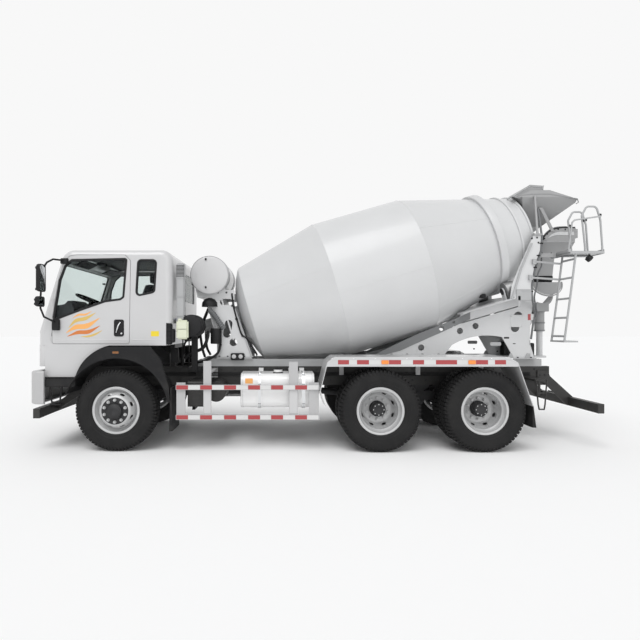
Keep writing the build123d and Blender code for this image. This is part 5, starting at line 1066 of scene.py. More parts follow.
def door_lining():
    """Inner door panel with its arm rest and pull."""
    shape = Shape()
    panel = [(-3545, 1460), (-3530, 1690), (-3200, 1825), (-2865, 1940), (-2640, 1975), (-2585, 2010),
             (-2560, 1460)]
    shape.prism(rounded(panel, 20), CAB_Y - 62, CAB_Y - 46)
    shape.bar((-3250, -CAB_Y + 60, 1640), (-2700, -CAB_Y + 100, 1690), 12)
    shape.bar((-3150, -CAB_Y + 60, 1500), (-2750, -CAB_Y + 84, 1590), 10)
    return shape


def cab_lining():
    """Head lining, rear wall, pillars and floor mat inside the cab."""
    shape = Shape()
    shape.bar((-3300, -995, 2590), (-2140, 995, 2603), 5)
    shape.bar((-2980, -990, 1452), (-2110, 990, 1462), 3)
    shape.bar((-3560, -990, 1452), (-2980, 990, 1460), 3)
    wall = oblong(-985, 985, 1730, 2470)
    glass = oblong(-755, 755, 1995, 2425)
    shape.plate(wall, [rounded(glass, 60)], 0, 8, (-2026, 0, 0), (0, 1, 0), (0, 0, 1))
    for side in (-1, 1):
        pillar = [(-2525, 1735), (-2030, 1735), (-2030, 2470), (-2120, 2590), (-2515, 2590)]
        hole = rounded(grown(SIDE_WINDOW, 14), 58)
        shape.plate(pillar, [hole], 0, 8, (0, side * 1002 + (8 if side < 0 else 0), 0))
    return shape


def sun_visors():
    """Folded visors above the windscreen and the reading lamp between them."""
    shape = Shape()
    folded = Matrix.Rotation(math.radians(-24), 3, "Y")
    for y in (-560, 560):
        shape.bar((-3370, y - 260, 2490), (-3210, y + 260, 2512), 8, folded)
    shape.bar((-3320, -70, 2560), (-3200, 70, 2592), 8)
    return shape


def dash_top():
    """Instrument hood and vents on the dash."""
    shape = Shape()
    hood = [(-3560, 1905), (-3480, 1985), (-3400, 1990), (-3345, 1942), (-3560, 1900)]
    shape.prism(rounded(hood, 12), 300, 740)
    for y in (-860, -160, 160, 420, 700):
        shape.bar((-3340, y - 60, 1885), (-3318, y + 60, 1925), 4)
    return shape


def steering_detail():
    """Rim grip, spokes, boss and column of the steering wheel."""
    shape = Shape()
    hub = Vector((-3225.0, -520.0, 1997.0))
    tilt = math.radians(24)
    axis = Vector((math.sin(tilt), 0, math.cos(tilt)))
    grip = [(math.sin(a) * 14.5, 225 + math.cos(a) * 14.5) for a in [math.pi * k / 8 for k in range(16)]]
    shape.turned(grip, hub, axis, 64)
    boss = [(-30, 40), (-24, 62), (0, 74), (10, 66), (16, 40), (17, 0), (-30, 0)]
    shape.lathed(boss, hub, axis, 40)
    u = Vector((0, 1, 0))
    v = axis.cross(u)
    for turn in (30, 150, 270):
        out = u * math.cos(math.radians(turn)) + v * math.sin(math.radians(turn))
        shape.tube([hub + out * 55 - axis * 6, hub + out * 140 + axis * 2, hub + out * 218], [15, 12, 9], 10)
    shape.tube([hub - axis * 20, hub - axis * 330], 31.5, 20)
    return shape


# Pads of a seat: name, ends in X, ends in Z and half width
SEAT_PADS = (
    ("cushion", -2930, -2440, 1755, 1880, 235),
    ("back", -2520, -2370, 1880, 2230, 235),
    ("head", -2440, -2340, 2235, 2385, 130),
)


def seat_pads():
    """Crowned cushions, back rests and head rests with their seams."""
    shape = Shape()
    for seat_y in SEAT_YS:
        for kind, x0, x1, z0, z1, half in SEAT_PADS:
            pad = bmesh.new()
            bmesh.ops.create_cube(pad, size=1.0)
            bmesh.ops.subdivide_edges(pad, edges=pad.edges[:], cuts=9, use_grid_fill=True)
            for vert in pad.verts:
                a, b, c = vert.co.x * 2, vert.co.y * 2, vert.co.z * 2
                pull = 1 - 0.05 * (b * b + c * c + a * a)
                seam = 1.0 - 0.06 * math.exp(-(((abs(b) - 0.62) / 0.06) ** 2))
                lean = {"cushion": 0, "back": (vert.co.z + 0.5) * 95, "head": 60}[kind]
                dish = -20 * a if kind == "cushion" else 0
                x = (x0 + x1) / 2 + a * pull * seam * (x1 - x0) / 2 + lean
                z = (z0 + z1) / 2 + c * pull * seam * (z1 - z0) / 2 + dish
                vert.co = Vector((x, seat_y + b * pull * half, z))
            axes = {"use_axis_x": True, "use_axis_y": True, "use_axis_z": True}
            bmesh.ops.smooth_vert(pad, verts=pad.verts[:], factor=0.5, **axes)
            shape.take(pad)
    return shape


def seat_frames():
    """Sprung pedestals under both seats."""
    shape = Shape()
    for seat_y in SEAT_YS:
        shape.bar((-2860, seat_y - 200, 1463), (-2470, seat_y + 200, 1500), 8)
        shape.bar((-2860, seat_y - 215, 1700), (-2460, seat_y + 215, 1752), 10)
        for n in range(6):
            inset = 10 if n % 2 else 0
            shape.bar((-2820 + inset, seat_y - 170 + inset, 1500 + n * 34),
                      (-2500 - inset, seat_y + 170 - inset, 1533 + n * 34), 9)
    return shape


def screen_seal():
    """Rubber round the windscreen, on the slanted front."""
    height = SCREEN_RISE.length - 110
    centre = SCREEN_FOOT + SCREEN_UP * (70 + height / 2)
    half, wide = height / 2, 935.0
    outline = oblong(-wide, wide, -half, half)
    shape = Shape()
    inner, outer = rounded(grown(outline, -14), 56), rounded(grown(outline, 16), 86)
    shape.frame_ring(outer, inner, -22, 4, centre, (0, -1, 0), tuple(SCREEN_UP), crown=4)
    return shape


def wipers():
    """Two wipers parked along the foot of the windscreen."""
    up = SCREEN_UP
    out = Vector((-up.z, 0, up.x))
    shape = Shape()
    for y in (-760, 60):
        pivot = SCREEN_FOOT + Vector((0, y, 0)) + up * 30 + out * 8
        tip = SCREEN_FOOT + Vector((0, y + 560, 0)) + up * 190 + out * 16
        middle = pivot.lerp(tip, 0.55)
        shape.tube([pivot, middle + out * 22, tip + out * 16], [12, 7, 6], 8)
        shape.tube([pivot - out * 6, pivot + out * 26], 18, 16)
        across = (tip - pivot).normalized()
        start, end = middle - across * 330, middle + across * 330
        shape.tube([start + out * 2, middle + out * 10, end + out * 2], [3, 7, 3], 8)
        shape.tube([start - out * 4, end - out * 4], 3.5, 6)
    return shape


def front_face():
    """Grille slats, black mouth and handles on the front panel."""
    shape = Shape()
    for row in range(5):
        z = 1180 + row * 62
        shape.bar((CAB_FRONT - 30, -636, z + 3), (CAB_FRONT - 8, 636, z + 31), 2)
        slat = Matrix.Rotation(math.radians(18), 3, "Y")
        shape.bar((CAB_FRONT - 36, -634, z + 13), (CAB_FRONT - 20, 634, z + 20), 2, slat)
    for side in (-1, 1):
        run = [(CAB_FRONT - 22, side * 700, 1560), (CAB_FRONT - 60, side * 710, 1556),
               (CAB_FRONT - 60, side * 900, 1556), (CAB_FRONT - 22, side * 910, 1560)]
        shape.tube(bent(run, 18), 8, 10)
    return shape


def brow_lamps():
    """Small marker lamps on the roof's front edge."""
    shape = Shape()
    for y in (-820, -420, 420, 820):
        shape.bar((-3345, y - 40, 2642), (-3300, y + 40, 2668), 9)
    return shape


def step_box():
    """Black entry step below the door's front, with its tread and wire loop."""
    shape = Shape()
    shape.bar((-3655, -1120, 835), (-3235, -760, 955), 14)
    for n in range(9):
        shape.bar((-3630 + n * 44, -1118, 954), (-3612 + n * 44, -820, 960), 1)
    loop = [(-3575, -1090, 850), (-3575, -1090, 610), (-3415, -1090, 610), (-3415, -1090, 850)]
    shape.tube(bent(loop, 28), 11, 10)
    shape.bar((-3570, -1112, 600), (-3420, -1062, 616), 3)
    return shape


on_side(lambda: window_seal(DOOR_WINDOW, 13, 15, 34, 12), "door_seal", "door", "rubber", "dark_plastic")
on_side(lambda: window_seal(SIDE_WINDOW, 12, 14, 58, 34), "quarter_seal", "cab", "rubber", "dark_plastic")
on_side(handle_bezel, "handle_dish", "door", "plastic", "dark_plastic")
on_side(handle_lever, "handle_lever", "door", "chrome", "grey_paint")
on_side(lambda: crease(-2515, -2400, -2100, -2065), "cab_crease", "cab", "white", "white_paint")
on_side(lambda: crease(-3530, -3300, -2900, -2562), "door_crease", "door", "white", "white_paint")
on_side(door_hinges, "door_hinge_covers", "cab", "white", "white_paint")
on_side(mirror_arm, "mirror_arm", "door", "plastic", "dark_plastic", ["mirror"])
on_side(mirror_heads, "mirror_housings", "door", "plastic", "dark_plastic")
on_side(mirror_glasses, "mirror_glass", "door", "mirror", "dark_plastic")
on_side(door_lining, "door_lining", "door", "interior", "interior")
for side, word in SIDES:
    side_graphic(side, word)
small_label().piece("cab_label", "cab", "yellow", "white_paint")
cab_lining().piece("cab_lining", "cab", "interior", "interior")
sun_visors().piece("sun_visors", "cab", "interior", "interior")
dash_top().piece("dash_details", "cab", "interior", "interior")
steering_detail().piece("steering_wheel_detail", "cab", "rubber", "interior", stands_for=["steering_wheel"])
pads = seat_pads().piece("seat_pads", "cab", "seat", "interior", 60, ["seats"])
seat_frames().piece("seat_frames", "cab", "interior", "interior")
screen_seal().piece("windscreen_seal", "cab", "rubber", "dark_plastic")
wipers().piece("wipers", "cab", "plastic", "dark_plastic")
front_face().piece("front_grille", "cab", "plastic", "dark_plastic")
brow_lamps().piece("brow_lamps", "cab", "amber_lens", "lamp")
step_box().piece("entry_steps_left", "chassis", "plastic", "dark_plastic")
step_box().flipped().piece("entry_steps_right", "chassis", "plastic", "dark_plastic")

# Drum, along its own axis from its centre
TILT = math.radians(16.39)
DRUM_CENTRE = Vector((450.0, 0.0, 2254.0))
DRUM_AXIS = Vector((math.cos(TILT), 0.0, math.sin(TILT)))
DRUM_UP = Vector((-math.sin(TILT), 0.0, math.cos(TILT)))
DRUM_WALL = 8.0
DRUM_LINE = [(-1679.0, 0.0), (-1667.0, 190.0), (-1628.0, 400.0), (-1572.0, 560.0), (-1512.0, 680.0),
             (-1489.0, 711.0), (-257.0, 1023.0), (1041.0, 1013.0), (2677.0, 577.0)]
RING_S, RING_R = 2134.0, 774.0
# Mixing blades: start and run on the axis, the turn in degrees on the way, steps of the run and depth
BLADE_START, BLADE_RUN, BLADE_TURN = 560, 2030, 700
BLADE_STEPS = 120
BLADE_DEPTH = 330
# Middle of the hatch on the axis and its turn in degrees
HATCH_S, HATCH_TURN = 390, 196
ROLLER_R = 120.0
ROLLER_TURN = 35


def drum_r(s):
    """Outer radius of the drum's skin at a place on its axis."""
    for (s0, r0), (s1, r1) in zip(DRUM_LINE, DRUM_LINE[1:]):
        if s0 <= s <= s1:
            return r0 + (r1 - r0) * (s - s0) / (s1 - s0)
    return 0.0


def drum_point(s, r, turn):
    """Point in the drum's frame; turn in degrees, 0 on the left side and 90 on top."""
    a = math.radians(turn)
    return DRUM_CENTRE + DRUM_AXIS * s + Vector((0, -1, 0)) * (r * math.cos(a)) + DRUM_UP * (r * math.sin(a))


def drum_pieces():
    """Skin with its rolled seams and ribs, track ring, drive flange, mixing blades and hatch."""
    skin = Shape()
    outside = DRUM_LINE[:5] + [(-1496.0, 700.0), (-1491.5, 706.0), (-1487.0, 711.5)]
    for s in (-257.0, 1041.0):
        r = drum_r(s)
        outside += [(s - 5, drum_r(s - 5)), (s, r + 2.5), (s + 5, drum_r(s + 5))]
    for s in (2467.0, 2647.0):
        r = drum_r(s)
        outside += [(s - 16, drum_r(s - 16)), (s - 13, r + 17), (s - 10, r + 20), (s + 10, r + 20),
                    (s + 13, r + 17), (s + 16, drum_r(s + 16))]
    outside += [(2674.0, 577.5), (2677.0, 574.0)]
    inside = [(2677.0, 571.0), (1041.0, 1005.0), (-257.0, 1015.0), (-1485.0, 703.0), (-1560.0, 560.0),
              (-1620.0, 400.0), (-1671.0, 0.0)]
    skin.lathed(outside + inside, DRUM_CENTRE, DRUM_AXIS, 180)
    parts = [skin.loose("skin", "drum", 24)]
    seams = Shape()
    for s0, s1, turns in ((-1480, -262, (15, -68, 140)), (-252, 1036, (-6, 114, 234)),
                          (1046, 2060, (25, -43, 150))):
        places = [s0 + (s1 - s0) * k / 10 for k in range(11)]
        for turn in turns:
            seams.tube([drum_point(s, drum_r(s) - 1.2, turn) for s in places], 3.6, 6)
    parts.append(seams.loose("seams", "drum", 60))
    ring = [(RING_S - 55, 716), (RING_S - 55, RING_R - 8), (RING_S - 49, RING_R - 1), (RING_S - 44, RING_R),
            (RING_S + 44, RING_R), (RING_S + 49, RING_R - 1), (RING_S + 55, RING_R - 8), (RING_S + 55, 716)]
    parts.append(Shape().turned(ring, DRUM_CENTRE, DRUM_AXIS, 180).loose("ring", "ring_paint", 30))
    web = [(RING_S - 92, drum_r(RING_S - 92) - 2), (RING_S - 30, 732), (RING_S + 30, 732),
           (RING_S + 74, drum_r(RING_S + 74) - 2)]
    parts.append(Shape().turned(web, DRUM_CENTRE, DRUM_AXIS, 180).loose("ring_foot", "drum", 30))
    drive = Shape()
    drive.lathed([(-1760, 0), (-1760, 206), (-1756, 210), (-1724, 210), (-1720, 206), (-1720, 170),
                  (-1650, 176), (-1650, 0)],
                 DRUM_CENTRE, DRUM_AXIS, 72)
    drive.lathed([(-1860, 0), (-1860, 60), (-1750, 60), (-1750, 0)], DRUM_CENTRE, DRUM_AXIS, 40)
    parts.append(drive.loose("drive", "ring_paint", 30))
    bolt = Shape()
    spot = drum_point(-1718, 188, 90)
    bolt.turned([(0, 0), (14, 0), (14, 9), (10, 12), (0, 12)], spot - DRUM_AXIS * 3, DRUM_AXIS, 6)
    parts.append(repeated(bolt.loose("bolts", "steel"), 18, DRUM_CENTRE, DRUM_AXIS))
    blades = Shape()
    for start in (0, 180):
        rows = []
        for k in range(BLADE_STEPS + 1):
            s = BLADE_START + BLADE_RUN * k / BLADE_STEPS
            turn = start + BLADE_TURN * k / BLADE_STEPS
            outer = drum_r(s) - DRUM_WALL + 2
            inner = max(388, outer - BLADE_DEPTH)
            corners = ((s - 3, inner), (s - 3, outer), (s + 3, outer), (s + 3, inner))
            rows.append([drum_point(along, r, turn) for along, r in corners])
        blades.capped(rows)
    parts.append(blades.loose("blades", "track", 60))
    hatch = Shape()
    rows = []
    for grow, lift in ((0, -3), (0, 12), (-14, 16), (-14, 9)):
        row = []
        for a, b in rounded([(-260 - grow, -15 - grow / 17), (260 + grow, -15 - grow / 17),
                             (260 + grow, 15 + grow / 17), (-260 - grow, 15 + grow / 17)], 1.0, 3):
            s = HATCH_S + a
            row.append(drum_point(s, drum_r(s) + lift, HATCH_TURN + b))
        rows.append(row)
    hatch.capped(rows, near=False)
    parts.append(hatch.loose("hatch", "drum", 40))
    joined("drum_shell", parts, "drum", ["drum"])


# Rear pedestal's plate plane, and the dark strip along its upper edge that is painted shade for the gap above
# the plate's edge
PEDESTAL_Y = 450.0
UPRIGHT_Y = 665.0
SHADE_BAND_TOP = [(840, 1240), (1000, 1322), (1174, 1408), (1400, 1512), (1605, 1596), (1749, 1652), (1960, 1742),
            (2180, 1836)]
SHADE_BAND_LOW = [(840, 1190), (1000, 1240), (1174, 1284), (1400, 1386), (1605, 1478), (1749, 1540), (1960, 1640),
            (2180, 1738)]


def rear_pedestal_shade_strip():
    """Dark strip along the pedestal's upper edge with two holes: painted shade for the shadowed gap behind
    the plate's edge.
    """
    shape = Shape()
    outline = SHADE_BAND_LOW + list(reversed(SHADE_BAND_TOP))
    holes = []
    for x, z, r in ((1768, 1603, 33), (1945, 1690, 20)):
        holes.append(circle(x, z, r, 24))
    return shape.plate(outline, holes, PEDESTAL_Y - 12, PEDESTAL_Y + 7)


def rear_pedestal_trim():
    """Boxes, black patches of painted shade for slots and holes, pads, gussets, ribs and bolts on the rear
    pedestal.
    """
    group = Group()
    box = group.shape("grey", 30, both=True)
    box.bar((2738, -690, 1992), (2950, -679.3, 2150), 6)
    box.bar((2812, -694, 2122), (2930, -688, 2134), 2)
    box.bar((2760, -690, 1900), (2800, -679.3, 2060), 4)
    # Thin black patches on the plate are painted shade standing for slots and holes; the two bars after them
    # are black boxes
    slots = group.shape("plastic", 30, both=True)
    slots.prism(rounded(oblong(2668, 2742, 1458, 1482), 6), PEDESTAL_Y - 2, PEDESTAL_Y + 1)
    slots.prism(rounded(oblong(2795, 2835, 1380, 1392), 5), PEDESTAL_Y - 2, PEDESTAL_Y + 1)
    for x, z in ((1450, 1214), (2572, 1276)):
        slots.prism(circle(x, z, 13, 16), PEDESTAL_Y - 2, PEDESTAL_Y + 1)
    slots.bar((2985, -440, 1160), (3112, -300, 1395), 8)
    slots.bar((2328, -449, 2045), (2412, -380, 2100), 6)
    pads = group.shape("grey", 30, both=True)
    pads.prism(rounded(oblong(2470, 2625, 1356, 1408), 18), PEDESTAL_Y - 2, PEDESTAL_Y + 3)
    for x0, z0, x1, z1 in ((3028, 1362, 3048, 1436), (3028, 1180, 3048, 1250)):
        pads.bar((x0, -452, z0), (x1, -300, z1), 3)
    pads.bar((2500, -520, 1166), (3105, -452, 1182), 3)
    for x in (1010, 1230, 1450, 1680, 2720, 2960):
        pads.prism([(x, 1180), (x + 90, 1180), (x + 55, 1250), (x + 35, 1250)], PEDESTAL_Y - 1,
                   PEDESTAL_Y + 10)
    ribs = ((2665, 2015, 2790, 2440, 26), (2798, 2450, 2940, 2790, 26))
    for x0, z0, x1, z1, wide in ribs:
        pads.prism([(x0, z0), (x0 + wide, z0), (x1 + wide, z1), (x1, z1)], UPRIGHT_Y + 12, UPRIGHT_Y + 34)
    heads = group.shape("steel", both=True)
    for x in (900, 1120, 1340, 1560, 2640, 2860, 3050):
        heads.bolt((x, -PEDESTAL_Y - 16, 1182), (0, 0, 1), 11, 14)
    for x, z in ((2700, 2040), (2840, 2080), (2920, 2300), (2990, 2560), (3050, 2800), (3030, 2870),
                 (2960, 2860)):
        heads.bolt((x, -679, z), (0, -1, 0), 10, 9)
    group.piece("rear_pedestal_trim", "chassis", "grey_paint")


def roller_trim():
    """Bearing caps over the ends of the rollers' pins, with their bolts."""
    shape = Shape()
    reach = RING_R + ROLLER_R + 0.5
    for side in (-1, 1):
        a = math.radians(ROLLER_TURN)
        outwards = Vector((0, side, 0)) * reach * math.sin(a)
        pin = DRUM_CENTRE + DRUM_AXIS * RING_S - DRUM_UP * reach * math.cos(a) + outwards
        for way in (-1, 1):
            face = pin + DRUM_AXIS * way * 95
            shape.lathed([(0, 50), (0, 46), (8, 44), (10, 30), (10, 0), (-2, 0), (-2, 50)], face,
                         DRUM_AXIS * way, 32)
            for k in range(4):
                t = math.radians(45 + 90 * k)
                spot = face + Vector((0, 1, 0)) * math.cos(t) * 38 + DRUM_UP * math.sin(t) * 38
                shape.bolt(spot + DRUM_AXIS * way * 5, DRUM_AXIS * way, 7, 6)
    return shape


def front_pedestal_trim():
    """Edge beads, ribs, control box, bolts and the cable down the sloping edge."""
    group = Group()
    trim = group.shape("grey", 30, both=True)
    trim.prism([(-1455, 1180), (-952, 1180), (-968, 1200), (-1455, 1200)], PEDESTAL_Y - 2, PEDESTAL_Y + 26)
    trim.prism([(-1436, 1300), (-1408, 1300), (-1540, 1940), (-1566, 1940)], PEDESTAL_Y - 2, PEDESTAL_Y + 14)
    trim.prism([(-968, 1196), (-940, 1196), (-1190, 1890), (-1204, 1880)], PEDESTAL_Y - 2, PEDESTAL_Y + 14)
    heads = group.shape("steel", both=True)
    for x in (-1420, -1300, -1180, -1060):
        heads.bolt((x, -PEDESTAL_Y - 14, 1200), (0, 0, 1), 11, 14)
    for x, z in ((-1560, 2120), (-1440, 2120), (-1320, 2120), (-1240, 2100), (-1240, 1930), (-1580, 1990)):
        heads.bolt((x, -PEDESTAL_Y, z), (0, -1, 0), 10, 9)
    box = group.shape("plastic", 30)
    box.bar((-1256, -500, 1150), (-1060, -452, 1252), 10)
    dials = group.shape("white")
    for x in (-1208, -1112):
        dials.lathed([(0, 30), (8, 30), (10, 26), (10, 0), (0, 0)], (x, -499, 1204), (0, -1, 0), 28)
        dials.bar((x - 5, -522, 1180), (x + 5, -506, 1228), 2)
    cable = group.shape("rubber", 60)
    run = swept([(-1240, -462, 2090), (-1212, -462, 1900), (-1128, -462, 1590), (-1085, -462, 1500),
                 (-1030, -462, 1460), (-900, -462, 1268), (-880, -462, 1215)], 6)
    cable.tube(run, 12, 10)
    for x, z in ((-1225, 2000), (-1170, 1740), (-1078, 1495), (-955, 1350)):
        cable.bar((x - 24, -470, z - 10), (x + 18, -449, z + 10), 3)
    group.piece("front_pedestal_trim", "chassis", "grey_paint")


TANK_R = 269


def tank_pieces():
    """Water tank with domed ends, seam, straps, filler and gauge."""
    centre = (-1550.0, 0.0, 2362.0)
    half = [(0, TANK_R), (300, TANK_R), (545, TANK_R), (550, 267), (556, 262), (560, 250), (566, 220),
            (572, 160), (575, 80), (576, 0)]
    profile = other_half(half[1:]) + half[1:]
    parts = [Shape().lathed(profile, centre, (0, 1, 0), 112).loose("shell", "white", 30)]
    bands = Shape()
    for y in (-360.0, 360.0):
        band = [(-26, TANK_R), (-26, 273), (-22, 275), (22, 275), (26, 273), (26, TANK_R)]
        bands.turned(band, (centre[0], y, centre[2]), (0, 1, 0), 112)
    for y in (-551.0, 551.0):
        bands.turned([(-5, 268), (-3, 272), (3, 272), (5, 268)], (centre[0], y, centre[2]), (0, 1, 0), 112)
    parts.append(bands.loose("bands", "grey", 30))
    fittings = Shape()
    for side in (-1, 1):
        for z in (centre[2] + 222, centre[2] - 176):
            fittings.bar((-1612, side * 553, z - 16), (-1588, side * 584, z + 16), 5)
    fittings.lathed([(0, 62), (26, 62), (30, 56), (30, 40), (44, 40), (48, 34), (48, 0), (0, 0)],
                    (centre[0], -180, centre[2] + 262), (0, 0, 1), 32)
    fittings.tube(bent([(-1790, -420, 2480), (-1835, -420, 2480), (-1835, -420, 2220), (-1790, -420, 2220)],
                       20), 9, 10)
    fittings.tube(bent([(-1560, -150, 2100), (-1560, -150, 2020), (-1650, -150, 1960), (-1700, -150, 1700)],
                       50), 22, 12)
    parts.append(fittings.loose("fittings", "plastic", 40))
    joined("water_tank_shell", parts, "chassis", ["water_tank"])


def gearbox_trim():
    """Ribs, collars, cover bolts and hoses of the drum's drive."""
    parts = []
    ribs = Shape()
    for k in range(10):
        turn = 360 * k / 10
        ribs.tube([drum_point(-1872, 200, turn), drum_point(-2040, 200, turn)], 9, 6)
    for s, r in ((-1872, 212), (-2046, 209)):
        ribs.turned([(-6, 180), (-6, r), (6, r), (6, 180)], DRUM_CENTRE + DRUM_AXIS * s, DRUM_AXIS, 64)
    plug = [(-2060, 0), (-2060, 120), (-2052, 124), (-2050, 124), (-2050, 0)]
    ribs.lathed(plug, DRUM_CENTRE, DRUM_AXIS, 40)
    parts.append(ribs.loose("ribs", "grey", 30))
    spot = drum_point(-1850, 232, 90)
    bolt = Shape().bolt(spot, -DRUM_AXIS, 11, 14)
    parts.append(repeated(bolt.loose("bolts", "steel"), 20, DRUM_CENTRE, DRUM_AXIS))
    hoses = Shape()
    for k, y in enumerate((-60, 60)):
        start = drum_point(-2200, 0, 0) + Vector((0, y, 0))
        run = swept([start, start + Vector((-70, 0, -60)), (-1750 + 40 * k, y * 3, 1640),
                     (-1700, y * 4, 1330), (-1650, y * 5, 1190)], 7)
        hoses.tube(run, 19, 12)
    parts.append(hoses.loose("hoses", "rubber", 60))
    joined("drive_trim", parts, "chassis")


drum_pieces()
# The strips are painted shade: dark sheets in the gap along the pedestals' upper edges
rear_pedestal_shade_strip().mirrored().piece("rear_pedestal_shade_strips", "chassis", "dark_grey_and_shade", "grey_paint", 30)
rear_pedestal_trim()
roller_trim().piece("roller_bearings", "chassis", "steel", "grey_paint")
front_pedestal_trim()
tank_pieces()
gearbox_trim()

# Hopper, collector, chute, ladder and the frame's tail
HOPPER_Y = 500.0


def hopper_trim():
    """Rolled rims, ribs in the throat, the hood's edges and bolts of the charging hopper."""
    group = Group()
    rims = group.shape("low_grey", 40)
    for side in (-1, 1):
        y = side * (HOPPER_Y - 4)
        run = [(2856, y, 3500), (3032, y, 3581), (3300, y, 3581), (3697, y, 3455)]
        rims.tube(bent(run, 60), 8, 10)
        rims.tube([(3697, y, 3455), (3712, y, 3405), (3690, side * 470, 3392)], 7, 8)
    rims.tube([(3694, -492, 3452), (3700, 0, 3452), (3694, 492, 3452)], 8, 10)
    ribs = group.shape("dark_grey_and_shade", 30)
    for z, y in ((3300, 355), (3190, 275)):
        ribs.bar((3010, -y, z - 6), (3022, y, z + 6), 3)
    hood = group.shape("grey", 40)
    for side in (-1, 1):
        y = side * 451
        run = [(2793, y, 3502), (3038, y, 3670), (3236, y, 3655), (3234, y, 3578)]
        hood.tube(bent(run, 24), 6, 8)
    hood.tube([(2793, -449, 3501), (2793, 449, 3501)], 6, 8)
    hood.tube([(3237, -449, 3654), (3237, 449, 3654)], 6, 8)
    heads = group.shape("steel")
    for side in (-1, 1):
        for x in (3002, 3068):
            heads.bolt((x, side * 652, 2924), (0, 0, 1), 10, 10)
        for x in (3195, 3221):
            heads.bolt((x, side * 478, 3577), (0, 0, 1), 7, 8)
    group.piece("hopper_trim", "chassis", "white_paint")


def collector_trim():
    """Rubber edge and pale band of the arch, seam folds, the outlet's rubber boot and bolts."""
    group = Group()
    band = group.shape("pale_grey", 40)
    edge = group.shape("rubber", 50)
    folds = group.shape("grey", 40)
    boot = group.shape("flap", 60)
    heads = group.shape("steel")
    for side in (-1, 1):
        y = side * 431
        run = swept([(3240, y, 2880), (3262, y, 2940), (3345, y, 3014), (3430, y, 3045), (3520, y, 3060),
                     (3700, y, 3060)], 6)
        edge.tube(run, 9, 8)
    edge.bar((3560, -352, 2925), (3600, 352, 3062), 4)
    for side in (-1, 1):
        top = swept([(3262, 0, 2930), (3350, 0, 3002), (3440, 0, 3034), (3540, 0, 3046), (3690, 0, 3046)], 6)
        low = swept([(3290, 0, 2890), (3372, 0, 2934), (3450, 0, 2950), (3540, 0, 2950), (3690, 0, 2950)], 6)
        rows = []
        for a, b in zip(top, low):
            rows.append([Vector((p.x, side * y, p.z)) for p, y in ((a, 421), (a, 425), (b, 425), (b, 421))])
        band.capped(rows)
    for side in (-1, 1):
        for (x0, y0, z0), (x1, y1, z1) in (
            ((3250, 421, 2852), (3690, 421, 2852)),
            ((3225, 212, 2648), (3520, 212, 2648)),
            ((3214, 151, 2362), (3516, 151, 2362)),
        ):
            folds.tube([(x0, side * y0, z0), (x1, side * y1, z1)], 5, 8)
    folds.tube([(3192, -150, 2352), (3518, -150, 2352), (3518, 150, 2352), (3192, 150, 2352)], 8, 8)
    outer = oblong(3195, 3528, -158, 158)
    rows = []
    for grow, z in ((2, 2390), (4, 2350), (-6, 2300), (-12, 2296), (-12, 2350)):
        rows.append([(a, b, z) for a, b in rounded(grown(outer, grow), 24, 4)])
    boot.skin(rows, around=True)
    for side in (-1, 1):
        for x, z in ((3262, 2900), (3300, 2965), (3370, 3010), (3460, 3035), (3560, 3030), (3650, 3030)):
            heads.bolt((x, side * 430, z), (0, side, 0), 8, 8)
        for x in (3030, 3120, 3250):
            heads.bolt((x, side * 640, 2657), (0, 0, 1), 10, 10)
    group.piece("collector_trim", "chassis", "white_paint")


CHUTE_DIR = Vector((0.0, math.cos(math.radians(28)), -math.sin(math.radians(28))))
CHUTE_UP = Vector((0.0, math.sin(math.radians(28)), math.cos(math.radians(28))))
CHUTE_HEAD = Vector((3400.0, -200.0, 2300.0))


def chute_point(along, turn, r):
    """Point of the trough: along it, round from its bottom, and its radius."""
    a = math.radians(turn)
    sideways = Vector((1, 0, 0)) * (r * math.sin(a))
    return CHUTE_HEAD + CHUTE_DIR * along + sideways - CHUTE_UP * (r * math.cos(a))


def chute_trim():
    """Rolled edges, hoop ribs, head guard, handle, hinge and screw jack of the swing chute."""
    group = Group()
    rim = group.shape("mid_grey", 40)
    for turn in (-89, 89):
        rim.tube([chute_point(a, turn, 233) for a in (4, 600, 1146)], 9, 10)
    for along in (14, 330, 700, 1060, 1138):
        rows = []
        for out, side in ((234, -11), (244, -11), (244, 11), (234, 11)):
            rows.append([chute_point(along + side, -88 + 176 * k / 24, out) for k in range(25)])
        rim.skin(rows, along=True)
    guard = group.shape("mid_grey", 40)
    rows = [[chute_point(along, -88 + 176 * k / 32, 226) for k in range(33)] for along in (3, 7)]
    guard.capped(rows)
    arm = group.shape("dark_grey_and_shade", 40)
    handle = ((1100, -245, -10), (1210, -245, -20), (1210, 245, -20), (1100, 245, -10))
    arm.tube([CHUTE_HEAD + CHUTE_DIR * along + Vector((x, 0, z)) for along, x, z in handle], 10, 10)
    foot = Vector((3400, 105, 1760))
    head = chute_point(520, 0, 246)
    arm.tube([foot, foot.lerp(head, 0.45)], 26, 16)
    arm.tube([foot.lerp(head, 0.4), head], 15, 14)
    arm.tube([foot + Vector((-60, 0, 0)), foot + Vector((60, 0, 0))], 18, 14)
    arm.tube([head + Vector((-70, 0, 0)), head + Vector((70, 0, 0))], 14, 14)
    for side in (-1, 1):
        cheek = [(60, 1700), (125, 1735), (125, 1790), (60, 1830)]
        arm.prism(cheek, side * 40 + 3400, side * 50 + 3400, (0, 0, 0), (0, 1, 0), (0, 0, 1))
    for z in (1575, 1690, 1860):
        arm.turned([(-9, 68), (-9, 78), (9, 78), (9, 68)], (3400, 0, z), (0, 0, 1), 48)
    group.piece("chute_trim", "swing_chute", "white_paint")


# Heights of the ladder's rungs, and the foot and lean of the line that they follow
RUNGS_Z = (1500, 1750, 2010, 2290, 2540)
LADDER_X, LADDER_Z, LADDER_LEAN = 3262, 1430, 0.133


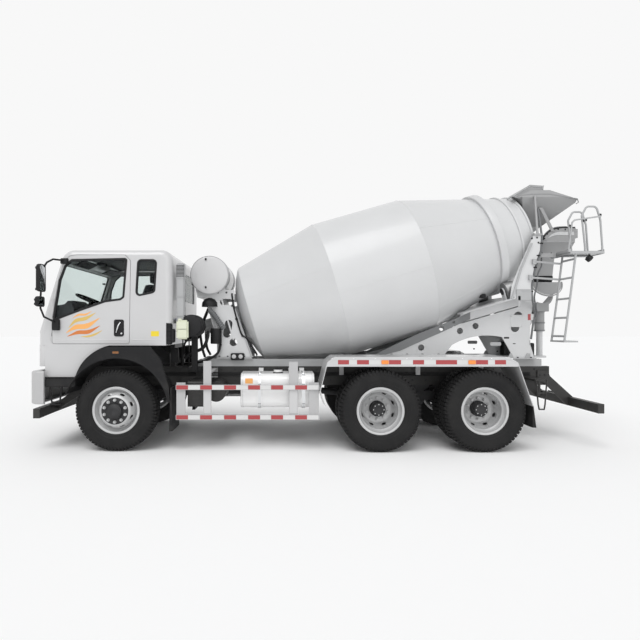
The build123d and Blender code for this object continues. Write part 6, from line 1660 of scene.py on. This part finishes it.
def ladder_trim():
    """Ladder treads, platform grating and its edges, clamps, hand rail and the working lamp."""
    group = Group()
    treads = group.shape("grey", 30)
    for rung_z in RUNGS_Z:
        x = LADDER_X + (rung_z - LADDER_Z) * LADDER_LEAN
        for n in range(14):
            y = -935 + n * 23
            treads.turned([(-3, 12), (-3, 15), (3, 15), (3, 12)], (x, y, rung_z), (0, 1, 0), 10)
    for n in range(17):
        x = 3346 + n * 27
        treads.bar((x - 2.5, -958, 2634), (x + 2.5, -612, 2641), 1)
    for n in range(7):
        y = -948 + n * 54
        treads.bar((3334, y - 2, 2635), (3788, y + 2, 2640), 1)
    for x in (3334, 3788):
        treads.bar((x - 4, -964, 2606), (x + 4, -606, 2668), 3)
    for y in (-964, -606):
        treads.bar((3331, y - 3, 2606), (3792, y + 3, 2644), 2)
    clamps = group.shape("rubber", 40)
    for x, y, z in ((3513, -950, 3046), (3741, -950, 3126), (3513, -620, 3046), (3741, -620, 3126)):
        clamps.bar((x - 15, y - 17, z - 17), (x + 15, y + 17, z + 17), 6)
    rail = group.shape("grey", 40)
    rail.tube(bent([(3741, -970, 3106), (3372, -970, 3093), (3318, -970, 3040), (3308, -970, 2657)], 40), 11,
              10)
    rail.bar((3300, -981, 2625), (3340, -956, 2670), 4)
    work = group.shape("plastic", 30)
    work.turned([(-30, 30), (-24, 44), (24, 46), (30, 42), (22, 38), (22, 0), (-30, 0)], (3620, -905, 2552),
                (0.5, -0.5, -0.7), 28, closed=False)
    work.tube([(3620, -905, 2580), (3620, -905, 2616)], 9, 10)
    group.piece("ladder_trim", "chassis", "grey_paint")


def cable_clips():
    """Clips that hold the cables to the upright, with their feet."""
    shape = Shape()
    y = -672.0
    for x, z in ((3058, 2620), (3012, 2455), (2966, 2290), (2960, 2120), (3098, 2790)):
        shape.turned([(-9, 15), (-9, 19), (9, 19), (9, 15)], (x, y, z), (0.12, 0, 1), 20)
        shape.bar((x - 34, y - 12, z - 8), (x - 12, y + 12, z + 8), 3)
    return shape


def underrun_trim():
    """End caps of the rear bar, blank plate and its carrier, wire loops, and bolts at the frame's ends."""
    group = Group()
    trim = group.shape("black", 30)
    for y in (-1152, 1152):
        trim.bar((3586, y - 6, 497), (3672, y + 6, 623), 4)
    trim.bar((3668, -270, 515), (3673, 270, 635), 3)
    trim.bar((3150, -470, 640), (3185, -452, 905), 4)
    for side in (-1, 1):
        y = side * 790
        loop = [(2965, y, 900), (2965, y, 560), (2985, y, 470), (3095, y, 470), (3110, y, 560),
                (3110, y, 900)]
        trim.tube(bent(loop, 26), 10, 10)
        trim.tube([(2965, y, 720), (3110, y, 720)], 8, 8)
        trim.bar((2945, min(y, side * 426), 880), (3130, max(y, side * 426), 905), 5)
    heads = group.shape("steel")
    for side in (-1, 1):
        for x, z in ((3190, 940), (3260, 940), (3190, 880)):
            heads.bolt((x, side * 449, z), (0, side, 0), 12, 12)
        for x, z in ((-3310, 850), (-3270, 800), (-3300, 790)):
            heads.bolt((x, side * 455, z), (0, side, 0), 12, 12)
    group.shape("white").bar((3673, -260, 522), (3676, 260, 628), 2)
    group.piece("underrun_trim", "chassis", "black_paint")


def lamp_clusters():
    """Head lamps with their amber corners and the tail clusters, in their housings."""
    group = Group()
    covers = group.shape("clear_glass", 30)
    bowls = group.shape("chrome", 40)
    black = group.shape("plastic", 30)
    amber = group.shape("orange_lens", 30)
    red = group.shape("red_lens", 30)
    clear = group.shape("clear_lens", 30)
    for side in (-1, 1):
        covers.outboard(side, (-3827, 703, 803), (-3818, 997, 937), 4)
        black.outboard(side, (-3800, 703, 803), (-3775, 997, 937), 6)
        for y in (770, 872):
            bowl = [(0, 48), (8, 47), (20, 36), (27, 14), (27, 0)]
            bowls.lathed([(-a, r) for a, r in bowl], (-3817, side * y, 868), (-1, 0, 0), 32)
        amber.outboard(side, (-3824, 930, 812), (-3804, 990, 928), 8)
        black.outboard(side, (3652, 761, 516), (3664, 1119, 604), 4)
        for y0, y1, shape in ((768, 872, clear), (878, 990, red), (996, 1112, amber)):
            shape.outboard(side, (3662, y0, 522), (3676, y1, 598), 6)
    group.piece("lamp_clusters", "chassis", "lamp", ["lamps"])


# Skirt's outer face, its tape's edges in Z, and the red and orange blocks along it in X
FENDER_Y = 1225.0
TAPE_Z = (1142, 1198)
SKIRT_RED = ((197, 339), (442, 596), (854, 1008), (1163, 1305), (1459, 1730), (1974, 2129), (2219, 2361))
SKIRT_AMBER = ((751, 854), (1871, 1974))


def fender_trim():
    """Tape, side markers, edge bead and bolts on both rear fenders."""
    group = Group()
    red = group.shape("red_tape", both=True)
    white = group.shape("white_tape", both=True)
    amber = group.shape("orange_lens", 30, both=True)
    edge = group.shape("white", 50, both=True)
    heads = group.shape("chrome", both=True)
    y = FENDER_Y
    for x0, x1 in SKIRT_RED:
        red.prism(oblong(x0, x1, *TAPE_Z), y - 0.5, y + 1.0)
    gaps = [(339, 442), (596, 751), (1008, 1163), (1305, 1459), (1730, 1871), (2129, 2219)]
    for x0, x1 in gaps:
        white.prism(oblong(x0 + 3, x1 - 3, *TAPE_Z), y - 0.5, y + 0.8)
    for x0, x1 in SKIRT_AMBER:
        amber.bar((x0 + 4, -y - 12, 1144), (x1 - 4, -y - 1, 1196), 6)
    edge.tube([(56, -y + 4, 1118), (2520, -y + 4, 1118)], 6, 8)
    edge.tube(bent([(62, -y + 2, 1165), (154, -y + 2, 1236), (2396, -y + 2, 1236), (2510, -y + 2, 1165)],
                   30), 6, 8)
    for x in (400, 675, 1085, 1400, 1800, 2175, 2440, 120):
        heads.bolt((x, -y, 1214), (0, -1, 0), 6, 5)
    group.piece("fender_tape", "chassis", "white_paint")


# Guards' outer face, and the red blocks on their rails in X
GUARD_Y = 1180.0
GUARD_RED = ((-1898, -1743), (-1587, -1432), (-1276, -1120), (-965, -809), (-667, -511), (-355, -200))


def guard_trim():
    """Tape on the guards' rails, end caps, plates on the posts and bolts."""
    group = Group()
    y = GUARD_Y
    red = group.shape("red_tape", both=True)
    white = group.shape("white_tape", both=True)
    caps = group.shape("white", 30, both=True)
    heads = group.shape("steel", both=True)
    for low in (420.0, 808.0):
        for x0, x1 in GUARD_RED:
            red.prism(oblong(x0 + 2, x1, low + 5, low + 60), y - 0.5, y + 1.0)
        for (_, x0), (x1, _) in zip(GUARD_RED, GUARD_RED[1:] + ((-50, 0),)):
            white.prism(oblong(x0 + 3, x1 - 3, low + 5, low + 60), y - 0.5, y + 0.8)
        for x in (-1898, -44):
            caps.bar((x - 4, -y - 1, low - 1), (x + 4, -y + 29, low + 66), 3)
        for x0, x1 in ((-1898, -1782), (-1548, -1445), (-433, -317), (-174, -44)):
            for x in (x0 + 28, x1 - 28):
                heads.bolt((x, -y + 44, low + 32), (0, 1, 0), 9, 8)
    for x0, x1 in ((-1548, -1445), (-433, -317)):
        caps.prism(oblong(x0 + 8, x1 - 8, 500, 800), y - 30, y - 27)
    group.piece("guard_tape", "chassis", "white_paint")


def tank_ring(x, out):
    """The fuel tank's outline at a place in X, grown outwards."""
    outline = rounded(oblong(-1080, -480, 556, 1005), 110, 8)
    return [(x, a, b) for a, b in grown([tuple(p) for p in outline], out)]


def fuel_tank_trim():
    """Cap with its lever, straps, blank label, seams and drain plug of the fuel tank."""
    group = Group()
    cap = group.shape("plastic", 30)
    centre = (-576.0, -900.0, 1005.0)
    cap.turned([(0, 66), (10, 66), (14, 60), (14, 48), (0, 48)], centre, (0, 0, 1), 40)
    rows = []
    for z, r in ((12, 56), (46, 56), (52, 50), (54, 30)):
        sizes = [r - (2.5 if k % 2 and z < 50 else 0) for k in range(48)]
        ring = [(math.cos(math.pi * k / 24) * s, math.sin(math.pi * k / 24) * s) for k, s in enumerate(sizes)]
        rows.append([(centre[0] + x, centre[1] + y, centre[2] + z) for x, y in ring])
    cap.capped(rows, near=False)
    cap.bar((-620, -912, 1052), (-532, -888, 1066), 4)
    straps = group.shape("chrome", 40)
    for x in (-820, -240):
        section = ((5.5, -20), (9, -20), (9, 20), (5.5, 20))
        straps.skin([tank_ring(x + dx, out) for out, dx in section], around=True, along=True)
        straps.tube([(x, -1000, 1022), (x, -940, 1022)], 12, 12)
    group.shape("orange").prism(rounded(oblong(-1008, -908, 880, 948), 8), 1079, 1081)
    seams = group.shape("white", 40)
    for x in (-1064, -102, -1040, -126):
        section = ((-3, -5), (2.5, -3), (2.5, 3), (-3, 5))
        seams.skin([tank_ring(x + dx, out) for out, dx in section], around=True, along=True)
    seams.lathed([(0, 24), (6, 24), (12, 16), (20, 14), (20, 0), (0, 0)], (-300, -780, 556), (0, 0, -1), 6)
    group.piece("fuel_tank_trim", "chassis", "white_paint")


hopper_trim()
collector_trim()
chute_trim()
ladder_trim()
cable_clips().piece("cable_clips", "chassis", "rubber", "dark_plastic", 40)
underrun_trim()
lamp_clusters()
fender_trim()
guard_trim()
fuel_tank_trim()

# Outer face of the frame rails
RAIL_SIDE_Y = 425.0


def corner_fillers():
    """Rounded white corners beside the front panel, above the lamps."""
    shape = Shape()
    for side in (-1, 1):
        rows = []
        for z in (1104, 1110, 1250, 1382, 1388):
            inset = 6 if z in (1104, 1388) else 0
            ring = [(-3772 + inset, 905), (-3766 + inset, 960), (-3744, 1010), (-3710, 1036),
                    (-3660, 1045 - inset), (-3652, 1045 - inset), (-3652, 1020), (-3700, 1008), (-3728, 985),
                    (-3744, 905)]
            rows.append([(x, side * y, z) for x, y in ring])
        shape.capped(rows)
    return shape


def roof_lamp():
    """Small black lamp body on the roof's front edge."""
    return Shape().lathed([(0, 0), (0, 34), (22, 34), (30, 26), (34, 0)], (-3330, -640, 2646), (0, 0, 1), 24)


def reservoir():
    """Expansion tank with its seam, cap and strap on a bracket."""
    group = Group()
    tank = group.shape("reservoir", 40)
    tank.bar((-1962, -524, 1560), (-1838, -376, 1722), 22)
    tank.bar((-1966, -528, 1636), (-1834, -372, 1646), 3)
    cap = group.shape("blue", 40)
    cap.lathed([(0, 0), (0, 30), (14, 33), (26, 30), (30, 24), (30, 0)], (-1900, -450, 1720), (0, 0, 1), 24)
    stand = group.shape("plastic", 40)
    stand.bar((-1955, -515, 1440), (-1845, -385, 1562), 6)
    stand.bar((-1950, -480, 1060), (-1940, -430, 1450), 3)
    stand.bar((-1860, -480, 1060), (-1850, -430, 1450), 3)
    stand.bar((-1950, -484, 1055), (-1850, -430, 1066), 3)
    stand.bar((-1920, -530, 1555), (-1880, -370, 1726), 3)
    group.piece("expansion_tank", "chassis", "dark_plastic", ["coolant_reservoir"])


def cab_rear_cluster():
    """Cab latches, canister, domed pot, hoses and ribbed pipe in the gap behind the cab."""
    group = Group()
    dark = group.shape("plastic", 40)
    for side in (-1, 1):
        dark.bar((-2085, side * 560 - 45, 1120), (-1985, side * 560 + 45, 1330), 10)
        dark.tube([(-2035, side * 560 - 60, 1290), (-2035, side * 560 + 60, 1290)], 24, 14)
    dark.bar((-1925, -440, 1420), (-1862, -200, 1456), 5)
    dark.lathed([(-110, 0), (-110, 74), (-96, 79), (96, 79), (110, 74), (110, 0)], (-1462, -500, 1496),
                (0, 0, 1), 32)
    dark.lathed([(0, 118), (60, 112), (104, 82), (126, 40), (130, 0), (0, 0)], (-1560, -420, 1916),
                (0, 0, 1), 32)
    hoses = group.shape("rubber", 50)
    runs = (
        ([(-1575, -520, 1560), (-1575, -560, 1480), (-1640, -560, 1330), (-1820, -540, 1250),
          (-1900, -520, 1180)], 24),
        ([(-1700, -430, 1500), (-1760, -470, 1420), (-1800, -480, 1260), (-1780, -470, 1120)], 16),
        ([(-1650, -400, 1560), (-1720, -450, 1500), (-1850, -460, 1460), (-1920, -440, 1380),
          (-1930, -420, 1240)], 13),
        ([(-1400, -470, 1380), (-1440, -520, 1250), (-1580, -530, 1160), (-1720, -500, 1120)], 18),
    )
    for run, r in runs:
        hoses.tube(swept(run, 8), r, 12)
    ribbed = group.shape("hose", 60)
    line = swept([(-1556, -500, 1868), (-1480, -520, 1790), (-1420, -520, 1700), (-1350, -505, 1600)], 16)
    sizes = [38 + 5 * math.sin(n * math.pi / 2) for n in range(len(line))]
    ribbed.tube(line, sizes, 18)
    group.piece("cab_rear_pipes", "chassis", "dark_plastic")


def intake():
    """Grey snorkel with its slats, black air cleaner with its straps, and the pale bottle beside it."""
    group = Group()
    tower = group.shape("grey", 40)
    tower.bar((-1940, -960, 1640), (-1830, -860, 2480), 14)
    for z in (1760, 2020, 2270):
        tower.bar((-1942, -962, z), (-1828, -858, z + 10), 2)
    head = group.shape("plastic", 35)
    for n in range(9):
        z = 2300 + n * 18
        head.bar((-1936, -964, z), (-1834, -958, z + 8), 2)
        head.bar((-1944, -952, z), (-1938, -868, z + 8), 2)
    head.bar((-1938, -958, 1520), (-1832, -862, 1646), 12)
    head.bar((-1890, -940, 1540), (-1750, -880, 1640), 16)
    cleaner = [(0, 0), (0, 130), (6, 142), (16, 150), (60, 150), (66, 146), (72, 150), (330, 150),
               (336, 146), (342, 150), (390, 150), (400, 142), (400, 0)]
    head.lathed(cleaner, (-1750, -960, 1640), (0, 1, 0), 72)
    for turn in range(0, 360, 60):
        a = math.radians(turn)
        x, z = -1750 + math.cos(a) * 148, 1640 + math.sin(a) * 148
        head.bar((x - 9, -962, z - 14), (x + 9, -926, z + 14), 3)
    head.bar((-1850, -620, 1000), (-1650, -RAIL_SIDE_Y - 0.5, 1060), 4)
    head.bar((-1790, -640, 1000), (-1710, -560, 1640), 4)
    straps = group.shape("steel", 30)
    for y in (-880, -640):
        straps.turned([(-14, 149), (-14, 153), (14, 153), (14, 149)], (-1750, y, 1640), (0, 1, 0), 48)
    bottle = group.shape("reservoir", 40)
    bottle.bar((-1925, -1040, 1462), (-1768, -963, 1716), 20)
    bottle.bar((-1928, -1043, 1590), (-1765, -963, 1600), 3)
    bottle.lathed([(0, 0), (0, 24), (14, 26), (22, 22), (22, 0)], (-1880, -1002, 1714), (0, 0, 1), 24)
    group.piece("intake_detail", "chassis", "dark_plastic", ["air_intake"])


def chassis_fasteners():
    """Bolt rows and air lines along the frame rails."""
    group = Group()
    heads = group.shape("steel")
    for side in (-1, 1):
        y = side * RAIL_SIDE_Y
        for n in range(34):
            x = -3350 + n * 196
            for z in (860, 1020):
                heads.bolt((x, y, z), (0, side, 0), 10, 10)
    lines = group.shape("rubber", 50)
    for side in (-1, 1):
        for k in range(3):
            y = side * (RAIL_SIDE_Y + 14)
            z = 930 + 20 * k
            lines.tube([(-3000, y, z), (3050, y, z)], 7, 8)
    group.piece("chassis_lines", "chassis", "black_paint")


def rear_corner():
    """Black boxes shaped as a filter box and valve block on the cab's rear corner: painted shade for the
    shadowed recess of the cab's corner.
    """
    shape = Shape()
    for side in (-1, 1):
        shape.outboard(side, (-2076, 940, 1392), (-1990, 1034, 1672), 10)
        shape.outboard(side, (-1988, 940, 1420), (-1952, 1034, 1600), 8)
        for z in (1440, 1500, 1560, 1620):
            shape.outboard(side, (-2079, 940, z), (-1992, 1038 if side > 0 else 1034, z + 10), 2)
        shape.tube(swept([(-2040, side * 1010, 1400), (-2030, side * 1015, 1396), (-2000, side * 1005, 1410),
                          (-1975, side * 990, 1425)], 6), 9, 8)
    return shape


def flare_markers():
    """Amber marker on each front flare."""
    shape = Shape()
    for side in (-1, 1):
        shape.outboard(side, (-2738, 1139, 1272), (-2647, 1152, 1311), 6)
    return shape


def tail_reflectors():
    """Red and white bars on the posts beside the hopper's foot."""
    group = Group()
    for finish, x0, x1 in (("red_tape", 3010, 3052), ("white_tape", 3052, 3094)):
        bars = group.shape(finish)
        for side in (-1, 1):
            bars.outboard(side, (x0, 447, 1724), (x1, 451, 1812), 1)
    group.piece("tail_reflectors", "chassis", "lamp")


def slot_cover():
    """Bolted plates over the pedestal's lower slots."""
    shape = Shape()
    for side in (-1, 1):
        shape.outboard(side, (2760, 449.5, 1625), (2935, 454, 1800), 2)
        for x in (2778, 2918):
            for z in (1643, 1782):
                shape.bolt((x, side * 454, z), (0, side, 0), 8, 7)
    return shape


corner_fillers().piece("cab_corners", "cab", "white", "white_paint", 40)
roof_lamp().piece("roof_lamp", "cab", "plastic", "dark_plastic")
reservoir()
cab_rear_cluster()
intake()
chassis_fasteners()
# Black boxes standing as painted shade in the cab's rear corner recess
rear_corner().piece("cab_rear_corner", "cab", "plastic", "dark_plastic", 40)
flare_markers().piece("flare_markers", "chassis", "amber_lens", "lamp")
tail_reflectors()
slot_cover().piece("slot_covers", "chassis", "pale_grey", "grey_paint")

# Studio: pale floor, a broad key and a side lamp from the left above, a bounce from below, soft fill
FLOOR_SHADE = (0.955, 0.955, 0.955, 1)
floor_finish = bpy.data.materials.new("studio_floor")
floor_finish.use_nodes = True
floor_shader = floor_finish.node_tree.nodes["Principled BSDF"]
for key, value in {"Base Color": FLOOR_SHADE, "Roughness": 0.9, "Specular IOR Level": 0.0}.items():
    floor_shader.inputs[key].default_value = value
floor_data = bpy.data.meshes.new("studio_floor")
floor_data.from_pydata([(-80, -60, 0), (80, -60, 0), (80, 90, 0), (-80, 90, 0)], [], [(0, 1, 2, 3)])
floor_data.materials.append(floor_finish)
floor = bpy.data.objects.new("studio_floor", floor_data)
bpy.context.scene.collection.objects.link(floor)
floor.visible_shadow = False

BACKDROP = (0.939, 0.939, 0.939, 1)
FILL_SHADE = (0.97, 0.975, 0.98, 1)
FILL_STRENGTH = 0.57
world = bpy.data.worlds.new("studio")
bpy.context.scene.world = world
world.use_nodes = True
world.node_tree.nodes.clear()
studio = Nodes(world.node_tree)
path = studio.node("ShaderNodeLightPath").outputs
either = {"operation": "MAXIMUM"}
seen = studio.node("ShaderNodeMath", either, {0: path["Is Camera Ray"], 1: path["Is Transmission Ray"]})
seen = studio.node("ShaderNodeMath", either, {0: seen.outputs[0], 1: path["Is Glossy Ray"]})
fill_light = studio.node("ShaderNodeBackground", {}, {0: FILL_SHADE, 1: FILL_STRENGTH})
shown = studio.node("ShaderNodeBackground", {}, {0: BACKDROP})
sockets = {0: seen.outputs[0], 1: fill_light.outputs[0], 2: shown.outputs[0]}
choice = studio.node("ShaderNodeMixShader", {}, sockets)
studio.node("ShaderNodeOutputWorld", {}, {0: choice.outputs[0]})


def lamp(name, strength, angle, direction):
    """Distant lamp that shines along a direction."""
    data = bpy.data.lights.new(name, "SUN")
    data.energy = strength
    data.angle = math.radians(angle)
    obj = bpy.data.objects.new(name, data)
    obj.rotation_euler = Vector(direction).to_track_quat("-Z", "Y").to_euler()
    bpy.context.scene.collection.objects.link(obj)


lamp("key", 1.45, 40, (0.25, 0.62, -1.0))
lamp("side", 0.55, 60, (-0.35, 0.9, -0.35))
lamp("bounce", 0.7, 80, (0.15, 0.6, 0.75))
